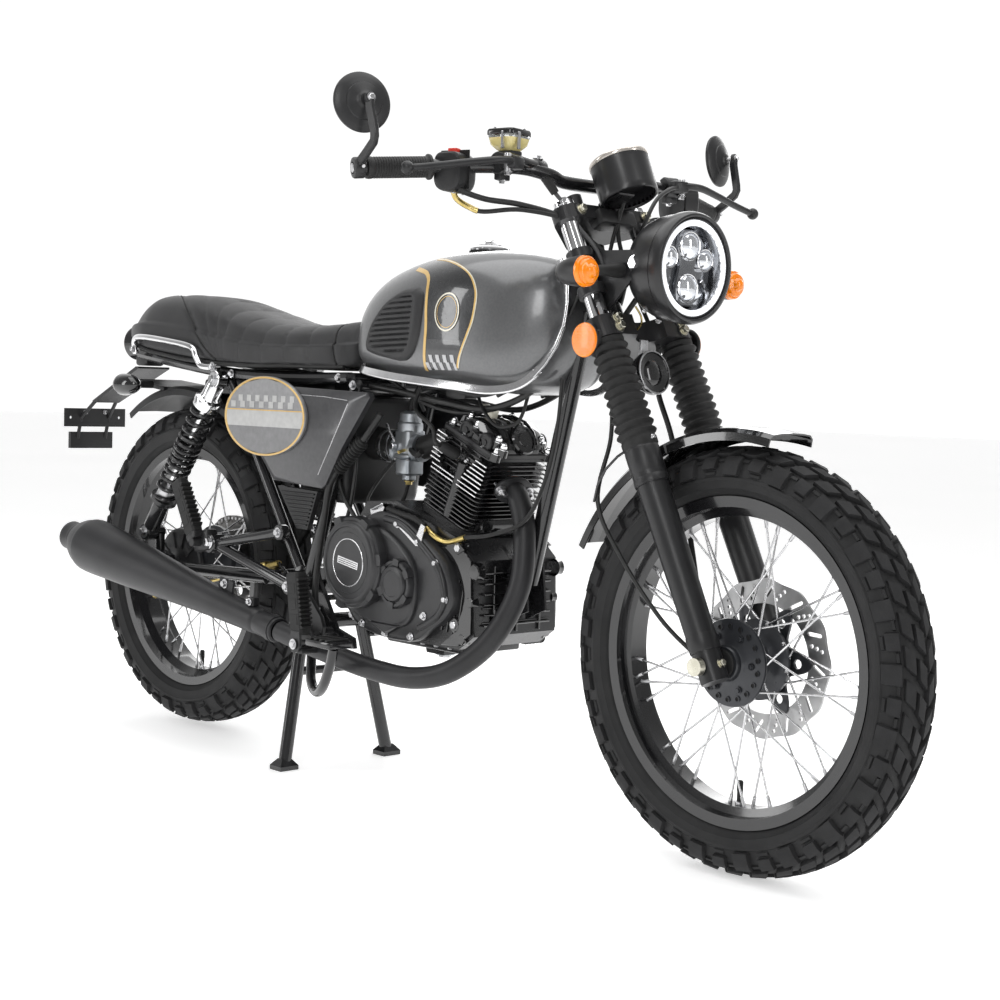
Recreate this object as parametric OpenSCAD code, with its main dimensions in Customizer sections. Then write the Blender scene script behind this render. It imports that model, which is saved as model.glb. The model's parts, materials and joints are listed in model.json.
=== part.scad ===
// Cafe racer motorcycle, air-cooled single, parked upright on its centre stand.
// Millimetres. +X forward, +Y left, +Z up. The design frame has its origin on the
// floor under the rear axle; place() then moves the whole machine so that the
// origin is at the bottom centre of its box.

/* [Wheels] */
// Distance between the two axles
wheelbase = 1415; // [1405:1:1425]
// Outer radius of the front tyre
front_tyre_r = 315; // [312:1:317]
// Outer radius of the rear tyre
rear_tyre_r = 320; // [317:1:322]
// Width of the front tyre
front_tyre_w = 92; // [90:1:96]
// Width of the rear tyre
rear_tyre_w = 122; // [118:1:126]
// Radius of the rim flange of the 18 inch rims
flange_r = 242; // [240:0.5:243]
// Height of the rear axle above the floor
rear_axle_z = 328; // [328:1:330]

/* [Steering] */
// Steering head angle from the vertical
rake = 26; // [25.5:0.1:26.5]
// Distance of the fork legs in front of the steering axis
fork_offset = 50; // [49:0.5:51]
// Half the distance between the fork legs
fork_half = 78; // [77:0.5:79]
// Radius of the fork stanchions
stanchion_r = 15.5; // [15:0.1:16]
// Radius of the fork sliders
slider_r = 25; // [24:0.5:25.5]
// Radius of the front brake disc
disc_r = 120; // [110:1:122]

/* [Body] */
// Half width of the fuel tank at its widest
tank_half = 136; // [130:1:140]
// Half width of the seat
seat_half = 114; // [110:1:115]
// Width of the front mudguard
fender_w = 100; // [96:1:102]
// Radius of the headlight shell
lamp_r = 84; // [80:1:86]

/* [Exhaust] */
// Radius of the exhaust pipe
pipe_r = 18; // [16:0.5:19]
// Largest radius of the silencer
silencer_r = 54; // [50:1:56]

/* [Hidden] */
$fn = 48;
x_mid = 628;
front_axle_z = front_tyre_r;
bead_r = 229;

module place() { translate([-x_mid, 0, 0]) children(); }
// Fork frame: origin at the front axle, +Z up along the fork legs, +X forward of them.
module fork() { translate([wheelbase, 0, front_axle_z]) rotate([0, -rake, 0]) children(); }
module mirror_y() { children(); mirror([0, 1, 0]) children(); }
module front_wheel_at() { translate([wheelbase, 0, front_axle_z]) children(); }
module rear_wheel_at() { translate([0, 0, rear_axle_z]) children(); }
// A solid of revolution about the Y axis, from a polygon of [radius, y].
module turned(p) { rotate([-90, 0, 0]) rotate_extrude($fn = 96) polygon(p); }
module disc_y(r, y0, y1) { translate([0, y0, 0]) rotate([-90, 0, 0]) cylinder(r = r, h = y1 - y0); }
module at_y(y0, y1) { translate([0, y1, 0]) rotate([90, 0, 0]) linear_extrude(y1 - y0) children(); }
module rod(p, q, r) {
  d = q - p; l = norm(d);
  translate(p) rotate([0, acos(d[2] / l), atan2(d[1], d[0])]) cylinder(h = l, r = r);
}

// Curves through points, and round tubes swept along them.
function unit(v) = v / norm(v);
function spline(p, n) = let(m = len(p) - 1)
  concat([for (i = [0:m - 1]) for (k = [0:n - 1]) let(t = k / n,
    a = p[max(i - 1, 0)], b = p[i], c = p[i + 1], d = p[min(i + 2, m)])
    0.5 * (2 * b + (c - a) * t + (2 * a - 5 * b + 4 * c - d) * t * t + (3 * b - a - 3 * c + d) * t * t * t)],
    [p[m]]);
function tangent(p, i) = let(m = len(p) - 1)
  i == 0 ? unit(p[1] - p[0]) : i == m ? unit(p[m] - p[m - 1])
  : unit(unit(p[i] - p[i - 1]) + unit(p[i + 1] - p[i]));
module sweep(p, r, n = 10, up = [0, 0, 1]) {
  m = len(p);
  rr = [for (i = [0:m - 1]) is_list(r) ? r[i] : r];
  pts = [for (i = [0:m - 1]) let(t = tangent(p, i), s = unit(cross(t, up)), u = cross(s, t),
    k = (i == 0 || i == m - 1) ? 1 : 1 / max(0.7, unit(p[i] - p[i - 1]) * t))
    for (j = [0:n - 1]) p[i] + rr[i] * k * (cos(360 * j / n) * s + sin(360 * j / n) * u)];
  side = [for (i = [0:m - 2]) for (j = [0:n - 1]) let(a = i * n + j, b = i * n + (j + 1) % n)
    each [[a, b, a + n], [b, b + n, a + n]]];
  polyhedron(pts, concat([[for (j = [n - 1:-1:0]) j]], side,
    [[for (j = [0:n - 1]) (m - 1) * n + j]]));
}
// A closed skin through rings of equal point counts.
module loft(rings) {
  m = len(rings); n = len(rings[0]);
  pts = [for (r = rings) each r];
  side = [for (i = [0:m - 2]) for (j = [0:n - 1]) let(a = i * n + j, b = i * n + (j + 1) % n)
    each [[a, a + n, b], [b, a + n, b + n]]];
  polyhedron(pts, concat([[for (j = [0:n - 1]) j]], side,
    [[for (j = [n - 1:-1:0]) (m - 1) * n + j]]));
}
function spow(v, e) = (v < 0 ? -1 : 1) * pow(abs(v), e);

// ---------------------------------------------------------------- frame
module main_frame() color("#17181a") {
  // Steering head, with the bore that the steering stem turns in
  fork() translate([-fork_offset, 0, 562]) difference() {
    union() {
      cylinder(r = 26, h = 136);
      cylinder(r = 29, h = 12);
      translate([0, 0, 124]) cylinder(r = 29, h = 12);
    }
    translate([0, 0, -1]) cylinder(r = 15.08, h = 138);
  }
  // Backbone, down tube, rear posts and the cross tubes that join them
  rod([1062, 0, 850], [612, 0, 754], 18);
  rod([1072, 0, 828], [957, 0, 384], 14);
  rod([1034, 0, 740], [900, 0, 800], 10);
  rod([612, 0, 754], [602, 0, 700], 14);
  rod([602, -88, 698], [602, 88, 698], 12);
  rod([502, -88, 442], [502, 88, 442], 11);
  rod([482, -104, 345], [482, 104, 345], 16);
  mirror_y() {
    rod([600, 88, 698], [480, 92, 345], 13);
    // Front engine plates, and the lower plates that carry the stands
    at_y(18, 22) polygon([[944, 440], [964, 440], [976, 340], [930, 320], [925, 400]]);
    at_y(84, 92) polygon([[420, 250], [446, 246], [590, 236], [612, 238], [608, 256], [560, 268], [520, 330], [500, 356], [466, 356]]);
  }
  // Pins that the two stands swing on
  rod([430, -94, 262], [430, 94, 262], 8);
  rod([600, 88, 243.0526], [600, 121, 253.4737], 6);
}
module subframe() color("#17181a") {
  mirror_y() {
    sweep(spline([[584, 92, 712], [400, 92, 710], [215, 92, 716], [0, 88, 738], [-130, 76, 752]], 4), 11, 10);
    rod([454, 95, 366], [222, 95, 698], 10);
    // Shock pins
    rod([213, 84, 704], [213, 130, 704], 8);
  }
  rod([-120, -80, 751], [-120, 80, 751], 10);
  rod([236, -92, 715], [236, 92, 715], 10);
  rod([560, -92, 712], [560, 92, 712], 10);
}
// ---------------------------------------------------------------- engine
module engine_block() color("#101113") {
  difference() {
    at_y(-92, 92) polygon([[590, 310], [628, 278], [700, 270], [890, 272], [925, 296], [920, 420],
      [885, 452], [720, 505], [640, 500], [596, 440]]);
    // Room for the chain and its front sprocket
    at_y(58, 100) polygon([[560, 318], [640, 318], [664, 345], [664, 400], [640, 424], [560, 424]]);
  }
  // Oil drain boss
  at_y(-40, 10) polygon([[740, 272], [800, 272], [792, 246], [748, 246]]);
}
// The barrel's own frame: +Z up the bore, tilted forward.
module bore_frame() { translate([790, 0, 470]) rotate([0, 19, 0]) children(); }
module cylinder_barrel() color("#131416") bore_frame() difference() {
  union() {
    translate([0, 0, 14]) cylinder(r = 46, h = 102);
    translate([-58, -58, 14]) cube([116, 116, 8]);
    for (i = [0:9]) translate([-62 - (i > 1 ? 6 : 0), -76, 27 + i * 9]) cube([128 + (i > 1 ? 6 : 0), 152, 3.2]);
  }
  translate([0, 0, 20]) cylinder(r = 28, h = 100);
}
module cylinder_head() color("#0f1012") bore_frame() {
  difference() {
    union() {
      translate([-64, -72, 116.5]) cube([128, 144, 44]);
      for (i = [0:2]) translate([-70, -80, 122 + i * 13]) cube([142, 160, 3.4]);
      hull() {
        translate([-52, -62, 160]) cube([104, 124, 20]);
        translate([-34, -52, 176]) cube([68, 104, 18]);
      }
      rotate([90, 0, 0]) translate([0, 168, -66]) cylinder(r = 24, h = 132);
    }
    // Exhaust port
    translate([58, -20, 128]) rotate([0, 90, 0]) cylinder(r = 16, h = 40);
  }
}
module engine_covers() color("#1a1b1d") {
  // Clutch cover on the right, with its round outer cap
  at_y(-112, -92) polygon([[592, 330], [636, 286], [760, 276], [862, 286], [892, 330], [884, 400], [830, 452], [700, 482], [606, 440]]);
  translate([652, 0, 396]) {
    disc_y(80, -138, -112);
    disc_y(66, -145, -138);
  }
  translate([766, 0, 366]) { disc_y(40, -130, -112); disc_y(32, -136, -130); }
  // Generator cover on the left
  at_y(92, 108) polygon([[600, 330], [650, 288], [870, 284], [915, 310], [900, 400], [840, 436], [610, 440]]);
  translate([806, 0, 362]) { disc_y(72, 108, 122); disc_y(54, 122, 128); }
  translate([668, 0, 378]) disc_y(52, 108, 118);
}
module carburettor() color("#b6b8ba") {
  translate([662, -18, 592]) {
    rotate([0, 86, 0]) translate([0, 0, -34]) cylinder(r = 24, h = 68);
    cylinder(r = 23, h = 44);
    translate([0, 0, 44]) cylinder(r = 19, h = 16);
    translate([-22, -22, -50]) cube([44, 44, 40]);
    translate([0, 0, -62]) cylinder(r = 9, h = 14);
  }
  // Rubber intake stubs to the head and to the airbox
  rod([694, -18, 594], [752, -12, 610], 21);
  rod([570, -18, 598], [630, -18, 594], 25);
}
exhaust_path = spline([[924, -20, 552], [952, -26, 528], [982, -38, 462], [988, -54, 380], [958, -84, 296],
  [896, -112, 240], [822, -130, 219], [730, -140, 221], [610, -148, 236], [480, -155, 258]], 4);
module exhaust_pipe() color("#1c1d1f") sweep(exhaust_path, pipe_r, 14, [0, 1, 0.2]);
// The silencer's own frame: +Z runs back along it.
module silencer_frame() {
  a = [476, -155, 258.5]; b = [-212, -182, 376]; d = b - a; l = norm(d);
  translate(a) rotate([0, acos(d[2] / l), atan2(d[1], d[0])]) children();
}
module silencer() color("#1b1c1e") silencer_frame() rotate_extrude($fn = 72)
  polygon([[0, 0], [20, 0], [22, 3], [22, 62], [24, 66], [24, 92], [22, 96], [24, 104], [44, 420],
    [silencer_r - 1, 560], [silencer_r, 588], [silencer_r, 612], [silencer_r - 1, 618], [48, 640], [36, 660],
    [30, 672], [28, 700], [25, 700], [25, 660], [0, 650]]);

// ---------------------------------------------------------------- tank and seat
// Rows along the tank: x, top height, seam height, half width, corner power.
tank_rows = [[590, 772, 742, 56, 0.8], [598, 812, 730, 84, 0.72], [622, 862, 722, 104, 0.66], [670, 894, 716, 118, 0.62],
  [740, 914, 709, 129, 0.6], [820, 925, 703, tank_half, 0.6], [900, 928, 697, tank_half - 1, 0.6],
  [970, 922, 692, 124, 0.62], [1020, 910, 703, 104, 0.66], [1052, 892, 738, 80, 0.7], [1068, 862, 780, 58, 0.8]];
function tank_ring(r) = let(n = 32, zc = (r[1] * 0.42 + r[2] * 0.58))
  [for (j = [0:n - 1]) let(a = -360 * j / n, c = cos(a), s = sin(a))
    [r[0], -r[3] * spow(c, r[4]), s > 0 ? zc + (r[1] - zc) * spow(s, r[4] + 0.12) : zc + (zc - r[2]) * spow(s, r[4])]];
module tank_skin() { loft([for (r = tank_rows) tank_ring(r)]); }
module fuel_tank() color("#6d6f72") difference() {
  tank_skin();
  // Tunnel for the backbone and the notch round the steering head
  translate([560, -34, 640]) cube([360, 68, 196]);
  translate([900, -34, 640]) cube([200, 68, 232]);
  translate([1030, -34, 640]) cube([120, 68, 400]);
}
module fuel_cap() color("#c9cbcd") translate([838, 0, 929.5]) rotate([0, 1, 0]) {
  cylinder(r = 34, h = 9);
  translate([0, 0, 9]) cylinder(r = 29, h = 4);
  translate([-6, -16, 13]) cube([12, 32, 9]);
}
module knee_pads() color("#131313") mirror_y() difference() {
  hull() {
    translate([640, 100, 764]) rotate([-90, 0, 0]) cylinder(r = 12, h = 24, $fn = 32);
    translate([668, 112, 822]) rotate([-90, 0, 0]) cylinder(r = 18, h = 14, $fn = 32);
    translate([742, 116, 842]) rotate([-90, 0, 0]) cylinder(r = 24, h = 22, $fn = 32);
    translate([790, 118, 846]) rotate([-90, 0, 0]) cylinder(r = 16, h = 23, $fn = 32);
    translate([738, 118, 764]) rotate([-90, 0, 0]) cylinder(r = 18, h = 22, $fn = 32);
  }
  tank_skin();
}
// Rows along the seat: x, top, bottom, upper half width, lower half width.
seat_rows = [[584, 806, 752, 64, 50], [574, 816, 733, 82, 66], [548, 814, 730, 96, 84], [460, 808, 730, 108, 98], [330, 811, 731, seat_half, 104],
  [215, 834, 733, seat_half, 104], [80, 864, 742, 112, 102], [-54, 871, 757, 106, 92], [-110, 862, 768, 98, 80],
  [-160, 836, 780, 80, 62], [-206, 802, 786, 52, 40]];
function seat_ring(r) = let(h = r[1] - r[2])
  [for (q = [[0, 0], [0.92, 0.02], [1, 0.12], [0.99, 0.4], [0.95, 0.66], [0.84, 0.86], [0.62, 0.97], [0.3, 1], [0, 1]])
    [r[0], -(q[1] > 0.5 ? r[4] + (r[3] - r[4]) * (1 - q[1]) : r[3]) * q[0], r[2] + h * q[1]]];
function ring_sym(h) = concat(h, [for (i = [len(h) - 2:-1:1]) [h[i][0], -h[i][1], h[i][2]]]);
module seat() color("#141415") loft([for (r = seat_rows) ring_sym(seat_ring(r))]);

// ---------------------------------------------------------------- bodywork
module side_panels() mirror_y() {
  // Faceted panel, then the oval number plate that stands outside it
  color("#3f4043") at_y(112, 124) polygon([[300, 690], [466, 694], [680, 688], [600, 590], [552, 516], [404, 524], [330, 600]]);
  color("#3f4043") translate([0, 124, 0]) hull() {
    at_y(0, 1) polygon([[470, 690], [676, 684], [600, 592], [552, 520], [440, 524]]);
    at_y(5, 7) polygon([[500, 676], [640, 672], [590, 600], [545, 540], [470, 545]]);
  }
  color("#1c1c1e") at_y(106, 118) polygon([[408, 514], [528, 510], [500, 440], [468, 440]]);
  color("#b9b7b0") translate([390, 132, 639]) scale([1, 1, 1]) oval_plate();
}
module oval_plate() intersection() {
  translate([-124, -4, -80]) cube([248, 10, 160]);
  rotate([-90, 0, 0]) hull() {
    translate([-52, 0, 0]) cylinder(r = 70, h = 6, center = true);
    translate([52, 0, 0]) cylinder(r = 70, h = 6, center = true);
  }
}
module fender_arc(r, w, t, a0, a1) rotate([90, 0, 0]) rotate([0, 0, a0]) rotate_extrude(angle = a1 - a0, $fn = 96)
  polygon([[r - 20, -w / 2], [r - 8, -w / 2 + 1], [r - 2, -w / 2 + 8], [r, -w / 4], [r + 1, 0], [r, w / 4], [r - 2, w / 2 - 8],
    [r - 8, w / 2 - 1], [r - 20, w / 2], [r - 20, w / 2 - t], [r - 9, w / 2 - t - 1], [r - 4, w / 2 - 10], [r - t, w / 4],
    [r - t + 1, 0], [r - t, -w / 4], [r - 4, -w / 2 + 10], [r - 9, -w / 2 + t + 1], [r - 20, -w / 2 + t]]);
module rear_fender() color("#18191a") {
  rear_wheel_at() fender_arc(362, 136, 3, 52, 122);
  // Flat tail plate under the seat
  translate([-196, -60, 683]) rotate([0, 12, 0]) cube([8, 120, 6]);
  hull() {
    translate([-190, -56, 690]) cube([4, 112, 10]);
    translate([-60, -68, 678]) cube([4, 136, 8]);
  }
}
module tail_lamps() {
  color("#1b1b1d") {
    translate([-262, 0, 776]) rotate([0, 90, 0]) cylinder(r = 36, h = 54);
    translate([-246, -26, 728]) cube([52, 52, 34]);
    mirror_y() rod([-96, 71, 690], [-96, 106, 688], 6);
    mirror_y() translate([-104, 124, 688]) rotate([0, 90, 0]) rotate_extrude()
      polygon([[0, -34], [14, -32], [20, -22], [21, 14], [15, 34], [0, 42]]);
  }
  color("#8f1512") translate([-276, 0, 776]) rotate([0, 90, 0]) cylinder(r = 34, h = 14);
}
module plate_bracket() color("#202124") {
  // Tongue that slopes back from the tail, and the reflector under it
  hull() {
    translate([-214, -38, 722]) cube([10, 76, 4]);
    translate([-402, -30, 646]) cube([10, 60, 4]);
  }
  difference() {
    translate([-444, -75, 592]) cube([4, 150, 40]);
    mirror_y() translate([-442, 60, 612]) rotate([0, 90, 0]) cylinder(r = 3.2, h = 20, center = true);
  }
  mirror_y() rod([-398, 26, 648], [-441, 34, 612], 4);
  mirror_y() rod([-441, 34, 612], [-456, 34, 566], 4);
  translate([-464, -52, 544]) cube([10, 104, 36]);
}
module grab_rail() color("#c8cacc") {
  mirror_y() sweep(spline([[213, 120, 726], [166, 124, 728], [146, 124, 744], [126, 124, 764], [40, 123, 776], [-60, 118, 784],
    [-104, 108, 778], [-112, 101, 752]], 4), 6, 8);
}

// ---------------------------------------------------------------- rear suspension
module swingarm() color("#17181a") {
  mirror_y() {
    difference() {
      at_y(86, 98) polygon([[-34, 306], [-34, 350], [-20, 362], [24, 352], [28, 304]]);
      rear_wheel_at() disc_y(8.02, 80, 110);
    }
    rod([24, 92, 328], [352, 92, 340], 13);
    // Lug that carries the shock
    rod([-20, 92, 352], [-21, 92, 392], 9);
    rod([-21, 84, 396], [-21, 130, 396], 8);
  }
  rod([350, -98, 340], [350, 98, 340], 15);
  mirror_y() difference() {
    rod([350, 60, 340], [482, 60, 345], 13);
    rod([482, 30, 345], [482, 104, 345], 16.2);
  }
  difference() {
    rod([482, -76, 345], [482, 76, 345], 25);
    rod([482, -90, 345], [482, 90, 345], 16.1);
  }
}
module rear_axle() color("#b9bbbd") rear_wheel_at() {
  disc_y(7.9, -122, 122);
  mirror_y() disc_y(14, 98.2, 110);
}
module rear_shocks() mirror_y() {
  a = [-21, 118, 396]; b = [213, 118, 704];
  d = b - a; l = norm(d);
  translate(a) rotate([0, acos(d[2] / l), atan2(d[1], d[0])]) {
    color("#c8cacc") difference() {
      union() {
        rotate([90, 0, 0]) translate([0, 0, -11]) cylinder(r = 15, h = 22);
        translate([0, 0, 12]) cylinder(r = 16, h = 110);
        translate([0, 0, 100]) cylinder(r = 6, h = l - 112);
        translate([0, 0, l - 62]) cylinder(r = 27, h = 16);
        translate([0, 0, l - 48]) cylinder(r = 18, h = 36);
        translate([0, 0, l]) rotate([90, 0, 0]) translate([0, 0, -11]) cylinder(r = 15, h = 22);
        translate([0, 0, 84]) cylinder(r = 27, h = 8);
      }
      rotate([90, 0, 0]) cylinder(r = 8.1, h = 40, center = true);
      translate([0, 0, l]) rotate([90, 0, 0]) cylinder(r = 8.1, h = 40, center = true);
    }
    // Coil spring as its closed outline
    color("#141416") difference() {
      translate([0, 0, 92.2]) cylinder(r = 27, h = l - 154.4);
      translate([0, 0, 90]) cylinder(r = 18, h = l - 150);
    }
  }
}
module drive_chain() color("#55575a") {
  // Upper and lower runs, and the wraps round the two sprockets
  difference() {
    at_y(66, 74) hull() {
      translate([0, rear_axle_z]) circle(r = 96);
      translate([612, 372]) circle(r = 38);
    }
    at_y(60, 80) hull() {
      translate([0, rear_axle_z]) circle(r = 88.3);
      translate([612, 372]) circle(r = 30);
    }
  }
}
module chain_guard() color("#161618")
  at_y(62, 80) polygon([[60, 452], [300, 440], [420, 424], [420, 420], [300, 436], [60, 448]]);

module footrests() {
  color("#17181a") {
    mirror_y() {
      // Rider footrest hangers, and the arms that hold the folded pegs outside the pipe
      at_y(124, 132) polygon([[466, 330], [496, 352], [566, 290], [572, 272], [560, 238], [536, 240], [520, 280]]);
      rod([484, 105.4, 345], [484, 126, 345], 9);
      rod([560, 126, 284], [584, 178, 290], 8);
      // Passenger brackets: two tubes that meet at a boss
      rod([250, 134, 396], [440, 128, 430], 9);
      rod([250, 134, 396], [470, 128, 336], 9);
      rod([438, 106, 430], [438, 128, 430], 7);
      translate([232, 122, 384]) cube([30, 26, 26]);
    }
  }
  color("#121213") mirror_y() {
    translate([568, 178, 256]) cube([34, 24, 120]);
    hull() { translate([214, 148, 404]) cube([34, 22, 10]); translate([178, 148, 500]) cube([34, 22, 10]); }
  }
}
module foot_controls() color("#17181a") {
  // Brake pedal, looped under the exhaust pipe
  sweep(spline([[540, -112, 246], [550, -116, 212], [584, -158, 172], [620, -186, 166], [656, -200, 206], [684, -204, 256]], 3), 8, 10, [0, 1, 0.3]);
  translate([660, -232, 262]) cube([56, 50, 10]);
  rod([540, -123.8, 252], [540, -96, 252], 12);
  // Gear lever
  rod([668, 118, 300], [668, 136, 300], 10);
  rod([668, 134, 300], [790, 150, 262], 6);
  rod([788, 140, 262], [788, 196, 262], 10);
}
module rear_brake() {
  color("#2a2b2d") rear_wheel_at() difference() {
    union() { disc_y(74, -62, -50); disc_y(18, -85, -62); }
    disc_y(8.02, -100, 0);
  }
  color("#c4a24a") {
    rod([-58, -70, 262], [330, -74, 300], 3);
    rod([-66, -70, 261], [-50, -70, 263], 8);
  }
  color("#2a2b2d") rod([-30, -68, 284], [-52, -68, 252], 6);
}

// ---------------------------------------------------------------- steering
module steering_yokes() color("#1a1b1d") fork() {
  translate([-fork_offset, 0, 508]) cylinder(r = 15, h = 230);
  difference() {
    union() {
      hull() {
        translate([-fork_offset, 0, 516]) cylinder(r = 32, h = 34, $fn = 32);
        mirror_y() translate([0, fork_half, 516]) cylinder(r = 25, h = 34, $fn = 32);
      }
      hull() {
        translate([-fork_offset, 0, 716]) cylinder(r = 30, h = 22, $fn = 32);
        mirror_y() translate([0, fork_half, 716]) cylinder(r = 24, h = 22, $fn = 32);
      }
      mirror_y() translate([-10, 40, 736]) cylinder(r = 13, h = 34);
    }
    mirror_y() translate([0, fork_half, 500]) cylinder(r = stanchion_r + 0.02, h = 300);
    translate([12, 0, 700]) cylinder(r = 24, h = 60);
    translate([34, 0, 500]) cylinder(r = 34, h = 60);
  }
  translate([-fork_offset, 0, 738]) cylinder(r = 17, h = 10, $fn = 6);
}
module fork_tubes() color("#c9cbcd") fork() mirror_y() translate([0, fork_half, 0]) {
  translate([0, 0, 210]) cylinder(r = stanchion_r, h = 534);
  translate([0, 0, 744]) cylinder(r = 16.5, h = 6);
}
module fork_sliders() color("#1d1e20") fork() mirror_y() translate([0, fork_half, 0]) difference() {
  union() {
    translate([0, 0, 20]) cylinder(r1 = slider_r - 3, r2 = slider_r - 1, h = 260);
    translate([0, 0, 280]) cylinder(r = slider_r + 1, h = 58);
    translate([0, 0, -26]) cylinder(r = 21, h = 50);
  }
  translate([0, 0, 200]) cylinder(r = stanchion_r + 0.05, h = 150);
  rotate([90, 0, 0]) cylinder(r = 7.55, h = 80, center = true);
}
module fork_gaiters() color("#151516") fork() mirror_y() translate([0, fork_half, 340])
  rotate_extrude() polygon(concat([[stanchion_r + 0.1, 0], [27, 0], [27, 8]],
    [for (i = [0:10]) each [[31 - i * 0.3, 14 + i * 13.4], [26 - i * 0.2, 20.5 + i * 13.4]]], [[24, 162], [22, 172], [stanchion_r + 0.1, 172]]));
module front_fender() color("#111213") {
  front_wheel_at() fender_arc(342, fender_w, 2.5, 78, 154);
  // Brackets that bolt to the sliders, and the bridge between them
  fork() mirror_y() {
    translate([-20, fender_w / 2 - 8, 322]) cube([40, 9.8, 14]);
  }
}
bar_path = [[1068, 0, 1024], [1068, 60, 1025], [1072, 96, 1032], [1066, 150, 1038], [1044, 220, 1035], [1006, 320, 1026], [979, 390, 1019]];
module handlebar() color("#17181a") {
  mirror_y() sweep(spline(bar_path, 4), 11, 12, [1, 0, 0]);
  fork() mirror_y() difference() {
    translate([-10, 40, 770.2]) cylinder(r = 15, h = 34);
    translate([-2, 20, 787]) rotate([-90, 0, 0]) cylinder(r = 11.2, h = 44);
  }
}
module hand_grips() color("#141414") mirror_y() {
  difference() {
    rod([1016, 290, 1028], [981, 384, 1019.4], 16);
    rod([1023.4, 270, 1030], [973.6, 404, 1017.5], 12.8);
  }
}
module hand_controls() color("#161617") {
  // Switch housings, perches and levers on both sides
  mirror_y() {
    difference() {
      translate([1028, 250, 1033]) rotate([0, 0, 20]) cube([40, 52, 44], center = true);
      sweep(spline(bar_path, 4), 11.8, 12, [1, 0, 0]);
    }
    difference() {
      translate([1060, 190, 1040]) rotate([0, 0, 12]) cube([44, 34, 34], center = true);
      sweep(spline(bar_path, 4), 11.8, 12, [1, 0, 0]);
    }
    sweep(spline([[1084, 196, 1042], [1084, 240, 1036], [1062, 300, 1028], [1046, 372, 1018]], 3), 6, 8);
    translate([1046, 374, 1017.5]) sphere(r = 9, $fn = 20);
  }
  // Brake fluid reservoir on the right
  translate([1062, -176, 1058]) {
    cylinder(r = 10, h = 12);
    translate([-22, -24, 10]) cube([44, 48, 22]);
    translate([-25, -27, 32]) cube([50, 54, 10]);
  }
}
module mirrors() color("#121213") mirror_y() {
  rod([978, 391.5, 1018.6], [974, 402, 1017.6], 14);
  sweep(spline([[978, 398, 1024], [990, 404, 1040], [1008, 408, 1062], [1012, 406, 1086], [998, 402, 1106]], 3), 5, 8, [0, 1, 0]);
  translate([986, 398, 1112]) rotate([0, 84, 16]) cylinder(r1 = 44, r2 = 30, h = 12);
  translate([986, 398, 1112]) rotate([0, 84, 16]) translate([0, 0, -5]) cylinder(r = 44, h = 5);
}
module headlight() {
  color("#131415") translate([1190, 0, 893]) rotate([0, 92, 0]) {
    rotate_extrude($fn = 72) polygon([[0, 16], [50, 16], [68, 26], [78, 44], [lamp_r - 2, 68], [lamp_r - 2, 82], [lamp_r, 84], [lamp_r, 96],
      [lamp_r - 6, 104], [lamp_r - 12, 104], [lamp_r - 12, 90], [0, 90]]);
  }
  color("#dfe5ea") translate([1190, 0, 893]) rotate([0, 92, 0]) translate([0, 0, 88]) cylinder(r = lamp_r - 13, h = 13);
  // Side brackets from the shell to the fork legs
  color("#131415") mirror_y() {
    at_y(52, 57) polygon([[1122, 916], [1132, 846], [1158, 846], [1214, 870], [1216, 900]]);
    fork() for (z = [590, 650]) difference() {
      union() {
        translate([0, fork_half, z]) cylinder(r = 21, h = 16);
        translate([-8, 54, z]) cube([16, 10, 16]);
      }
      translate([0, fork_half, z - 1]) cylinder(r = stanchion_r + 0.02, h = 18);
    }
    rod([1209, 54, 885], [1209, 70, 885], 9);
  }
}
module instrument() {
  color("#141415") translate([1150, 0, 1006]) rotate([0, -24, 0]) {
    cylinder(r = 46, h = 52);
    translate([0, 0, -8]) cylinder(r = 38, h = 8);
  }
  color("#c9cbcd") translate([1150, 0, 1006]) rotate([0, -24, 0]) translate([0, 0, 52]) difference() {
    cylinder(r = 48, h = 8);
    translate([0, 0, 4]) cylinder(r = 42, h = 6);
  }
  color("#141415") rod([1100, 0, 986], [1146, 0, 1002], 8);
}
module front_signals() {
  color("#151516") mirror_y() {
    rod([1206, 70.8, 884], [1206, 150, 878], 6.5);
    translate([1198, 165, 876]) rotate([0, 90, 0]) rotate_extrude() polygon([[0, -28], [12, -26], [20, -12], [23, 8], [23, 24], [0, 24]]);
  }
  color("#151516") mirror_y() rod([1186, 103.4, 782], [1186, 113, 782], 8);
  color("#e8820c") mirror_y() {
    translate([1222.2, 165, 876]) rotate([0, 90, 0]) rotate_extrude() polygon([[0, 0], [22, 0], [21, 12], [14, 20], [0, 23]]);
    // Round side reflectors beside the lower yoke
    translate([1180, 112, 778]) rotate([-90, 0, 0]) cylinder(r = 26, h = 7);
  }
}
module brake_caliper() color("#1b1c1e") fork() rotate([0, -58, 0]) {
  difference() {
    union() {
      translate([-38, 31, 80]) cube([76, 36, 54]);
      translate([-26, 67, 86]) cube([52, 10, 38]);
    }
    translate([-50, 40.5, 60]) cube([100, 11, 63]);
  }
  translate([30, 53, 60]) cube([14, 8, 40]);
}
module front_axle() color("#c6c3a0") front_wheel_at() {
  disc_y(7.5, -108, 108);
  disc_y(13, -114, -103);
  disc_y(12, 103, 110);
}
module front_cables() color("#121213") {
  // Brake hose from the caliper, and the speedometer cable on the right
  sweep(spline([[1266, 62, 400], [1246, 66, 470], [1224, 64, 560], [1204, 56, 640], [1182, 46, 710], [1184, 44, 771]], 4), 4.5, 8, [0, 1, 0]);
  sweep(spline([[1362, -60, 328], [1320, -82, 372], [1256, -98, 452], [1206, -104, 536], [1196, -70, 630], [1176, -48, 706], [1184, -44, 771]], 4), 3.5, 8, [0, 1, 0]);
}

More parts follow.
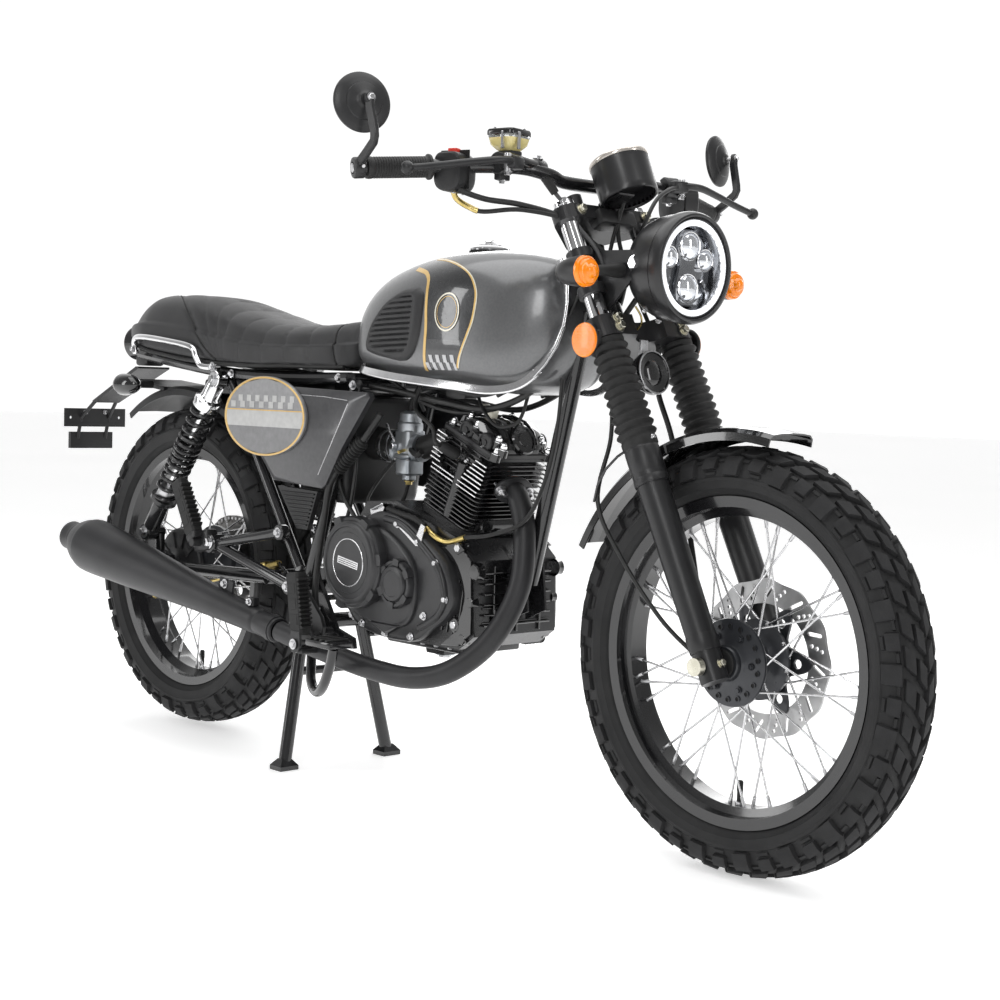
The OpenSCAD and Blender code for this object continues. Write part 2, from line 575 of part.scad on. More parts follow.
// ---------------------------------------------------------------- wheels
function tyre_profile(ro, w, h) = [[bead_r, -h + 7], [flange_r + 1, -h + 4.5], [flange_r + 4, -h - 1], [flange_r + 18, -w * 0.48], [flange_r + 34, -w * 0.5],
  [ro - 20, -w * 0.475], [ro - 9, -w * 0.38], [ro - 3, -w * 0.2], [ro, 0], [ro - 3, w * 0.2], [ro - 9, w * 0.38], [ro - 20, w * 0.475],
  [flange_r + 34, w * 0.5], [flange_r + 18, w * 0.48], [flange_r + 4, h + 1], [flange_r + 1, h - 4.5], [bead_r, h - 7],
  [bead_r, h - 16], [flange_r + 8, h - 12], [flange_r + 34, w * 0.5 - 8], [ro - 24, w * 0.36], [ro - 16, 0], [ro - 24, -w * 0.36],
  [flange_r + 34, -w * 0.5 + 8], [flange_r + 8, -h + 12], [bead_r, -h + 16]];
function rim_profile(h) = [[flange_r, -h], [flange_r, -h + 3], [bead_r + 2, -h + 3.5], [bead_r - 0.2, -h + 6], [bead_r - 0.2, -h + 17],
  [218, -13], [218, 13], [bead_r - 0.2, h - 17], [bead_r - 0.2, h - 6], [bead_r + 2, h - 3.5], [flange_r, h - 3], [flange_r, h],
  [bead_r - 3, h - 1], [bead_r - 4, h - 17], [213, 15], [213, -15], [bead_r - 4, -h + 17], [bead_r - 3, -h + 1]];
module tyre(ro, w, h) color("#1a1a1b") turned(tyre_profile(ro, w, h));
module rim(h) color("#141415") turned(rim_profile(h));
module spokes(rh, yh, n) color("#c9cbcd")
  for (k = [0:n - 1]) for (s = [-1, 1]) {
    a = 360 * k / n + (s > 0 ? 180 / n : 0);
    e = (k % 2 == 0 ? 1 : -1);
    rod([rh * cos(a), s * (yh + 2.2 * e), rh * sin(a)],
      [214.5 * cos(a + e * 34), s * (5 + 1.5 * e), 214.5 * sin(a + e * 34)], 1.6, $fn = 16);
  }
module front_tyre() front_wheel_at() tyre(front_tyre_r, front_tyre_w, 34.8);
module front_rim() front_wheel_at() rim(34.8);
module front_spokes() front_wheel_at() spokes(58, 27, 18);
module front_hub() color("#2a2b2d") front_wheel_at() difference() {
  turned([[0, -50], [24, -50], [26, -40], [40, -36], [64, -32], [64, -26], [40, -22], [34, 0], [38, 20], [60, 24], [60, 30], [46, 31], [46, 40], [30, 41], [28, 50], [0, 50]]);
    disc_y(7.56, -60, 60);
    for (i = [0:8]) rotate([0, i * 40, 0]) translate([51, 0, 0]) disc_y(5, -50, 34);
}
module brake_disc() front_wheel_at() {
  color("#b9bbbd") difference() {
    disc_y(disc_r, 44, 48);
    disc_y(84, 30, 60);
    for (i = [0:17]) rotate([0, i * 20, 0]) translate([102 + (i % 3) * 5 - 5, 0, 0]) disc_y(3.5, 30, 60);
  }
  color("#1b1b1d") difference() {
    disc_y(84, 41.2, 46);
    disc_y(32, 30, 60);
    for (i = [0:5]) rotate([0, i * 60, 0]) translate([64, 0, 0]) disc_y(12, 30, 60);
  }
}
module rear_tyre() rear_wheel_at() tyre(rear_tyre_r, rear_tyre_w, 44.3);
module rear_rim() rear_wheel_at() rim(44.3);
module rear_spokes() rear_wheel_at() spokes(69, 28, 18);
module rear_hub() color("#1b1c1e") rear_wheel_at() difference() {
  turned([[0, -48], [70, -48], [78, -44], [78, -24], [68, -20], [64, 0], [68, 20], [78, 24], [78, 32], [48, 36], [46, 64], [0, 64]]);
  disc_y(8.06, -60, 80);
}
module rear_sprocket() color("#8d8f92") rear_wheel_at() difference() {
  disc_y(88, 66, 72);
  disc_y(24, 50, 80);
  for (i = [0:5]) rotate([0, i * 60, 0]) translate([64, 0, 0]) disc_y(11, 50, 80);
}

// ---------------------------------------------------------------- stands
// Centre stand, down: its feet are a little ahead of its pivot.
module centre_stand() color("#17181a") {
  difference() {
    rod([430, -80, 262], [430, 80, 262], 14);
    rod([430, -90, 262], [430, 90, 262], 8.05);
  }
  mirror_y() {
    difference() {
      rod([430, 66, 262], [452, 118, 13], 12);
      rod([430, 40, 262], [430, 90, 262], 8.05);
    }
    hull() { translate([436, 100, 0]) cube([34, 40, 8]); translate([446, 110, 8]) cube([14, 20, 12]); }
  }
  rod([438, -84, 174], [438, 84, 174], 8);
}
module side_stand() color("#17181a") {
  // Sleeve on the tilted pivot, then the leg and its foot, folded back
  difference() {
    union() {
      rod([600, 99.5, 246.6842], [600, 120.5, 253.3158], 14);
      rod([592, 110, 249], [404, 117, 232], 9);
    }
    rod([600, 80, 240.5263], [600, 140, 259.4737], 6.25);
  }
  hull() { translate([378, 100, 222]) cube([34, 34, 6]); translate([396, 108, 228]) cube([14, 16, 8]); }
}

place() main_frame();
place() subframe();
place() engine_block();
place() cylinder_barrel();
place() cylinder_head();
place() engine_covers();
place() carburettor();
place() exhaust_pipe();
place() silencer();
place() fuel_tank();
place() fuel_cap();
place() knee_pads();
place() seat();
place() side_panels();
place() rear_fender();
place() tail_lamps();
place() plate_bracket();
place() grab_rail();
place() swingarm();
place() rear_axle();
place() rear_shocks();
place() drive_chain();
place() chain_guard();
place() footrests();
place() foot_controls();
place() rear_brake();
place() steering_yokes();
place() fork_tubes();
place() fork_sliders();
place() fork_gaiters();
place() front_fender();
place() handlebar();
place() hand_grips();
place() hand_controls();
place() mirrors();
place() headlight();
place() instrument();
place() front_signals();
place() brake_caliper();
place() front_axle();
place() front_cables();
place() front_tyre();
place() front_rim();
place() front_spokes();
place() front_hub();
place() brake_disc();
place() rear_tyre();
place() rear_rim();
place() rear_spokes();
place() rear_hub();
place() rear_sprocket();
place() centre_stand();
place() side_stand();
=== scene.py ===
# Looks for the cafe racer motorcycle. Metres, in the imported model's frame.
import json, math
import bpy, bmesh
import numpy as np
from mathutils import Matrix, Vector
from mathutils.bvhtree import BVHTree

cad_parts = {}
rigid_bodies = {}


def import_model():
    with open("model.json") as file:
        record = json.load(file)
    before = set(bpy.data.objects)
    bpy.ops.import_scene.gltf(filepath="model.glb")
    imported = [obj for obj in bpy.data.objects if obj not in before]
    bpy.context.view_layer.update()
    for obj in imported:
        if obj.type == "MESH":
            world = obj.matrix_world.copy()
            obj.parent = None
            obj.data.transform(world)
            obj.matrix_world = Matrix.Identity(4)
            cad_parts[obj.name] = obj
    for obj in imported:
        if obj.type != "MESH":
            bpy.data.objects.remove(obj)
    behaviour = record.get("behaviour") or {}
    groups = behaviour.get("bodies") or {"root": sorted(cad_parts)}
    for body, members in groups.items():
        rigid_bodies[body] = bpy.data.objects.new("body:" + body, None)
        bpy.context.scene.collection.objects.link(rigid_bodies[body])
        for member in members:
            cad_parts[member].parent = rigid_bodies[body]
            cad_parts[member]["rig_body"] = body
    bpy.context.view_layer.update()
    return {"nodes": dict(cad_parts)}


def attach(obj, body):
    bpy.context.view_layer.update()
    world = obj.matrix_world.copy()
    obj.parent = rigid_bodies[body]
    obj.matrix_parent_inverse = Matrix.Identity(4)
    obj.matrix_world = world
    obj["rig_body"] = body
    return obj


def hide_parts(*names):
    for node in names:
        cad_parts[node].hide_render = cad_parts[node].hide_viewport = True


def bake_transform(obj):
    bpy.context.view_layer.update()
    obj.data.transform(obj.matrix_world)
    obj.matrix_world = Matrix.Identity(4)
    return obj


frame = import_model()
NODES = frame["nodes"]
XM = 628.0
rad = math.radians


def P(x, y, z):
    """Design millimetres to metres in the row frame."""
    return Vector(((x - XM) / 1000.0, y / 1000.0, z / 1000.0))


# The fork frame: origin at the front axle, +Z up the legs.
FORK = Matrix.Translation(P(1415, 0, 315)) @ Matrix.Rotation(rad(-26), 4, "Y")


def F(x, y, z):
    return FORK @ Vector((x / 1000.0, y / 1000.0, z / 1000.0))


# ------------------------------------------------------------ materials
def _ramp(nt, fac, stops):
    r = nt.nodes.new("ShaderNodeValToRGB")
    while len(r.color_ramp.elements) < len(stops):
        r.color_ramp.elements.new(0.5)
    for e, (p, c) in zip(r.color_ramp.elements, stops):
        e.position = p
        e.color = (c[0], c[1], c[2], 1) if not isinstance(c, (int, float)) else (c, c, c, 1)
    nt.links.new(fac, r.inputs[0])
    return r


def mat(name, a, b=None, rough=(0.3, 0.4), metal=0.0, scale=40.0, detail=6.0, bump=0.05, bscale=None, kind="noise",
        coat=0.0, coat_rough=0.05, spec=0.5, trans=0.0, ior=1.45, sheen=0.0, aniso=0.0, emit=0.0, alpha=1.0, dist=0.001):
    m = bpy.data.materials.new(name)
    m.use_nodes = True
    nt = m.node_tree
    s = nt.nodes["Principled BSDF"]
    b = b or a
    tc = nt.nodes.new("ShaderNodeTexCoord")
    n = nt.nodes.new("ShaderNodeTexNoise")
    n.inputs["Scale"].default_value = scale
    n.inputs["Detail"].default_value = detail
    nt.links.new(tc.outputs["Object"], n.inputs["Vector"])
    c = _ramp(nt, n.outputs["Fac"], [(0.3, a), (0.72, b)])
    nt.links.new(c.outputs[0], s.inputs["Base Color"])
    n2 = nt.nodes.new("ShaderNodeTexNoise")
    n2.inputs["Scale"].default_value = scale * 0.37
    n2.inputs["Detail"].default_value = 4
    nt.links.new(tc.outputs["Object"], n2.inputs["Vector"])
    r = _ramp(nt, n2.outputs["Fac"], [(0.32, rough[0]), (0.7, rough[1])])
    nt.links.new(r.outputs[0], s.inputs["Roughness"])
    s.inputs["Metallic"].default_value = metal
    s.inputs["Specular IOR Level"].default_value = spec
    s.inputs["Coat Weight"].default_value = coat
    s.inputs["Coat Roughness"].default_value = coat_rough
    s.inputs["IOR"].default_value = ior
    s.inputs["Transmission Weight"].default_value = trans
    s.inputs["Sheen Weight"].default_value = sheen
    s.inputs["Alpha"].default_value = alpha
    if emit:
        nt.links.new(c.outputs[0], s.inputs["Emission Color"])
        s.inputs["Emission Strength"].default_value = emit
    if bump:
        if kind == "leather":
            t = nt.nodes.new("ShaderNodeTexVoronoi")
            t.feature = "SMOOTH_F1"
            out = t.outputs["Distance"]
        elif kind == "flake":
            t = nt.nodes.new("ShaderNodeTexVoronoi")
            out = t.outputs["Distance"]
        else:
            t = nt.nodes.new("ShaderNodeTexNoise")
            t.inputs["Detail"].default_value = 5
            out = t.outputs["Fac"]
        t.inputs["Scale"].default_value = bscale or scale * 4
        nt.links.new(tc.outputs["Object"], t.inputs["Vector"])
        bn = nt.nodes.new("ShaderNodeBump")
        bn.inputs["Strength"].default_value = bump
        bn.inputs["Distance"].default_value = dist
        nt.links.new(out, bn.inputs["Height"])
        nt.links.new(bn.outputs[0], s.inputs["Normal"])
    return m


M = {
    "frame": mat("frame_black_m", (0.010, 0.010, 0.011), (0.016, 0.016, 0.017), (0.16, 0.27), scale=30, bump=0.05, bscale=420, coat=0.6, coat_rough=0.08),
    "satin": mat("satin_black_m", (0.014, 0.014, 0.015), (0.022, 0.022, 0.023), (0.32, 0.42), scale=25, bump=0.12, bscale=700),
    "bowl": mat("lamp_bowl_m", (0.013, 0.013, 0.014), (0.019, 0.019, 0.02), (0.3, 0.38), scale=18, bump=0.05, bscale=600, coat=0.25, coat_rough=0.2),
    "block": mat("crankcase_m", (0.011, 0.011, 0.012), (0.02, 0.02, 0.021), (0.2, 0.36), scale=22, bump=0.22, bscale=330, coat=0.3, coat_rough=0.15),
    "cover": mat("cover_m", (0.017, 0.017, 0.018), (0.028, 0.028, 0.03), (0.3, 0.42), scale=26, bump=0.18, bscale=620, coat=0.15, coat_rough=0.2),
    "fin": mat("fin_black_m", (0.008, 0.008, 0.009), (0.015, 0.015, 0.016), (0.14, 0.28), scale=30, bump=0.1, bscale=300, coat=0.5, coat_rough=0.1),
    "edge": mat("fin_edge_m", (0.62, 0.62, 0.63), (0.83, 0.83, 0.84), (0.16, 0.3), 1.0, scale=60, bump=0.12, bscale=900),
    "exhaust": mat("exhaust_m", (0.014, 0.014, 0.015), (0.024, 0.024, 0.026), (0.36, 0.48), scale=14, bump=0.15, bscale=900),
    "graphite": mat("tank_paint_m", (0.135, 0.137, 0.14), (0.158, 0.16, 0.163), (0.32, 0.38), 0.6, scale=260, bump=0.006, bscale=2600, coat=0.7, coat_rough=0.13),
    "band": mat("tank_band_m", (0.035, 0.036, 0.038), (0.05, 0.051, 0.053), (0.2, 0.3), 0.5, scale=200, bump=0.015, bscale=2000, kind="flake", coat=1.0, coat_rough=0.04),
    "gold": mat("gold_line_m", (0.62, 0.40, 0.13), (0.72, 0.49, 0.18), (0.3, 0.42), 0.25, scale=90, bump=0.03, coat=0.6),
    "pale": mat("pale_line_m", (0.72, 0.68, 0.55), (0.8, 0.77, 0.66), (0.3, 0.42), 0.05, scale=90, bump=0.03, coat=0.6),
    "silver_sq": mat("check_silver_m", (0.42, 0.42, 0.43), (0.52, 0.52, 0.53), (0.28, 0.4), 0.35, scale=120, bump=0.03, coat=0.6),
    "seam": mat("seam_lip_m", (0.72, 0.72, 0.73), (0.82, 0.82, 0.83), (0.1, 0.2), 1.0, scale=50, bump=0.04, bscale=500),
    "chrome": mat("chrome_m", (0.78, 0.78, 0.79), (0.86, 0.86, 0.87), (0.04, 0.1), 1.0, scale=40, bump=0.015, bscale=300),
    "steel": mat("steel_m", (0.5, 0.5, 0.51), (0.66, 0.66, 0.67), (0.22, 0.36), 1.0, scale=70, bump=0.08, bscale=800),
    "zinc": mat("zinc_m", (0.55, 0.53, 0.44), (0.7, 0.68, 0.58), (0.2, 0.34), 1.0, scale=70, bump=0.08, bscale=600),
    "goldzinc": mat("gold_zinc_m", (0.5, 0.38, 0.12), (0.66, 0.52, 0.22), (0.24, 0.36), 1.0, scale=80, bump=0.05, bscale=500),
    "cast": mat("carb_cast_m", (0.40, 0.43, 0.46), (0.55, 0.57, 0.59), (0.34, 0.5), 0.9, scale=50, bump=0.3, bscale=420),
    "copper": mat("copper_m", (0.45, 0.16, 0.07), (0.6, 0.24, 0.12), (0.3, 0.45), 1.0, scale=50, bump=0.1),
    "rubber": mat("rubber_m", (0.012, 0.012, 0.012), (0.02, 0.02, 0.02), (0.5, 0.62), scale=40, bump=0.2, bscale=520, spec=0.4),
    "pad": mat("knee_pad_m", (0.022, 0.022, 0.023), (0.03, 0.03, 0.031), (0.42, 0.55), scale=40, bump=0.2, bscale=900, spec=0.45),
    "grip": mat("grip_m", (0.011, 0.011, 0.011), (0.018, 0.018, 0.018), (0.48, 0.6), scale=60, bump=0.3, bscale=700),
    "tyre": mat("tyre_m", (0.0135, 0.0135, 0.014), (0.021, 0.021, 0.0215), (0.5, 0.66), scale=28, bump=0.3, bscale=460, spec=0.35),
    "tread": mat("tread_m", (0.016, 0.016, 0.0165), (0.026, 0.026, 0.027), (0.55, 0.72), scale=36, bump=0.3, bscale=640, spec=0.3),
    "vinyl": mat("seat_vinyl_m", (0.020, 0.020, 0.021), (0.029, 0.029, 0.03), (0.4, 0.5), scale=18, bump=0.32, bscale=1150, kind="leather", spec=0.42, dist=0.0004),
    "seamline": mat("seat_seam_m", (0.006, 0.006, 0.006), (0.01, 0.01, 0.01), (0.6, 0.75), scale=60, bump=0.2),
    "panel": mat("side_panel_m", (0.045, 0.045, 0.048), (0.06, 0.06, 0.063), (0.28, 0.36), 0.35, scale=120, bump=0.03, bscale=1600, kind="flake", coat=0.5, coat_rough=0.12),
    "plate": mat("oval_plate_m", (0.27, 0.27, 0.275), (0.33, 0.33, 0.335), (0.3, 0.4), 0.45, scale=90, bump=0.03, coat=0.5),
    "plate_lo": mat("oval_plate_low_m", (0.20, 0.20, 0.205), (0.25, 0.25, 0.255), (0.3, 0.4), 0.45, scale=90, bump=0.03, coat=0.5),
    "plate_hi": mat("oval_plate_high_m", (0.46, 0.46, 0.455), (0.54, 0.54, 0.53), (0.3, 0.4), 0.3, scale=90, bump=0.03, coat=0.5),
    "plastic": mat("plastic_m", (0.014, 0.014, 0.0145), (0.021, 0.021, 0.022), (0.36, 0.48), scale=30, bump=0.25, bscale=900),
    "gloss": mat("gloss_black_m", (0.007, 0.007, 0.0075), (0.011, 0.011, 0.0115), (0.08, 0.14), scale=20, bump=0.02, bscale=300, coat=0.9, coat_rough=0.03),
    "rim": mat("rim_black_m", (0.008, 0.008, 0.009), (0.013, 0.013, 0.014), (0.12, 0.22), scale=24, bump=0.04, bscale=350, coat=0.7, coat_rough=0.06),
    "hub": mat("hub_m", (0.028, 0.03, 0.034), (0.042, 0.044, 0.05), (0.26, 0.38), 0.35, scale=30, bump=0.14, bscale=500, coat=0.3),
    "disc": mat("disc_m", (0.34, 0.34, 0.345), (0.5, 0.5, 0.5), (0.26, 0.4), 1.0, scale=26, bump=0.15, bscale=900),
    "spoke": mat("spoke_m", (0.6, 0.6, 0.61), (0.75, 0.75, 0.76), (0.16, 0.28), 1.0, scale=80, bump=0.03),
    "spring": mat("spring_m", (0.012, 0.012, 0.013), (0.02, 0.02, 0.021), (0.2, 0.3), scale=50, bump=0.06, bscale=500, coat=0.4),
    # amber: its faint emission is a painted glow on the unlit signal lenses and the side reflectors
    "amber": mat("amber_painted_glow_m", (0.9, 0.22, 0.002), (0.95, 0.27, 0.004), (0.12, 0.2), scale=60, bump=0.05, bscale=350, coat=0.5, coat_rough=0.06, emit=0.06),
    "smoke": mat("smoke_lens_m", (0.05, 0.045, 0.045), (0.075, 0.07, 0.068), (0.1, 0.2), scale=60, bump=0.05, bscale=350, coat=0.6),
    "red": mat("red_lens_m", (0.32, 0.012, 0.01), (0.42, 0.02, 0.016), (0.1, 0.18), scale=60, bump=0.06, bscale=350, coat=0.8),
    "redsw": mat("red_switch_m", (0.66, 0.03, 0.02), (0.75, 0.05, 0.03), (0.35, 0.45), scale=60, bump=0.05),
    "white": mat("halo_m", (0.86, 0.88, 0.92), (0.95, 0.96, 0.98), (0.25, 0.35), scale=40, bump=0.02, emit=0.55),
    "reflector": mat("lamp_reflector_m", (0.30, 0.31, 0.33), (0.52, 0.53, 0.55), (0.08, 0.2), 1.0, scale=22, bump=0.06, bscale=120),
    "lens": mat("lamp_lens_m", (0.72, 0.74, 0.78), (0.85, 0.87, 0.9), (0.02, 0.06), 0.85, scale=30, bump=0.0),
    "mirror": mat("mirror_glass_m", (0.86, 0.87, 0.88), (0.9, 0.9, 0.91), (0.01, 0.03), 1.0, scale=10, bump=0.0),
    "dial": mat("dial_m", (0.012, 0.012, 0.014), (0.02, 0.02, 0.022), (0.4, 0.5), scale=50, bump=0.04),
    "bezel": mat("bezel_m", (0.62, 0.57, 0.52), (0.76, 0.71, 0.66), (0.16, 0.28), 0.7, scale=40, bump=0.02),
    "tanring": mat("bezel_glass_m", (0.5, 0.45, 0.4), (0.62, 0.56, 0.5), (0.1, 0.18), 0.1, scale=30, bump=0.02, coat=0.8),
    # brake fluid: its faint emission is a painted glow, light through the reservoir painted into the fluid
    "fluid": mat("brake_fluid_painted_glow_m", (0.66, 0.56, 0.22), (0.76, 0.67, 0.34), (0.08, 0.16), scale=30, bump=0.0, coat=0.8, emit=0.06),
    "clear": mat("clear_cup_m", (0.72, 0.74, 0.74), (0.82, 0.84, 0.84), (0.03, 0.07), scale=20, bump=0.0, trans=0.92, ior=1.3),
    "glass": mat("lamp_glass_m", (0.95, 0.96, 0.97), (1, 1, 1), (0.01, 0.02), scale=20, bump=0.0, trans=1.0, ior=1.12),
    "cable": mat("cable_m", (0.012, 0.012, 0.012), (0.02, 0.02, 0.02), (0.36, 0.48), scale=60, bump=0.15, bscale=900),
    "grey": mat("grey_hose_m", (0.05, 0.05, 0.052), (0.07, 0.07, 0.072), (0.4, 0.55), scale=60, bump=0.15, bscale=700),
    "chain": mat("chain_m", (0.16, 0.155, 0.15), (0.26, 0.255, 0.25), (0.28, 0.45), 1.0, scale=90, bump=0.12, bscale=900),
}


def dress(node, *names):
    o = NODES[node]
    o.data.materials.clear()
    for n in names:
        o.data.materials.append(M[n])
    for p in o.data.polygons:
        p.material_index = 0


# ------------------------------------------------------------ mesh kit
class B:
    """Collects faces for one piece; each part has its own material."""

    def __init__(self):
        self.v, self.f, self.m, self.s = [], [], [], []
        self.mats = []

    def mi(self, name):
        if name not in self.mats:
            self.mats.append(name)
        return self.mats.index(name)

    def add(self, verts, faces, m, smooth=True):
        o = len(self.v)
        self.v += [tuple(v) for v in verts]
        k = self.mi(m)
        for f in faces:
            self.f.append(tuple(o + i for i in f))
            self.m.append(k)
            self.s.append(smooth)

    def rings(self, rings, m, cap0=True, cap1=True, closed=True, loop=False, smooth=True):
        n = len(rings[0])
        v = [p for r in rings for p in r]
        f = []
        R = len(rings)
        for i in range(R if loop else R - 1):
            a, b = i * n, ((i + 1) % R) * n
            for j in range(n if closed else n - 1):
                k = (j + 1) % n
                f.append((a + j, a + k, b + k, b + j))
        self.add(v, f, m, smooth)
        if not loop:
            if cap0:
                self.add(rings[0], [tuple(range(n - 1, -1, -1))], m, False)
            if cap1:
                self.add(rings[-1], [tuple(range(n))], m, False)

    def tube(self, pts, r, m, n=14, caps=True, up=None):
        pts = [Vector(p) for p in pts]
        rr = r if isinstance(r, (list, tuple)) else [r] * len(pts)
        t0 = (pts[1] - pts[0]).normalized()
        u = Vector(up) if up else (Vector((0, 0, 1)) if abs(t0.z) < 0.9 else Vector((1, 0, 0)))
        u = (u - u.dot(t0) * t0).normalized()
        rings = []
        for i, p in enumerate(pts):
            t = (pts[min(i + 1, len(pts) - 1)] - pts[max(i - 1, 0)]).normalized()
            u = (u - u.dot(t) * t).normalized()
            w = t.cross(u)
            rings.append([p + rr[i] * (math.cos(a) * u + math.sin(a) * w) for a in [2 * math.pi * j / n for j in range(n)]])
        self.rings(rings, m, caps, caps)

    def rod(self, p, q, r, m, n=16, bev=0.0):
        p, q = Vector(p), Vector(q)
        d = (q - p).normalized()
        if bev:
            self.tube([p, p + d * bev, q - d * bev, q], [r - bev, r, r, r - bev], m, n)
        else:
            self.tube([p, q], r, m, n)

    def lathe(self, mx, prof, m, n=32, a0=0.0, a1=None):
        """prof: [(radius, height)] about mx's Z, metres. m may be a list, one per profile segment."""
        full = a1 is None
        k = n if full else n + 1
        A = [a0 + (2 * math.pi if full else a1 - a0) * j / n for j in range(k)]
        R = [[mx @ Vector((r * math.cos(a), r * math.sin(a), z)) for a in A] for r, z in prof]
        for i in range(len(R) - 1):
            mm = m[i] if isinstance(m, (list, tuple)) else m
            v = R[i] + R[i + 1]
            f = [(j, (j + 1) % k, k + (j + 1) % k, k + j) for j in range(k if full else k - 1)]
            self.add(v, f, mm)
        return self

    def ball(self, c, r, m, n=16, h=10):
        c = Vector(c)
        prof = [(r * math.sin(math.pi * i / h) + 1e-6, -r * math.cos(math.pi * i / h)) for i in range(h + 1)]
        self.lathe(Matrix.Translation(c), prof, m, n)

    def box(self, mx, sx, sy, sz, m, bev=0.001, seg=1):
        """Box centred on mx with chamfered edges."""
        bm = bmesh.new()
        bmesh.ops.create_cube(bm, size=1.0)
        for v in bm.verts:
            v.co = Vector((v.co.x * sx, v.co.y * sy, v.co.z * sz))
        if bev:
            bmesh.ops.bevel(bm, geom=list(bm.edges), offset=bev, segments=seg, affect="EDGES", profile=0.5)
        bm.verts.ensure_lookup_table()
        v = [mx @ x.co for x in bm.verts]
        f = [[y.index for y in x.verts] for x in bm.faces]
        bm.free()
        self.add(v, f, m, bev > 0 and seg > 1)

    def prism(self, mx, poly, h, m, m_side=None, bev=0.0):
        """poly: [(x, y)] extruded by h along mx's Z."""
        n = len(poly)
        c = Vector((sum(p[0] for p in poly) / n, sum(p[1] for p in poly) / n))
        def inset(d):
            out = []
            for i in range(n):
                a, b, e = Vector(poly[i - 1]), Vector(poly[i]), Vector(poly[(i + 1) % n])
                d1, d2 = (b - a).normalized(), (e - b).normalized()
                nn = Vector((-(d1 + d2).y, (d1 + d2).x))
                nn = nn.normalized() if nn.length > 1e-9 else Vector((-d1.y, d1.x))
                k = max(0.5, nn.dot(Vector((-d1.y, d1.x))))
                out.append(b + nn * d / k)
            return out
        area = sum(poly[i - 1][0] * poly[i][1] - poly[i][0] * poly[i - 1][1] for i in range(n))
        if area < 0:
            poly = list(poly)[::-1]
        if bev:
            ins = inset(bev)
            lv = [(ins, 0), (poly, bev), (poly, h - bev), (ins, h)]
        else:
            lv = [(poly, 0), (poly, h)]
        R = [[mx @ Vector((q[0], q[1], z)) for q in pl] for pl, z in lv]
        for i in range(len(R) - 1):
            v = R[i] + R[i + 1]
            f = [(j, (j + 1) % n, n + (j + 1) % n, n + j) for j in range(n)]
            self.add(v, f, m_side or m, False)
        self.add(R[0], [tuple(range(n - 1, -1, -1))], m, False)
        self.add(R[-1], [tuple(range(n))], m, False)

    def bolt(self, p, d, r, m="steel", h=0.006, washer=True):
        """Hex head with a washer; d points outward."""
        p, d = Vector(p), Vector(d).normalized()
        mx = Matrix.Translation(p) @ d.to_track_quat("Z", "Y").to_matrix().to_4x4()
        if washer:
            self.lathe(mx, [(0.0001, 0.0), (r * 1.5, 0.0), (r * 1.5, 0.0012), (r * 0.4, 0.0012)], m, 16)
        z = 0.0012
        hexa = [(r * math.cos(rad(60 * i)), r * math.sin(rad(60 * i))) for i in range(6)]
        self.prism(mx @ Matrix.Translation((0, 0, z)), hexa, h, m, None, r * 0.12)

    def done(self, name, body, replaces=(), sharp=38, sub=0):
        me = bpy.data.meshes.new(name)
        me.from_pydata(self.v, [], self.f)
        me.materials.clear()
        for k in self.mats:
            me.materials.append(M[k])
        me.polygons.foreach_set("material_index", self.m)
        me.polygons.foreach_set("use_smooth", self.s)
        me.update()
        bm = bmesh.new()
        bm.from_mesh(me)
        bmesh.ops.remove_doubles(bm, verts=bm.verts, dist=2e-6)
        bmesh.ops.recalc_face_normals(bm, faces=bm.faces)
        for e in bm.edges:
            if len(e.link_faces) == 2 and e.link_faces[0].normal.length > 0 and e.link_faces[1].normal.length > 0 \
                    and e.calc_face_angle(0) > rad(sharp):
                e.smooth = False
        for f in bm.faces:
            f.smooth = True
        bm.to_mesh(me)
        bm.free()
        o = bpy.data.objects.new(name, me)
        bpy.context.scene.collection.objects.link(o)
        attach(o, body)
        if replaces:
            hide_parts(*replaces)
        return o


def spline(pts, n=6):
    """Points on a smooth curve through pts (design millimetres) in metres."""
    p = [Vector(q) for q in pts]
    out = []
    m = len(p) - 1
    for i in range(m):
        a, b, c, d = p[max(i - 1, 0)], p[i], p[i + 1], p[min(i + 2, m)]
        for k in range(n):
            t = k / n
            out.append(0.5 * (2 * b + (c - a) * t + (2 * a - 5 * b + 4 * c - d) * t * t + (3 * b - a - 3 * c + d) * t ** 3))
    out.append(p[m])
    return out


def S(pts, n=6):
    return [P(*q) for q in spline(pts, n)]


def lookmx(p, d, x=None):
    """Matrix at p with Z along d."""
    d = Vector(d).normalized()
    if x is None:
        return Matrix.Translation(Vector(p)) @ d.to_track_quat("Z", "Y").to_matrix().to_4x4()
    x = Vector(x)
    x = (x - x.dot(d) * d).normalized()
    y = d.cross(x)
    return Matrix(((x.x, y.x, d.x, p[0]), (x.y, y.y, d.y, p[1]), (x.z, y.z, d.z, p[2]), (0, 0, 0, 1)))


MM = 0.001


# ------------------------------------------------------------ wheels
def curve_at(Q, s):
    """Point and outward normal on the tyre's section at s in [-1, 1]; Q is half a section, (y, r) from the crown."""
    a = abs(s)
    L = [0.0]
    for i in range(1, len(Q)):
        L.append(L[-1] + math.dist(Q[i], Q[i - 1]))
    t = a * L[-1]
    i = max(1, next((k for k in range(1, len(L)) if L[k] >= t - 1e-9), len(L) - 1))
    u = (t - L[i - 1]) / (L[i] - L[i - 1])
    y = Q[i - 1][0] + (Q[i][0] - Q[i - 1][0]) * u
    r = Q[i - 1][1] + (Q[i][1] - Q[i - 1][1]) * u
    ty, tr = Q[i][0] - Q[i - 1][0], Q[i][1] - Q[i - 1][1]
    n = math.hypot(ty, tr)
    ny, nr = -tr / n, ty / n
    return (y if s >= 0 else -y), r, (ny if s >= 0 else -ny), nr


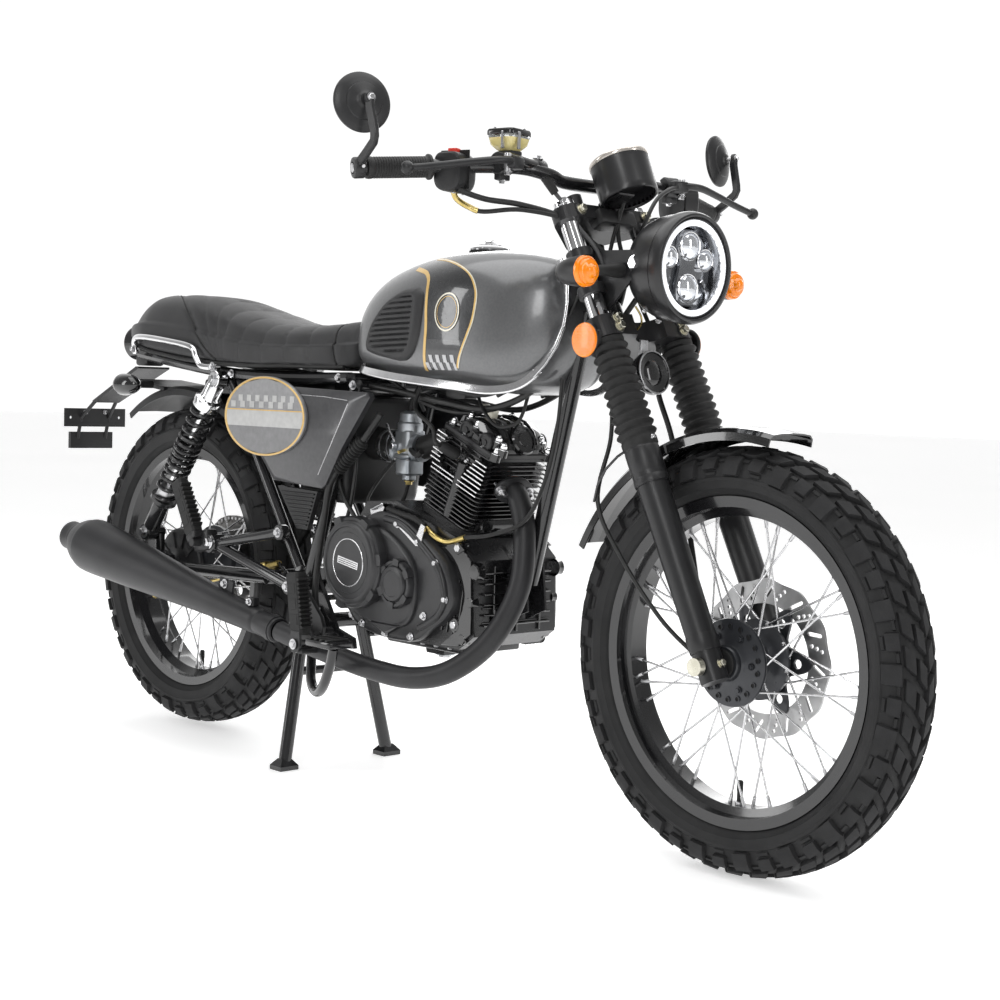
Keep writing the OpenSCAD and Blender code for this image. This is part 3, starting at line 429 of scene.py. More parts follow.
def make_tyre(name, node, c, ro, w, h, body, count, fl=242.0, bead=229.0):
    b = B()
    raw = [(0, ro), (0.10 * w, ro - 0.6), (0.20 * w, ro - 2.6), (0.30 * w, ro - 6), (0.38 * w, ro - 10.5), (0.44 * w, ro - 16), (0.48 * w, ro - 23), (0.5 * w, ro - 33), (0.503 * w, ro - 44)]
    Q = [tuple(p)[:2] for p in spline([(a[0], a[1], 0) for a in raw], 4)]

    def pt(s, th, d):
        y, r, ny, nr = curve_at(Q, s)
        rr = (r - d * nr) * MM
        return c + Vector((rr * math.cos(th), (y - d * ny) * MM, rr * math.sin(th)))

    depth = lambda s: 7.5 if abs(s) < 0.6 else 7.5 - 5.0 * (abs(s) - 0.6) / 0.4
    # carcass
    prof = []
    for k in range(-14, 15):
        s = k / 14
        y, r, ny, nr = curve_at(Q, s)
        prof.append((y - depth(s) * ny, r - depth(s) * nr))
    low = [(0.497 * w, ro - 46), (0.4985 * w, ro - 48), (0.4985 * w, ro - 50), (0.492 * w, ro - 51), (0.482 * w, fl + 18), (0.465 * w, fl + 13), (0.463 * w, fl + 11.5), (0.45 * w, fl + 10.5), (h + 3, fl + 5), (h + 1.4, fl + 3), (h - 2, fl + 1.5), (h - 4, fl - 1), (h - 6, bead + 2)]
    low = [(y, r) for y, r in low if r < ro - 42]
    prof = [(-y, r) for y, r in low[::-1]] + prof + low
    mx = Matrix.Translation(c) @ Matrix.Rotation(rad(-90), 4, "X")
    b.lathe(mx, [(r * MM, y * MM) for y, r in prof], "tyre", 192)
    pitch = 2 * math.pi / count

    def block(s0, s1, th, wid, skew, hgt, n=3, m="tread"):
        e = 0.018 * (1 if s1 > s0 else -1)
        ss = [s0, s0 + e] + [s0 + (s1 - s0) * k / n for k in range(1, n)] + [s1 - e, s1]
        R = []
        for i, s in enumerate(ss):
            t = (s - s0) / (s1 - s0)
            mid = th + skew * (t - 0.5) * pitch
            end = i in (0, len(ss) - 1)
            hw = wid * pitch / 2
            f = 0.86 if not end else 0.9
            dt = depth(s) - (hgt if not end else 0.4)
            db = depth(s) + 0.5
            R.append([pt(s, mid - hw, db), pt(s, mid - hw * f, dt), pt(s, mid + hw * f, dt), pt(s, mid + hw, db)])
        b.rings(R, m, smooth=False)

    for k in range(count):
        th = k * pitch
        for sg in (1, -1):
            o = 0 if sg > 0 else 0.5
            dk = 7.2
            block(sg * 0.02, sg * 0.235, th + (o + 0.0) * pitch, 0.70, 0.34, dk)
            block(sg * 0.285, sg * 0.52, th + (o + 0.42) * pitch, 0.70, 0.30, dk)
            lg = (k % 2 == 0)
            block(sg * 0.565, sg * (0.985 if lg else 0.86), th + (o + 0.02) * pitch, 0.72 if lg else 0.62, 0.06, 7.0 if lg else 6.4, 5)
            # low ribs on the sidewall below the short knobs
            if not lg:
                block(sg * 0.895, sg * 0.985, th + (o + 0.02) * pitch, 0.5, 0.0, 2.2, 2, "tyre")
            # short tie bars between the shoulder knobs
            block(sg * 0.60, sg * 0.70, th + (o + 0.52) * pitch, 0.34, 0.0, 3.2, 2, "tyre")
    return b.done(name, body, (node,), sharp=30)


FW, RW = P(1415, 0, 315), P(0, 0, 328)
make_tyre("front_tyre_tread", "front_tyre", FW, 315.0, 92.0, 34.8, "front_wheel", 42)
make_tyre("rear_tyre_tread", "rear_tyre", RW, 320.0, 115.5, 44.3, "rear_wheel", 42)
dress("front_rim", "rim"); dress("rear_rim", "rim")
dress("front_spokes", "spoke"); dress("rear_spokes", "spoke")
dress("rear_hub", "hub"); dress("front_axle", "zinc"); dress("rear_axle", "zinc")


def nipples(name, c, rh, yh, body, hub_r, fl_y):
    b = B()
    for k in range(18):
        for s in (-1, 1):
            a = rad(20 * k + (10 if s > 0 else 0))
            e = 1 if k % 2 == 0 else -1
            p0 = c + Vector((rh * math.cos(a), s * (yh + 2.2 * e), rh * math.sin(a))) * MM
            a2 = a + rad(34 * e)
            p1 = c + Vector((214.5 * math.cos(a2), s * (5 + 1.5 * e), 214.5 * math.sin(a2))) * MM
            d = (p1 - p0).normalized()
            b.tube([p1 - d * 0.017, p1 - d * 0.016, p1 - d * 0.004, p1], [0.0019, 0.0026, 0.0029, 0.0034], "steel", 10)
            b.ball(p0 - d * 0.001, 0.0034, "steel", 8, 6)
    # rubber valve with a cap, on a clamp nut
    v = c + Vector((0, 0, -0.2125))
    b.lathe(Matrix.Translation(v), [(0.0065, 0), (0.0065, 0.004), (0.0045, 0.005), (0.0042, 0.020), (0.0048, 0.0205), (0.0048, 0.034), (0.003, 0.036), (0.0001, 0.036)], ["steel", "steel", "rubber", "rubber", "rubber", "rubber", "rubber"], 14)
    return b.done(name, body)


nipples("front_spoke_nipples", FW, 58, 27, "front_wheel", 64, 32)
nipples("rear_spoke_nipples", RW, 69, 28, "rear_wheel", 78, 40)


def flat_plate(outline, holes, t):
    """A flat plate in XY with holes, as (verts, faces)."""
    cu = bpy.data.curves.new("tmp", "CURVE")
    cu.dimensions = "2D"
    cu.fill_mode = "BOTH"
    cu.extrude = t / 2
    for loop in [outline] + holes:
        sp = cu.splines.new("POLY")
        sp.points.add(len(loop) - 1)
        for q, (x, y) in zip(sp.points, loop):
            q.co = (x, y, 0, 1)
        sp.use_cyclic_u = True
    ob = bpy.data.objects.new("tmp", cu)
    bpy.context.scene.collection.objects.link(ob)
    me = bpy.data.meshes.new_from_object(ob.evaluated_get(bpy.context.evaluated_depsgraph_get()))
    v = [x.co.copy() for x in me.vertices]
    f = [tuple(p.vertices) for p in me.polygons]
    bpy.data.objects.remove(ob)
    bpy.data.curves.remove(cu)
    bpy.data.meshes.remove(me)
    return v, f


def circ(cx, cy, r, n=16):
    return [(cx + r * math.cos(2 * math.pi * i / n), cy + r * math.sin(2 * math.pi * i / n)) for i in range(n)]


def slot_loop(r0, r1, a, tilt, w, n=6):
    """A straight slot from radius r0 at angle a to radius r1 at angle a+tilt."""
    p = Vector((r0 * math.cos(a), r0 * math.sin(a)))
    q = Vector((r1 * math.cos(a + tilt), r1 * math.sin(a + tilt)))
    d = (q - p).normalized()
    b0 = math.atan2(d.y, d.x)
    out = [(q.x + w * math.cos(b0 + t), q.y + w * math.sin(b0 + t)) for t in [-math.pi / 2 + math.pi * i / n for i in range(n + 1)]]
    out += [(p.x + w * math.cos(b0 + t), p.y + w * math.sin(b0 + t)) for t in [math.pi / 2 + math.pi * i / n for i in range(n + 1)]]
    return out


def front_disc():
    b = B()
    n = 240
    outl = [((0.1178 + 0.0019 * math.cos(12 * a)) * math.cos(a), (0.1178 + 0.0019 * math.cos(12 * a)) * math.sin(a)) for a in [2 * math.pi * i / n for i in range(n)]]
    holes = [circ(0, 0, 0.082, 96)]
    for k in range(12):
        a = 2 * math.pi * k / 12
        holes.append(slot_loop(0.093, 0.110, a, 0.10, 0.0029))
        for j, r in enumerate((0.091, 0.099, 0.107)):
            t = a + 0.20 + 0.055 * j
            holes.append(circ(r * math.cos(t), r * math.sin(t), 0.0032, 12))
    v, f = flat_plate(outl, holes, 0.004)
    mx = Matrix.Translation(FW + Vector((0, 0.046, 0))) @ Matrix.Rotation(rad(-90), 4, "X")
    b.add([mx @ x for x in v], f, "disc", False)
    # carrier: a black spider with six arms and silver rivets
    m = 6
    outc = []
    for i in range(180):
        a = 2 * math.pi * i / 180
        k = 0.5 + 0.5 * math.cos(m * a)
        outc.append(((0.052 + 0.036 * k ** 1.6) * math.cos(a), (0.052 + 0.036 * k ** 1.6) * math.sin(a)))
    hc = [circ(0, 0, 0.032, 48)] + [circ(0.064 * math.cos(rad(60 * i)), 0.064 * math.sin(rad(60 * i)), 0.007, 16) for i in range(6)]
    v, f = flat_plate(outc, hc, 0.0045)
    mx2 = Matrix.Translation(FW + Vector((0, 0.0435, 0))) @ Matrix.Rotation(rad(-90), 4, "X")
    b.add([mx2 @ x for x in v], f, "hub", False)
    for i in range(6):
        a = rad(60 * i)
        for r, sz, mm in ((0.0845, 0.0045, "steel"), (0.045, 0.005, "steel")):
            c = FW + Vector((r * math.cos(a), 0.0485, r * math.sin(a)))
            b.lathe(lookmx(c - Vector((0, 0.004, 0)), (0, 1, 0)), [(sz, 0), (sz, 0.004), (sz * 0.7, 0.0052), (0.0001, 0.0054)], mm, 14)
    return b.done("front_disc_petal", "front_wheel", ("brake_disc",))


front_disc()


def front_hub():
    b = B()
    mx = Matrix.Translation(FW) @ Matrix.Rotation(rad(-90), 4, "X")
    pr = [(8, -52), (12, -52), (14, -50), (24, -49), (26, -47), (27, -41), (31, -38.5), (61, -34.5), (64, -33.5), (65, -31), (64, -28.5), (60, -27.5), (44, -24), (35, -16), (33, 0), (35, 14),
          (44, 20), (58, 24), (60, 25.5), (60, 30), (58, 31), (47, 32), (46, 40.6), (30, 41.2), (29, 48), (26, 50), (8, 50)]
    b.lathe(mx, [(r * MM, y * MM) for r, y in pr], "hub", 72)
    # holes between the spoke heads, drawn as flat dark discs in raised collars (painted shade standing in for the
    # holes' depth), and a black seal with a bright collar
    for i in range(18):
        a = rad(20 * i + 10)
        c = FW + Vector((0.0535 * math.cos(a), -0.0362, 0.0535 * math.sin(a)))
        b.lathe(lookmx(c, (0, -1, 0)), [(0.0001, 0.0), (0.0032, 0.0001), (0.0032, 0.0012), (0.0044, 0.0013), (0.0044, 0.0)], ["seamline", "seamline", "hub", "hub"], 12)
    for i in range(6):
        a = rad(60 * i)
        c = FW + Vector((0.043 * math.cos(a), -0.0385, 0.043 * math.sin(a)))
        b.bolt(c, (0, -1, 0), 0.0034, "hub", 0.003)
    b.lathe(mx, [(0.0082, -0.0525), (0.0185, -0.0525), (0.0205, -0.0510), (0.0205, -0.0492)], "rubber", 36)
    return b.done("front_hub_body", "front_wheel", ("front_hub",))


front_hub()


def sprocket():
    b = B()
    n = 42
    outl = []
    for i in range(n):
        a = 2 * math.pi * i / n
        for da, r in ((-0.36, 0.0842), (-0.14, 0.0882), (0.14, 0.0882), (0.36, 0.0842)):
            t = a + da * 2 * math.pi / n
            outl.append((r * math.cos(t), r * math.sin(t)))
    holes = [circ(0, 0, 0.024, 40)] + [circ(0.062 * math.cos(rad(60 * i)), 0.062 * math.sin(rad(60 * i)), 0.011, 20) for i in range(6)]
    v, f = flat_plate(outl, holes, 0.006)
    mx = Matrix.Translation(RW + Vector((0, 0.069, 0))) @ Matrix.Rotation(rad(-90), 4, "X")
    b.add([mx @ x for x in v], f, "chain", False)
    for i in range(6):
        a = rad(60 * i + 30)
        b.bolt(RW + Vector((0.040 * math.cos(a), 0.072, 0.040 * math.sin(a))), (0, 1, 0), 0.006, "steel", 0.005)
    return b.done("rear_sprocket_teeth", "rear_wheel", ("rear_sprocket",))


sprocket()


# ------------------------------------------------------------ tank
TANK_ROWS = [(590, 772, 742, 56, 0.8), (598, 812, 730, 84, 0.72), (622, 862, 722, 104, 0.66), (670, 894, 716, 118, 0.62),
             (740, 914, 709, 129, 0.6), (820, 925, 703, 136, 0.6), (900, 928, 697, 135, 0.6),
             (970, 922, 692, 124, 0.62), (1020, 910, 703, 104, 0.66), (1052, 892, 738, 80, 0.7), (1068, 862, 780, 58, 0.8)]


def catmull(rows, n):
    out = []
    m = len(rows) - 1
    for i in range(m):
        a, b, c, d = rows[max(i - 1, 0)], rows[i], rows[i + 1], rows[min(i + 2, m)]
        for k in range(n):
            t = k / n
            out.append(tuple(0.5 * (2 * q + (r - p) * t + (2 * p - 5 * q + 4 * r - s) * t * t + (3 * q - p - 3 * r + s) * t ** 3)
                             for p, q, r, s in zip(a, b, c, d)))
    out.append(tuple(rows[-1]))
    return out


def spow(v, e):
    return math.copysign(abs(v) ** e, v)


def tank_ring(r, n=112, k=1.0, dx=0.0):
    x, zt, zs, hw, e = r
    zc = zt * 0.42 + zs * 0.58
    out = []
    for j in range(n):
        a = 2 * math.pi * j / n
        c, s = math.cos(a), math.sin(a)
        y = hw * spow(c, e + 0.04)
        z = zc + (zt - zc) * spow(s, e + 0.14) if s > 0 else zc + (zc - zs) * spow(s, e + 0.02)
        out.append(P(x + dx, y * k, zc + (z - zc) * k))
    return out


def tank():
    b = B()
    rows = catmull(TANK_ROWS, 8)
    R = [tank_ring(rows[0], k=0.5, dx=-3), tank_ring(rows[0], k=0.86, dx=-2.4)] + [tank_ring(r) for r in rows] + [tank_ring(rows[-1], k=0.86, dx=4), tank_ring(rows[-1], k=0.5, dx=5.5)]
    b.rings(R, "graphite")
    o = b.done("tank_shell", "chassis", ("fuel_tank",), sharp=70)
    return o, BVHTree.FromPolygons([v.co for v in o.data.vertices], [tuple(p.vertices) for p in o.data.polygons])


TANK, TB = tank()


def on_tank(x, z, side, off, tree=None):
    d = Vector((0, -side, 0))
    p = P(x, side * 320, z)
    h, n, i, t = (tree or TB).ray_cast(p, d)
    if h is None:
        h, n, i, t = (tree or TB).find_nearest(P(x, side * 90, z))
    if n.y * side < 0:
        n = -n
    return h + n * off


def resample(c, n):
    c = [Vector((x, z)) for x, z in c]
    sm = [Vector((q[0], q[1])) for q in spline([(a.x, a.y, 0) for a in c], 8)]
    L = [0.0]
    for i in range(1, len(sm)):
        L.append(L[-1] + (sm[i] - sm[i - 1]).length)
    out = []
    for k in range(n):
        t = L[-1] * k / (n - 1)
        i = max(1, next((j for j in range(1, len(L)) if L[j] >= t - 1e-9), len(L) - 1))
        u = (t - L[i - 1]) / max(1e-9, L[i] - L[i - 1])
        out.append(sm[i - 1].lerp(sm[i], u))
    return out


FRONT_L = [(800, 912), (840, 908), (880, 899), (912, 886), (932, 869), (943, 846), (941, 812), (930, 784), (917, 758), (903, 733)]
REAR_L = [(770, 896), (792, 892), (810, 887), (824, 876), (830, 858), (834, 830), (836, 795), (831, 758), (820, 728)]


def sheet_on(b, A, C, m, off, side, n=44, w=18, edge=True):
    """A thin film between curves A and C on the tank."""
    a, c = resample(A, n), resample(C, n)
    g = [[on_tank(p.lerp(q, j / w).x, p.lerp(q, j / w).y, side, off) for j in range(w + 1)] for p, q in zip(a, c)]
    v = [x for r in g for x in r]
    f = [(i * (w + 1) + j, i * (w + 1) + j + 1, (i + 1) * (w + 1) + j + 1, (i + 1) * (w + 1) + j) for i in range(n - 1) for j in range(w)]
    b.add(v, f, m)


def line_on(b, A, width, m, off, side, n=64):
    a = resample(A, n)
    v = []
    for i, p in enumerate(a):
        t = (a[min(i + 1, n - 1)] - a[max(i - 1, 0)]).normalized()
        q = Vector((-t.y, t.x)) * width / 2
        for k, o in ((-1, 0.0), (-0.9, off), (0, off), (0.9, off), (1, 0.0)):
            v.append(on_tank(p.x + q.x * k, p.y + q.y * k, side, o))
    f = [(i * 5 + j, i * 5 + j + 1, (i + 1) * 5 + j + 1, (i + 1) * 5 + j) for i in range(n - 1) for j in range(4)]
    b.add(v, f, m)


def disc_on(b, cx, cz, r0, r1, m, off, side, n=64, w=3):
    v = []
    for i in range(w + 1):
        r = r0 + (r1 - r0) * i / w
        for j in range(n):
            a = 2 * math.pi * j / n
            v.append(on_tank(cx + r * math.cos(a) * 0.93, cz + r * math.sin(a) * 1.04, side, off))
    f = [(i * n + j, i * n + (j + 1) % n, (i + 1) * n + (j + 1) % n, (i + 1) * n + j) for i in range(w) for j in range(n)]
    if r0 < 0.5:
        f = [q for q in f]
    b.add(v, f, m)


def tank_trim():
    b = B()
    for s in (-1, 1):
        sheet_on(b, REAR_L, FRONT_L, "band", 0.0006, s)
        line_on(b, FRONT_L, 3.4, "gold", 0.0011, s)
        line_on(b, [(x + 2.4, z - 0.3) for x, z in FRONT_L], 1.3, "pale", 0.0013, s)
        line_on(b, REAR_L, 6.6, "gold", 0.0011, s)
        # checks: two rows of squares in the lower end of the band
        fa, ra = resample(FRONT_L, 200), resample(REAR_L, 200)
        def xat(c, z):
            return min(c[len(c) // 2:], key=lambda p: abs(p.y - z)).x
        for row, z0 in enumerate((729.5, 741.5)):
            x0, x1 = xat(ra, z0 + 6) + 4.5, xat(fa, z0 + 6) - 2.5
            k = int((x1 - x0) / 8.6)
            for i in range(k + 1):
                if (i + row) % 2 == 0:
                    xa, xb = x0 + i * 8.6, min(x0 + (i + 1) * 8.6, x1)
                    if xb - xa < 2:
                        continue
                    v = [on_tank(xa + (xb - xa) * u / 2, z0 + 12 * w / 2 + 0 * u, s, 0.0012) for w in range(3) for u in range(3)]
                    f = [(r * 3 + c, r * 3 + c + 1, r * 3 + c + 4, r * 3 + c + 3) for r in range(2) for c in range(2)]
                    b.add(v, f, "silver_sq")
        # plain round badge: ring and dark field, blank inside
        disc_on(b, 886, 822, 0.1, 30.0, "band", 0.0013, s)
        disc_on(b, 886, 822, 27.4, 30.0, "pale", 0.0019, s, w=1)
        disc_on(b, 886, 822, 23.6, 24.6, "gold", 0.0017, s, w=1)
    b.done("tank_stripes_badge", "chassis", sharp=60)
    # bright seam lip along the lower edge and up round the front
    b = B()
    for s in (-1, 1):
        rows = catmull(TANK_ROWS, 8)
        path = []
        for r in rows[6:-10]:
            path.append(P(r[0], s * r[3] * 0.925, r[2] + 3.5 + 0.028 * r[3]))
        last = rows[-11]
        path += [P(1036, s * 87, 723), P(1050, s * 76, 744), P(1062, s * 64, 772), P(1069, s * 55, 804), P(1071, s * 51, 836), P(1068, s * 48, 866), P(1058, s * 45, 892), P(1044, s * 42, 905)]
        rings = []
        for i, p in enumerate(path):
            t = (path[min(i + 1, len(path) - 1)] - path[max(i - 1, 0)]).normalized()
            c = Vector((0.02, 0, 0.84 - 0.02)) + Vector((P(860, 0, 0).x, 0, 0))
            outw = Vector((0, s, 0)) * (0.35 if i < len(path) - 9 else 0.12) + (Vector((0, 0, -1)) if i < len(path) - 8 else Vector((0.9, 0, -0.35)))
            outw = (outw - outw.dot(t) * t).normalized()
            sd = t.cross(outw)
            rings.append([p + outw * a + sd * c2 for a, c2 in ((-0.006, 0.0022), (0.004, 0.0026), (0.0072, 0.002), (0.0082, 0), (0.0072, -0.002), (0.004, -0.0026), (-0.006, -0.0022))])
        b.rings(rings, "seam")
    b.done("tank_seam_lip", "chassis", sharp=70)


tank_trim()

PAD = [(809, 863), (823, 853), (826, 828), (822, 796), (814, 773), (799, 754), (771, 743), (719, 748), (668, 757), (655, 767), (669, 798), (690, 819), (715, 839), (744, 853), (772, 861)]


def knee_pads():
    b = B()
    for s in (-1, 1):
        n, w = 180, 46
        sm = spline([(x, z, 0) for x, z in PAD + PAD[:1]], 12)[:-1]
        # resample the closed outline by length
        pts = [Vector((q[0], q[1])) for q in sm]
        L = [0.0]
        for i in range(1, len(pts) + 1):
            L.append(L[-1] + (pts[i % len(pts)] - pts[i - 1]).length)
        ring = []
        for k in range(n):
            t = L[-1] * k / n
            i = max(1, next(j for j in range(1, len(L)) if L[j] >= t - 1e-9))
            u = (t - L[i - 1]) / max(1e-9, L[i] - L[i - 1])
            ring.append(pts[i - 1].lerp(pts[i % len(pts)], u))
        c = Vector((752, 800))
        v = []
        for i in range(w + 1):
            rho = 1 - (1 - i / w) ** 1.0
            for q in ring:
                p = c.lerp(q, max(rho, 0.004))
                e = 1 - rho
                base = 0.0085 * min(1.0, (e / 0.16)) ** 0.5 if e < 0.16 else 0.0085
                if e > 0.2:
                    # ribs: rows of slots that slope a little forward
                    ph = (p.y - 0.03 * (p.x - 750) - 752) / 8.6
                    k = 0.5 + 0.5 * math.cos(2 * math.pi * ph)
                    inx = min(1.0, max(0.0, (e - 0.2) / 0.05))
                    fr = min(1.0, max(0.0, (800 + (p.y - 760) * 0.06 - p.x) / 4))
                    base -= 0.0048 * (k ** 2.6) * inx * fr
                    if 0.2 < e:
                        base -= 0.0006 * inx
                v.append(on_tank(p.x, p.y, s, base - (0.001 if i == w else 0)))
        f = [(i * n + j, i * n + (j + 1) % n, (i + 1) * n + (j + 1) % n, (i + 1) * n + j) for i in range(w) for j in range(n)]
        b.add(v, f, "pad")
        b.add(v[:n], [tuple(range(n))], "pad")
    b.done("knee_pads_ribbed", "chassis", ("knee_pads",), sharp=75)


knee_pads()


def fuel_cap():
    b = B()
    mx = Matrix.Translation(P(838, 0, 927.0)) @ Matrix.Rotation(rad(1), 4, "Y")
    b.lathe(mx, [(0.0365, -0.004), (0.0365, 0.003), (0.033, 0.0035)], "seamline", 64)
    b.lathe(mx, [(0.031, 0.003), (0.0352, 0.0042), (0.036, 0.0062), (0.0352, 0.0084), (0.031, 0.0106), (0.024, 0.0124), (0.0235, 0.0138), (0.0225, 0.0142), (0.0001, 0.0144)], "chrome", 72)
    b.box(mx @ Matrix.Translation((0, 0, 0.0172)) @ Matrix.Rotation(rad(24), 4, "Z"), 0.0125, 0.03, 0.0065, "chrome", 0.0024, 3)
    b.lathe(mx @ Matrix.Translation((0.0, 0, 0.0203)), [(0.0048, 0), (0.0048, 0.0009), (0.0001, 0.001)], "seamline", 16)
    b.done("fuel_cap_chrome", "chassis", ("fuel_cap",))


fuel_cap()

# ------------------------------------------------------------ seat
SEAT_ROWS = [(584, 806, 752, 64, 50), (574, 816, 733, 82, 66), (548, 814, 730, 96, 84), (460, 808, 730, 108, 98), (330, 811, 731, 114, 104),
             (215, 834, 733, 114, 104), (80, 864, 742, 112, 102), (-54, 871, 757, 106, 92), (-110, 862, 768, 98, 80),
             (-160, 836, 780, 80, 62), (-206, 802, 786, 52, 40)]
# seams: (x at the lower edge, x on the centre line), from the tail seam to the front piping
SEAMS = [(196, -96), (205, 20), (212, 112), (220, 190), (268, 262), (341, 318), (413, 372), (481, 436)]
TAIL = (192, -120)
FRONT_PIPE = (545, 505)


def seam_x(sm, q):
    """q is 0 at the lower edge and 1 on the centre line."""
    e = q ** 1.25
    return sm[0] + (sm[1] - sm[0]) * e


def seat():
    b = B()
    rows = catmull(SEAT_ROWS, 26)
    prof = [(0.0, 0.0), (0.6, 0.0), (0.92, 0.02), (0.985, 0.08), (1.0, 0.2), (1.0, 0.4), (0.965, 0.62), (0.88, 0.8), (0.72, 0.92), (0.5, 0.98), (0.25, 1.0), (0.0, 1.0)]
    pr = [(p[0], p[1]) for p in spline([(a, c, 0) for a, c in prof], 6)]
    N = len(pr)
    lo = next(i for i, p in enumerate(pr) if p[1] > 0.05)
    R = []
    for ri, r in enumerate(rows):
        x, zt, zb, hw, hw2 = r
        h = zt - zb
        half = []
        for i, (py, pz) in enumerate(pr):
            q = max(0.0, (i - lo) / (N - 1 - lo))
            w = hw2 + (hw - hw2) * (1 - pz) if pz > 0.5 else hw
            y, z = w * py, zb + h * pz
            puff = 0.0
            if i > lo - 2:
                cuts = [seam_x(sm, q) for sm in SEAMS] + [seam_x(TAIL, q), seam_x(FRONT_PIPE, q)]
                cuts.sort()
                a = max([c for c in cuts if c <= x], default=None)
                d = min([c for c in cuts if c > x], default=None)
                if a is not None and d is not None:
                    u = (x - a) / max(6.0, d - a)
                    gap = min(1.0, (d - a) / 40)
                    puff = (2.6 * gap + 0.8) * (max(0.0, 4 * u * (1 - u)) ** 0.42) - 2.2
                else:
                    dist = (x - cuts[-1]) if a is not None else (cuts[0] - x)
                    puff = 1.2 * min(1.0, (abs(dist) / 8)) ** 0.5 - 2.2 * max(0.0, 1 - abs(dist) / 8)
                puff *= min(1.0, (i - lo + 2) / 5)
            ny = py if pz > 0.1 else py
            nz = (pz - 0.45) * 1.3
            nn = math.hypot(ny, nz) or 1
            y += puff * ny / nn
            z += puff * nz / nn
            half.append((y, z))
        ring = [P(x, -y, z) for y, z in half] + [P(x, y, z) for y, z in half[-2:0:-1]]
        R.append(ring)
    c0 = [sum((v for v in R[0]), Vector()) / len(R[0])]
    first = [[c0[0].lerp(v, k) + Vector((dx, 0, 0)) for v in R[0]] for k, dx in ((0.35, 0.004), (0.8, 0.003))]
    cl = sum((v for v in R[-1]), Vector()) / len(R[-1])
    last = [[cl.lerp(v, k) + Vector((dx, 0, 0)) for v in R[-1]] for k, dx in ((0.85, -0.006), (0.4, -0.010))]
    b.rings(first + R + last, "vinyl")
    o = b.done("seat_cover", "chassis", ("seat",), sharp=80)
    # piping along the front edge and the tail seam, and the lower trim
    b = B()
    for sm, rr, m in ((FRONT_PIPE, 0.0021, "seamline"), (TAIL, 0.0018, "seamline")):
        for s in (-1, 1):
            pts = []
            for i in range(lo, N, 2):
                q = (i - lo) / (N - 1 - lo)
                x = seam_x(sm, q)
                k = min(range(len(rows)), key=lambda t: abs(rows[t][0] - x))
                v = R[k][i]
                pts.append(Vector((P(x, 0, 0).x, -v.y * s if s > 0 else v.y, v.z)))
            b.tube(pts, rr, m, 8)
    b.done("seat_piping", "chassis")
    b = B()
    for s in (-1, 1):
        b.tube([P(x, s * (w + 0.5), z) for x, z, w in [(560, 732, 88), (500, 731, 99), (400, 731, 108), (300, 731, 111), (215, 732.5, 112), (80, 741, 110), (-54, 756, 103), (-112, 768, 94)]], 0.0042, "rubber", 10)
    b.done("seat_base_trim", "chassis")


seat()


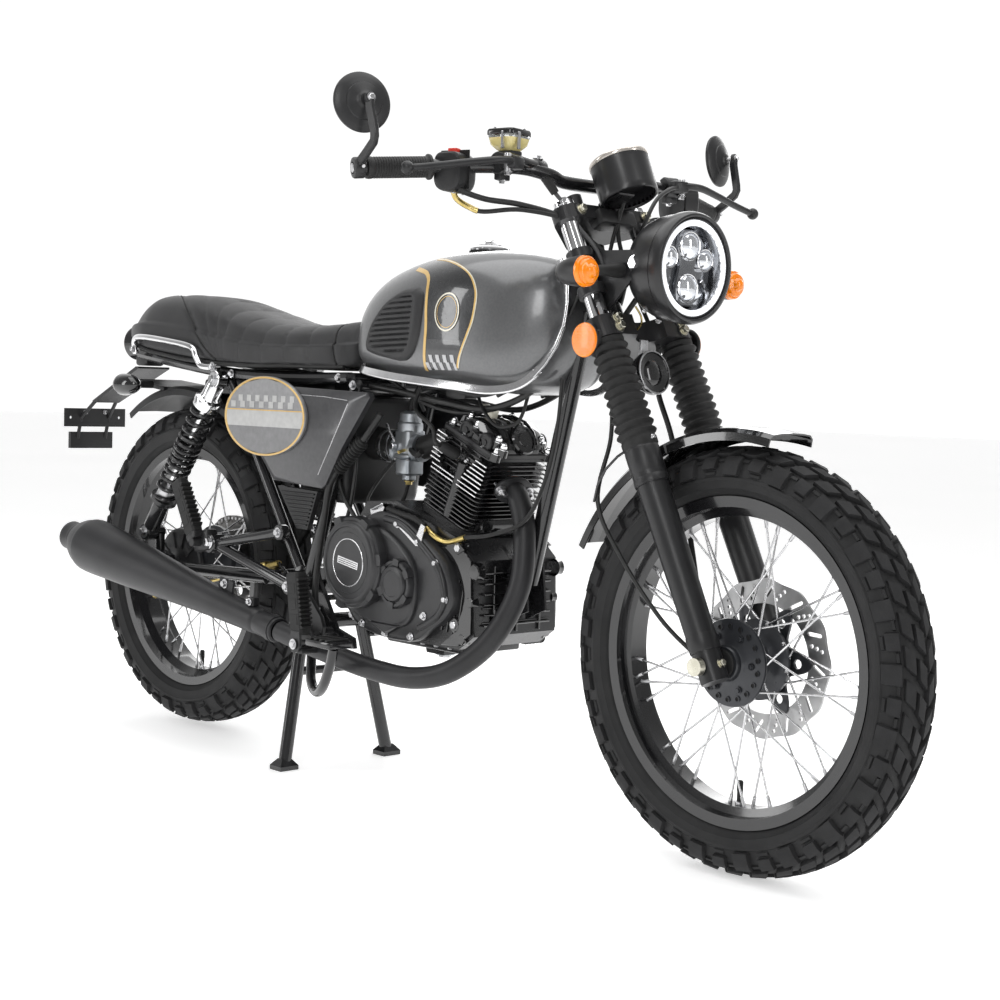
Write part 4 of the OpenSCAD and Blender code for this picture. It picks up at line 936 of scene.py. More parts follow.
# ------------------------------------------------------------ side panels with their oval plates
def side_panels():
    b = B()
    outer = [(300, 690), (466, 694), (672, 688), (678, 680), (603, 590), (560, 524), (548, 517), (404, 524), (330, 600)]
    for s in (-1, 1):
        mx = Matrix.Translation(P(0, s * 124, 0)) @ Matrix.Rotation(rad(90), 4, "X")
        if s < 0:
            mx = Matrix.Translation(P(0, -112, 0)) @ Matrix.Rotation(rad(90), 4, "X")
        # body: outer skin bulges in facets
        o = [Vector(p) for p in outer]
        ctr = Vector((500, 610))
        lv = [(o, 112), (o, 123), ([ctr.lerp(p, 0.975) for p in o], 125)]
        cr = [Vector(p) for p in [(330, 676), (466, 682), (628, 674), (634, 669), (584, 594), (545, 536), (538, 531), (420, 536), (352, 602)]]
        lv.append((cr, 131))
        rings = [[P(p.x, s * y, p.y) for p in pl] for pl, y in lv]
        b.rings(rings, "panel", smooth=False)
        # bright crease line: thin steel wires along the edges of the raised face, a painted highlight where the creases
        # catch light
        b.tube([P(628, s * 131.2, 668), P(586, s * 131.2, 601), P(548, s * 131.2, 541)], 0.0008, "steel", 6)
        b.tube([P(462, s * 131.0, 681), P(560, s * 131.0, 678.5), P(626, s * 131.0, 673.5)], 0.0007, "steel", 6)
        # ribbed lower corner
        tri = [(408, 514), (528, 510), (500, 440), (468, 440)]
        b.rings([[P(x, s * y, z) for x, z in tri] for y in (106, 116)], "plastic", smooth=False)
        for i in range(9):
            z = 504 - i * 7
            t = (512 - z) / 72
            xa, xb = 412 + t * 56 + 3, 526 - t * 26 - 3
            b.box(Matrix.Translation(P((xa + xb) / 2, s * 117, z)), (xb - xa) * MM, 0.004, 0.003, "plastic", 0.0008)
    b.done("side_panels_faceted", "chassis", ("side_panels",), sharp=25)
    b = B()
    for s in (-1, 1):
        c = (389, 639)
        A, C, n = 126.0, 73.0, 120

        def ov(k, y, m=None, a0=0, a1=360):
            return [P(c[0] + A * k * math.cos(rad(a)), s * y, c[1] + C * k * math.sin(rad(a))) for a in [a0 + (a1 - a0) * i / n for i in range(n)]]
        R = [ov(0.97, 130), ov(1.0, 131.5), ov(1.0, 136), ov(0.985, 137.6)]
        b.rings(R, "plate_lo", cap0=True, cap1=False)
        b.rings([ov(0.985, 137.6), ov(0.972, 138.2), ov(0.945, 138.2), ov(0.935, 137.2)], "gold", False, False)

        def band(z0, z1, y, m, k=0.935, cols=None):
            """A strip of the oval between two heights; the strips lean with the panel."""
            def hw(z):
                t = (z - c[1]) / (C * k)
                return A * k * math.sqrt(max(0.0, 1 - t * t))
            rows = 8
            g = []
            for i in range(rows + 1):
                z = z0 + (z1 - z0) * i / rows
                w = hw(z)
                g.append([(c[0] - w + 2 * w * j / 30, z) for j in range(31)])
            v = [P(x, s * y, z) for r in g for x, z in r]
            f = [(i * 31 + j, i * 31 + j + 1, (i + 1) * 31 + j + 1, (i + 1) * 31 + j) for i in range(rows) for j in range(30)]
            b.add(v, f, m)
            return hw
        hw = band(651, 639 + 68, 137.2, "plate")
        band(649, 651, 137.5, "gold")
        band(620, 649, 137.2, "plate_hi")
        band(571, 620, 137.2, "plate_lo")
        for row, z0 in enumerate((654, 665.5)):
            k = 0
            w = min(hw(z0), hw(z0 + 11.5)) - 5
            nsq = 14
            sz = 2 * w / nsq
            for i in range(nsq):
                if (i + row) % 2 == 0:
                    x0 = c[0] - w + i * sz
                    v = [P(x0, s * 137.6, z0), P(x0 + sz, s * 137.6, z0), P(x0 + sz, s * 137.6, z0 + 11.5), P(x0, s * 137.6, z0 + 11.5)]
                    b.add(v, [(0, 1, 2, 3)], "plate_hi", False)
    b.done("oval_plates", "chassis", sharp=40)


side_panels()


# ------------------------------------------------------------ engine
BORE = Matrix.Translation(P(811, 0, 470)) @ Matrix.Rotation(rad(22), 4, "Y")


def T(x, y, z):
    return Matrix.Translation((x * MM, y * MM, z * MM))


def rrect(hx, hy, r, n=5):
    out = []
    for cx, cy, a0 in ((hx - r, hy - r, 0), (-hx + r, hy - r, 90), (-hx + r, -hy + r, 180), (hx - r, -hy + r, 270)):
        for i in range(n + 1):
            a = rad(a0 + 90 * i / n)
            out.append(((cx + r * math.cos(a)) * MM, (cy + r * math.sin(a)) * MM))
    return out


def barrel_head():
    b = B()
    b.lathe(BORE, [(0.0463, 0.014), (0.0463, 0.118)], "fin", 48)
    b.prism(BORE @ T(0, 0, 14), rrect(58, 58, 12), 0.008, "fin", None, 0.0012)
    for i in range(10):
        w = 68 if i > 1 else 62
        b.prism(BORE @ T(1, 0, 20 + i * 7.6), rrect(w, 75, 12, 3), 0.0022, "fin", "fin", 0.0004)
        if i > 7:
            for s in (-1, 1):
                b.box(BORE @ T(1, s * 75.1, 21.1 + i * 7.6), 0.122, 0.0006, 0.0019, "edge", 0.0002)
    # stud columns that tie the fins together on both sides
    for s in (-1, 1):
        b.rod(BORE @ Vector((0.006, s * 0.066, 0.022)), BORE @ Vector((0.006, s * 0.066, 0.118)), 0.0105, "fin", 16)
        b.rod(BORE @ Vector((-0.05, s * 0.05, 0.02)), BORE @ Vector((-0.05, s * 0.05, 0.118)), 0.008, "fin", 12)
        b.rod(BORE @ Vector((0.05, s * 0.05, 0.02)), BORE @ Vector((0.05, s * 0.05, 0.118)), 0.008, "fin", 12)
    b.done("barrel_fins", "chassis", ("cylinder_barrel",), sharp=30)
    b = B()
    b.prism(BORE @ T(0, 0, 96), rrect(54, 58, 14), 0.060, "fin", None, 0.001)
    for i in range(7):
        z = 98 + i * 7.8
        b.prism(BORE @ T(0, 0, z), rrect(66 - (4 if i > 5 else 0), 66, 12, 3), 0.0024, "fin", "fin", 0.0004)
        # the side fins stop on both sides of the plug's recess
        for s in (-1, 1):
            f0 = 18 + i * 4.2
            for x0, x1 in ((-67, -40 - (i % 2) * 3), (f0 if i < 6 else 70, 69)):
                if x1 - x0 < 6:
                    continue
                b.box(BORE @ T((x0 + x1) / 2, s * 69.5, z + 1.2), (x1 - x0) * MM, 0.014, 0.0024, "fin", 0.0003)
                b.box(BORE @ T((x0 + x1) / 2, s * 76.6, z + 1.2), (x1 - x0 - 1) * MM, 0.0007, 0.0022, "edge", 0.0002)
    b.prism(BORE @ T(0, 0, 152), rrect(68, 68, 8, 3), 0.0085, "satin", None, 0.0014)
    b.prism(BORE @ T(0, 0, 145), rrect(64, 64, 8, 3), 0.008, "satin", None, 0.001)
    # rocker cover with a rounded hump along the machine
    L = []
    for y, k in ((-56, 0.72), (-54, 0.86), (-46, 0.95), (-30, 1.0), (30, 1.0), (46, 0.95), (54, 0.86), (56, 0.72)):
        L.append([BORE @ Vector((x * k * MM, y * MM, (160 + (z - 160) * k) * MM)) for x, z in ((-52, 160), (-50, 172), (-36, 186), (-10, 195), (20, 198), (44, 190), (60, 174), (64, 160))])
    b.rings(L, "gloss")
    for y in (-30, -10, 10, 30):
        b.tube([BORE @ Vector((x * MM, y * MM, z * MM)) for x, z in ((-50, 173), (-36, 186.5), (-10, 195.5), (20, 198.5), (44, 190.5), (60, 175))], 0.0022, "gloss", 8)
    # a round inspection cap at the front, and the cam end covers
    for x, sg in ((56, 1),):
        mx = BORE @ T(x * 0.9, 0, 178) @ Matrix.Rotation(rad(sg * 48), 4, "Y")
        b.lathe(mx, [(0.026, -0.004), (0.026, 0.008), (0.0235, 0.0105), (0.021, 0.0105), (0.0205, 0.008), (0.012, 0.008), (0.011, 0.0095), (0.0001, 0.0095)], "gloss", 40)
    for s in (-1, 1):
        for cx, cz in ((-16, 168), (34, 168)):
            m2 = BORE @ T(cx, s * 54, cz) @ Matrix.Rotation(rad(-90 * s), 4, "X")
            b.lathe(m2, [(0.0165, 0.0), (0.0165, 0.009), (0.0145, 0.011), (0.012, 0.011), (0.0115, 0.0095), (0.006, 0.0095), (0.0055, 0.011), (0.0001, 0.011)], "satin", 28)
        mx = BORE @ T(8, s * 54, 148) @ Matrix.Rotation(rad(-90 * s), 4, "X")
        b.lathe(mx, [(0.030, 0.0), (0.030, 0.007), (0.0275, 0.0095), (0.024, 0.0095), (0.0235, 0.0075), (0.010, 0.0075), (0.009, 0.009), (0.0001, 0.009)], "gloss", 40)
        for a in (20, 160, 270):
            c = mx @ Vector((0.0265 * math.cos(rad(a)), 0.0265 * math.sin(rad(a)), 0.0085))
            b.bolt(c, mx.to_3x3() @ Vector((0, 0, 1)), 0.0034, "steel", 0.004)
    d = BORE.to_3x3() @ Vector((0, 0, 1))
    for x, y, z in ((-58, -54, 161), (62, -58, 160.5), (-58, 54, 161), (62, 58, 160.5), (-30, -46, 183), (48, -48, 176), (-30, 46, 183), (48, 48, 176), (-4, -52, 180), (66, -50, 170)):
        c = BORE @ Vector((x * MM, y * MM, z * MM))
        b.lathe(lookmx(c, d), [(0.0105, -0.012), (0.0105, 0.0), (0.0001, 0.0001)], "gloss", 16)
        b.bolt(c, d, 0.0062, "chrome", 0.006)
        b.ball(c + d * 0.0072, 0.0045, "chrome", 10, 6)
    # spark plug and its cap on the left
    d = (BORE.to_3x3() @ Vector((-0.35, -1, 0.42))).normalized()
    p = BORE @ Vector((-0.004, -0.056, 0.118))
    b.rod(p, p + d * 0.02, 0.0085, "steel", 6)
    b.tube([p + d * 0.018, p + d * 0.022, p + d * 0.05, p + d * 0.056], [0.008, 0.0105, 0.0095, 0.006], "rubber", 14)
    q = p + d * 0.054
    w = [q, q + d * 0.012, q + Vector((-0.02, -0.004, 0.03)), P(752, -84, 664), P(748, -70, 700)]
    b.tube([v for v in spline([tuple(x) for x in w], 5)], 0.0035, "cable", 10)
    # inlet stub
    b.tube([P(800, -10, 622), P(770, -11, 615), P(735, -13, 606), P(700, -17, 595)], [0.025, 0.022, 0.0205, 0.021], "rubber", 24)
    b.done("head_and_rocker_cover", "chassis", ("cylinder_head",), sharp=30)


barrel_head()


def smooth_outline(pts, n=8):
    return [(q[0], q[1]) for q in spline([(a, c, 0) for a, c in pts + pts[:1]], n)[:-1]]


def side_cover(b, s, outline, y0, y1, m, bev=4.0):
    """A cast cover on side s between y0 and y1 (both positive)."""
    o = [Vector(p) for p in smooth_outline(outline)]
    c = sum(o, Vector((0, 0))) / len(o)
    L = [(1.0, y0), (1.0, y1 - bev), (0.985, y1 - bev * 0.35), (0.955, y1), (0.9, y1 + 0.3)]
    R = [[P((c + (p - c) * k).x, s * y, (c + (p - c) * k).y) for p in o] for k, y in L]
    b.rings(R, m, cap0=False)
    return c


def engine():
    b = B()
    OUT = [(597, 350), (628, 296), (690, 275), (790, 274), (838, 300), (882, 330), (893, 366), (868, 416), (815, 452), (756, 480), (690, 486), (624, 452), (598, 404)]
    side_cover(b, -1, OUT, 90, 112, "cover", 6)
    side_cover(b, -1, [(612, 350), (640, 308), (700, 296), (766, 296), (796, 316), (806, 360), (796, 408), (744, 448), (694, 460), (632, 438), (612, 398)], 111, 119, "cover", 5)
    # a raised rib that frames the front of the cover
    rib = [(716, 476), (762, 468), (814, 438), (858, 402), (874, 360), (858, 326), (812, 300)]
    b.tube([P(x, -112.5, z) for x, z in [(q[0], q[1]) for q in spline([(a, c, 0) for a, c in rib], 6)]], 0.006, "cover", 12)
    mx = Matrix.Translation(P(652, -112, 396)) @ Matrix.Rotation(rad(90), 4, "X")
    b.lathe(mx, [(0.080, 0.0), (0.0795, 0.018), (0.0775, 0.022), (0.0735, 0.0235), (0.0715, 0.0275), (0.0695, 0.0295), (0.064, 0.0308), (0.0625, 0.0306), (0.0612, 0.0285), (0.0530, 0.0285), (0.0523, 0.0294), (0.0418, 0.0294)],
            ["cover"] * 11, 96)
    b.lathe(mx, [(0.0418, 0.0294), (0.0414, 0.0299), (0.0403, 0.0299), (0.0399, 0.0294)], "edge", 96)
    b.lathe(mx, [(0.0399, 0.0292), (0.03, 0.0294), (0.0001, 0.0295)], "cover", 64)
    # blank bar on the cap
    b.box(mx @ Matrix.Rotation(rad(-9), 4, "Z") @ T(0, 0, 29.9), 0.056, 0.013, 0.0012, "edge", 0.0004)
    for k in range(3):
        b.box(mx @ Matrix.Rotation(rad(-9), 4, "Z") @ T(0, (k - 1) * 3.4, 30.6), 0.052, 0.0009, 0.0006, "seamline", 0.0001)
    # lugs round the clutch case
    for a0 in (62, 118, 200, 250, 318, 8):
        lv = []
        for z in (0.0, 0.0238, 0.0262):
            k = 1.0 if z < 0.024 else 0.9
            lv.append([mx @ Vector((r * math.cos(rad(a0 + da * k)), r * math.sin(rad(a0 + da * k)), z)) for r, da in ((0.070, -9), (0.0835, -7), (0.0842, 0), (0.0835, 7), (0.070, 9))])
        b.rings(lv, "cover", smooth=False)
    # small round cap in front of it
    mx = Matrix.Translation(P(762, -112, 370)) @ Matrix.Rotation(rad(90), 4, "X")
    b.lathe(mx, [(0.041, 0.0), (0.0405, 0.015), (0.0385, 0.0185), (0.034, 0.0185), (0.0335, 0.0165), (0.031, 0.0165), (0.0300, 0.0205), (0.0285, 0.0225), (0.0225, 0.0235), (0.0215, 0.0222), (0.0001, 0.0225)], "cover", 56)
    for a0 in (30, 80, 140, 205, 262, 320):
        lv = []
        for z in (0.0, 0.0182, 0.0200):
            lv.append([mx @ Vector((r * math.cos(rad(a0 + da)), r * math.sin(rad(a0 + da)), z)) for r, da in ((0.032, -13), (0.0425, -10), (0.0428, 0), (0.0425, 10), (0.032, 13))])
        b.rings(lv, "cover", smooth=False)
    for x, z, y in ((749, 469, 113), (804, 443, 113), (850, 412, 113), (876, 354, 113), (823, 321, 113), (791, 283, 113), (724, 281, 113), (661, 291, 113), (604, 326, 113), (608, 420, 113), (660, 470, 113)):
        b.bolt(P(x, -y, z), (0, -1, 0), 0.0046, "steel", 0.0052)
    # raised gusset under the caps
    b.rings([[P(x, -y, z) for x, z in poly] for poly, y in (([(690, 300), (770, 300), (730, 262 + 18)], 118), ([(696, 297), (764, 297), (730, 284)], 122))], "cover", smooth=False)
    # left side covers
    side_cover(b, 1, [(604, 352), (640, 300), (700, 286), (800, 282), (880, 292), (912, 330), (904, 392), (850, 436), (760, 446), (670, 452), (612, 424)], 90, 108, "cover", 6)
    mx = Matrix.Translation(P(806, 108, 362)) @ Matrix.Rotation(rad(-90), 4, "X")
    b.lathe(mx, [(0.072, -0.002), (0.0715, 0.010), (0.069, 0.013), (0.060, 0.015), (0.058, 0.0145), (0.056, 0.0185), (0.053, 0.0205), (0.030, 0.0212), (0.029, 0.0195), (0.0001, 0.0197)], "cover", 72)
    mx = Matrix.Translation(P(668, 108, 378)) @ Matrix.Rotation(rad(-90), 4, "X")
    b.lathe(mx, [(0.053, -0.002), (0.0525, 0.007), (0.050, 0.0098), (0.036, 0.0105), (0.035, 0.0085), (0.0001, 0.0087)], "cover", 56)
    for x, z in ((640, 308), (700, 294), (790, 290), (876, 300), (902, 344), (894, 398), (846, 428), (760, 438), (676, 444), (620, 418), (612, 360)):
        b.bolt(P(x, 108.4, z), (0, 1, 0), 0.0044, "steel", 0.005)
    b.done("engine_side_covers", "chassis", ("engine_covers",), sharp=32)
    # crankcase dressing: case joint, ribs, mounting bolts, sump plug, starter
    b = B()
    prof = [(594, 312), (630, 281), (700, 273), (888, 275), (922, 298), (917, 420), (884, 449), (722, 501), (642, 496), (600, 440)]
    o = [Vector(p) for p in prof]
    c = sum(o, Vector((0, 0))) / len(o)
    b.rings([[P((c + (p - c) * 1.018).x, y, (c + (p - c) * 1.018).y) for p in o] for y in (-12, -9.5, -6.5, -4)], "block", smooth=False)
    for y in (-70, -50, -30, 20, 44, 68):
        b.box(Matrix.Translation(P(790, y, 272.5)), 0.17, 0.0035, 0.009, "block", 0.0012)
    for k in range(4):
        b.box(Matrix.Translation(P(922.5, 0, 318 + 24 * k)) @ Matrix.Rotation(rad(2), 4, "Y"), 0.007, 0.15, 0.004, "block", 0.0012)
    mx = Matrix.Translation(P(868, 0, 474)) @ Matrix.Rotation(rad(90), 4, "X") @ T(0, 0, -52)
    b.lathe(mx, [(0.0001, -0.002), (0.021, 0.0), (0.023, 0.003), (0.023, 0.094), (0.021, 0.099), (0.016, 0.1), (0.0155, 0.104), (0.0001, 0.104)], "gloss", 36)
    b.rod(P(868, -20, 497), P(868, -20, 506), 0.004, "steel", 8)
    for x, z, y in ((926, 403, 88), (881, 312, 93), (886, 439, 93), (948, 430, 26), (952, 356, 26), (612, 300, 93), (610, 452, 93)):
        b.bolt(P(x, -y, z), (0, -1, 0), 0.0068, "steel", 0.007)
        b.bolt(P(x, y, z), (0, 1, 0), 0.0068, "steel", 0.007)
    b.bolt(P(768, -15, 247), (0, 0, -1), 0.011, "steel", 0.008)
    b.lathe(Matrix.Translation(P(768, -15, 243)), [(0.017, 0), (0.017, 0.012), (0.02, 0.014)], "cast", 24)
    # bright cable bracket and its gold cable end on top of the cover
    pl = [(0, 0), (30, 4), (36, 16), (28, 20), (10, 12), (-2, 10)]
    b.rings([[P(664 + x, -y, 478 + z * 1.0) for x, z in pl] for y in (100, 103)], "edge", smooth=False)
    b.box(Matrix.Translation(P(686, -98, 494)) @ Matrix.Rotation(rad(-22), 4, "Y"), 0.032, 0.022, 0.003, "edge", 0.001)
    pl2 = [(744, 470), (752, 476), (800, 452), (812, 474), (822, 470), (812, 440), (800, 436)]
    b.rings([[P(x, -y, z) for x, z in pl2] for y in (112, 115)], "edge", smooth=False)
    g = S([(814, -104, 468), (824, -102, 459), (844, -101, 450), (868, -100, 448), (903, -98, 458)], 6)
    b.tube(g, 0.0048, "goldzinc", 12)
    b.tube(S([(903, -98, 458), (950, -80, 466), (994, -50, 492), (1022, -34, 560), (1040, -30, 640), (1052, -34, 720)], 8), 0.0036, "cable", 10)
    b.tube(S([(812, -106, 470), (786, -106, 480), (744, -104, 486), (706, -100, 492)], 6), [0.0045 + 0.0012 * (i % 2) for i in range(19)], "rubber", 12)
    b.done("engine_dressing", "chassis", sharp=30)


engine()


def carb():
    b = B()
    o = Matrix.Translation(P(662, -18, 592))
    b.lathe(o @ Matrix.Rotation(rad(86), 4, "Y"), [(0.0001, -0.034), (0.0245, -0.034), (0.0245, -0.026), (0.021, -0.024), (0.0205, 0.02), (0.024, 0.022), (0.024, 0.034), (0.0001, 0.034)], "cast", 40)
    b.prism(o @ T(0, 0, -2), rrect(20, 21, 8), 0.034, "cast", None, 0.002)
    b.lathe(o, [(0.0215, 0.030), (0.0225, 0.036), (0.0225, 0.044), (0.020, 0.047), (0.0185, 0.061), (0.0165, 0.0635), (0.008, 0.0665), (0.0001, 0.067)], "cast", 36)
    b.tube([o @ Vector((0, 0, 0.064)), o @ Vector((0.002, 0, 0.082)), o @ Vector((0.016, 0.004, 0.11))], [0.006, 0.005, 0.0035], "rubber", 12)
    b.prism(o @ T(0, 0, -16), rrect(22, 23, 7), 0.006, "cast", None, 0.0012)
    b.prism(o @ T(0, 0, -46), rrect(18.5, 19.5, 7), 0.030, "cast", None, 0.003)
    b.prism(o @ T(0, 0, -56), rrect(10, 10, 5), 0.011, "cast", None, 0.002)
    b.bolt(o @ Vector((0, 0, -0.056)), (0, 0, -1), 0.006, "goldzinc", 0.006)
    for x, y in ((-18, -19), (18, -19), (-18, 19), (18, 19)):
        b.bolt(o @ Vector((x * MM, y * MM, -0.016)), (0, 0, -1), 0.0026, "steel", 0.003, False)
    # choke lever, idle screw and a brass jet
    b.tube(S([(650, -42, 604), (642, -48, 622), (634, -48, 634)], 4), 0.002, "steel", 8)
    b.rod(P(648, -40, 596), P(648, -50, 596), 0.006, "steel", 14, 0.001)
    b.rod(P(672, -38, 590), P(672, -52, 586), 0.003, "goldzinc", 8)
    b.tube(S([(690, -38, 592), (706, -48, 588), (730, -56, 584), (744, -60, 590)], 5), 0.005, "rubber", 10)
    b.tube(S([(662, -18, 530), (660, -30, 500), (650, -60, 470), (640, -80, 455)], 5), 0.0035, "cable", 8)
    b.tube(S([(640, -34, 570), (625, -52, 540), (622, -76, 505), (628, -84, 480)], 5), 0.003, "cable", 8)
    b.tube([P(634, -18, 594), P(628, -18, 594), P(600, -18, 596), P(570, -18, 598)], [0.026, 0.028, 0.0275, 0.03], "rubber", 28)
    for x in (628, 608):
        b.lathe(Matrix.Translation(P(x, -18, 595)) @ Matrix.Rotation(rad(90), 4, "Y"), [(0.028, -0.004), (0.0296, -0.0035), (0.0296, 0.0035), (0.028, 0.004)], "steel", 32)
    b.done("carburettor_detail", "chassis", ("carburettor",), sharp=32)
    # airbox and battery tray that fill the frame triangle
    b = B()
    b.box(Matrix.Translation(P(498, 0, 585)), 0.14, 0.17, 0.19, "plastic", 0.012, 3)
    b.box(Matrix.Translation(P(420, 10, 600)), 0.10, 0.17, 0.17, "plastic", 0.01, 3)
    for k in range(5):
        b.box(Matrix.Translation(P(498, -86, 510 + 26 * k)), 0.12, 0.004, 0.006, "plastic", 0.001)
    b.box(Matrix.Translation(P(300, 0, 690)), 0.42, 0.14, 0.03, "plastic", 0.008, 2)
    b.tube(S([(560, -60, 640), (520, -92, 640), (470, -98, 660), (400, -98, 690)], 6), 0.005, "cable", 10)
    b.tube(S([(600, -30, 690), (560, -70, 670), (540, -86, 600), (560, -90, 520), (600, -88, 470)], 6), 0.004, "cable", 10)
    b.done("airbox_and_tray", "chassis", sharp=32)


carb()


def exhaust():
    b = B()
    path = S([(926, -20, 540), (950, -25, 522), (978, -36, 470), (988, -54, 380), (958, -84, 296), (896, -112, 240), (822, -130, 219), (730, -140, 221), (610, -148, 236), (480, -155, 258)], 10)
    b.tube(path, 0.0183, "exhaust", 36, up=(0, 1, 0.2))
    # flange, copper gasket and two plated nuts at the port
    d0 = (path[2] - path[0]).normalized()
    mx = lookmx(path[0] + d0 * 0.004, d0, (0, 1, 0))
    fl = [((0.036 * math.cos(a) + 0.0), (0.025 * math.sin(a))) for a in [2 * math.pi * i / 28 for i in range(28)]]
    b.prism(mx, fl, 0.008, "exhaust", None, 0.0012)
    b.lathe(mx @ T(0, 0, -5), [(0.0195, 0), (0.0225, 0.0012), (0.0225, 0.0038), (0.0195, 0.005)], "copper", 32)
    for s in (-1, 1):
        c = mx @ Vector((s * 0.0275, 0, 0.008))
        b.rod(c - d0 * 0.02, c + d0 * 0.016, 0.0034, "steel", 10)
        b.bolt(c, d0, 0.0068, "steel", 0.008)
    b.done("header_pipe", "chassis", ("exhaust_pipe",), sharp=50)
    b = B()
    a, e = P(476, -155, 258.5), P(-212, -182, 376)
    d = (e - a).normalized()
    mx = lookmx(a, d, (0, 0, 1))
    L = (e - a).length
    pr = [(18.6, 0), (22.2, 1.5), (22.8, 4), (22.8, 52), (22.2, 54), (22.2, 56), (23.2, 58), (24.0, 66), (25.4, 104), (28.2, 170), (32.4, 250), (38.4, 340), (43.8, 420), (47.2, 470), (50, 520), (52.4, 560), (53.6, 584), (54, 600), (53.8, 612), (53.0, 618),
          (51.6, 620.5), (51.2, 622.5), (50.2, 626), (47.6, 636), (43, 647), (37.8, 656), (34.6, 661), (33.4, 664), (33.2, 668), (31.6, 671), (30.6, 676), (29.4, 690), (29.4, 698), (28.2, 699.5), (25.6, 699), (25.0, 690), (24.6, 650), (0.1, 640)]
    b.lathe(mx, [(r * MM, z * MM) for r, z in pr], ["exhaust"] * (len(pr) - 5) + ["seamline"] * 4, 96)
    # clamp with its bolt, and the hanger to the footrest plate
    b.lathe(mx @ T(0, 0, 14), [(0.0226, -0.007), (0.0244, -0.0065), (0.0244, 0.0065), (0.0226, 0.007)], "exhaust", 48)
    c = mx @ Vector((0.0, 0.0, 0.078))
    b.box(Matrix.Translation(c + Vector((0, 0, 0.031))), 0.02, 0.014, 0.016, "exhaust", 0.002, 2)
    b.bolt(c + Vector((0, -0.008, 0.031)), (0, -1, 0), 0.0045, "steel", 0.005)
    c2 = mx @ Vector((0.022, 0, 0.170))
    b.box(Matrix.Translation(c2 + Vector((0.0, 0.004, 0.010))) @ Matrix.Rotation(rad(10), 4, "Y"), 0.045, 0.006, 0.034, "exhaust", 0.002, 2)
    b.bolt(c2 + Vector((0, 0.0, 0.018)), (0, -1, 0), 0.006, "steel", 0.006)
    b.done("silencer_cone", "chassis", ("silencer",), sharp=40)


exhaust()


# ------------------------------------------------------------ rear suspension, chain, rear brake
def shocks():
    b = B()
    for s in (-1, 1):
        a, e = P(-21, s * 118, 396), P(213, s * 118, 704)
        d = (e - a).normalized()
        L = (e - a).length
        mx = lookmx(a, d, (0, s, 0))
        for z, m in ((0.0, "spring"), (L, "chrome")):
            c = a + d * z
            ey = lookmx(c - Vector((0, 0.0115, 0)), (0, 1, 0))
            b.lathe(ey, [(0.0085, 0), (0.0155, 0), (0.0168, 0.0015), (0.0168, 0.0215), (0.0155, 0.023), (0.0085, 0.023)], m, 32)
            b.lathe(lookmx(c + Vector((0, s * 0.0112, 0)), (0, s, 0)), [(0.0001, 0.0), (0.0085, 0), (0.0125, 0.0002), (0.0125, 0.0018), (0.0072, 0.002)], "steel", 24)
            b.bolt(c + Vector((0, s * 0.0118, 0)), (0, s, 0), 0.0078, "chrome", 0.007)
        b.lathe(mx, [(0.0001, 0.012), (0.0145, 0.013), (0.0165, 0.018), (0.0165, 0.074), (0.0225, 0.080), (0.0268, 0.084), (0.0268, 0.092), (0.019, 0.093), (0.017, 0.12), (0.0001, 0.121)], ["spring"] * 6 + ["steel"] * 3, 40)
        b.rod(a + d * 0.11, a + d * (L - 0.03), 0.0058, "chrome", 20)
        z0 = L - 0.066
        b.lathe(mx, [(0.010, z0), (0.0268, z0 + 0.001), (0.0274, z0 + 0.004), (0.0274, z0 + 0.016), (0.0262, z0 + 0.0195), (0.0200, z0 + 0.0225), (0.0182, z0 + 0.028), (0.0172, z0 + 0.052), (0.0150, z0 + 0.056), (0.0001, z0 + 0.057)], "chrome", 48)
        # dual rate coil
        turns, n = 12.5, 330
        za, zb = 0.0955, L - 0.0685
        pts = []
        for i in range(n + 1):
            t = i / n
            w = turns * 2 * math.pi * t
            u = t + 0.055 * math.sin(2 * math.pi * t)
            pts.append(mx @ Vector((0.0224 * math.cos(w), 0.0224 * math.sin(w), za + (zb - za) * u)))
        b.tube(pts, 0.0042, "spring", 9)
    b.done("shock_absorbers", "chassis", ("rear_shocks",), sharp=34)


shocks()


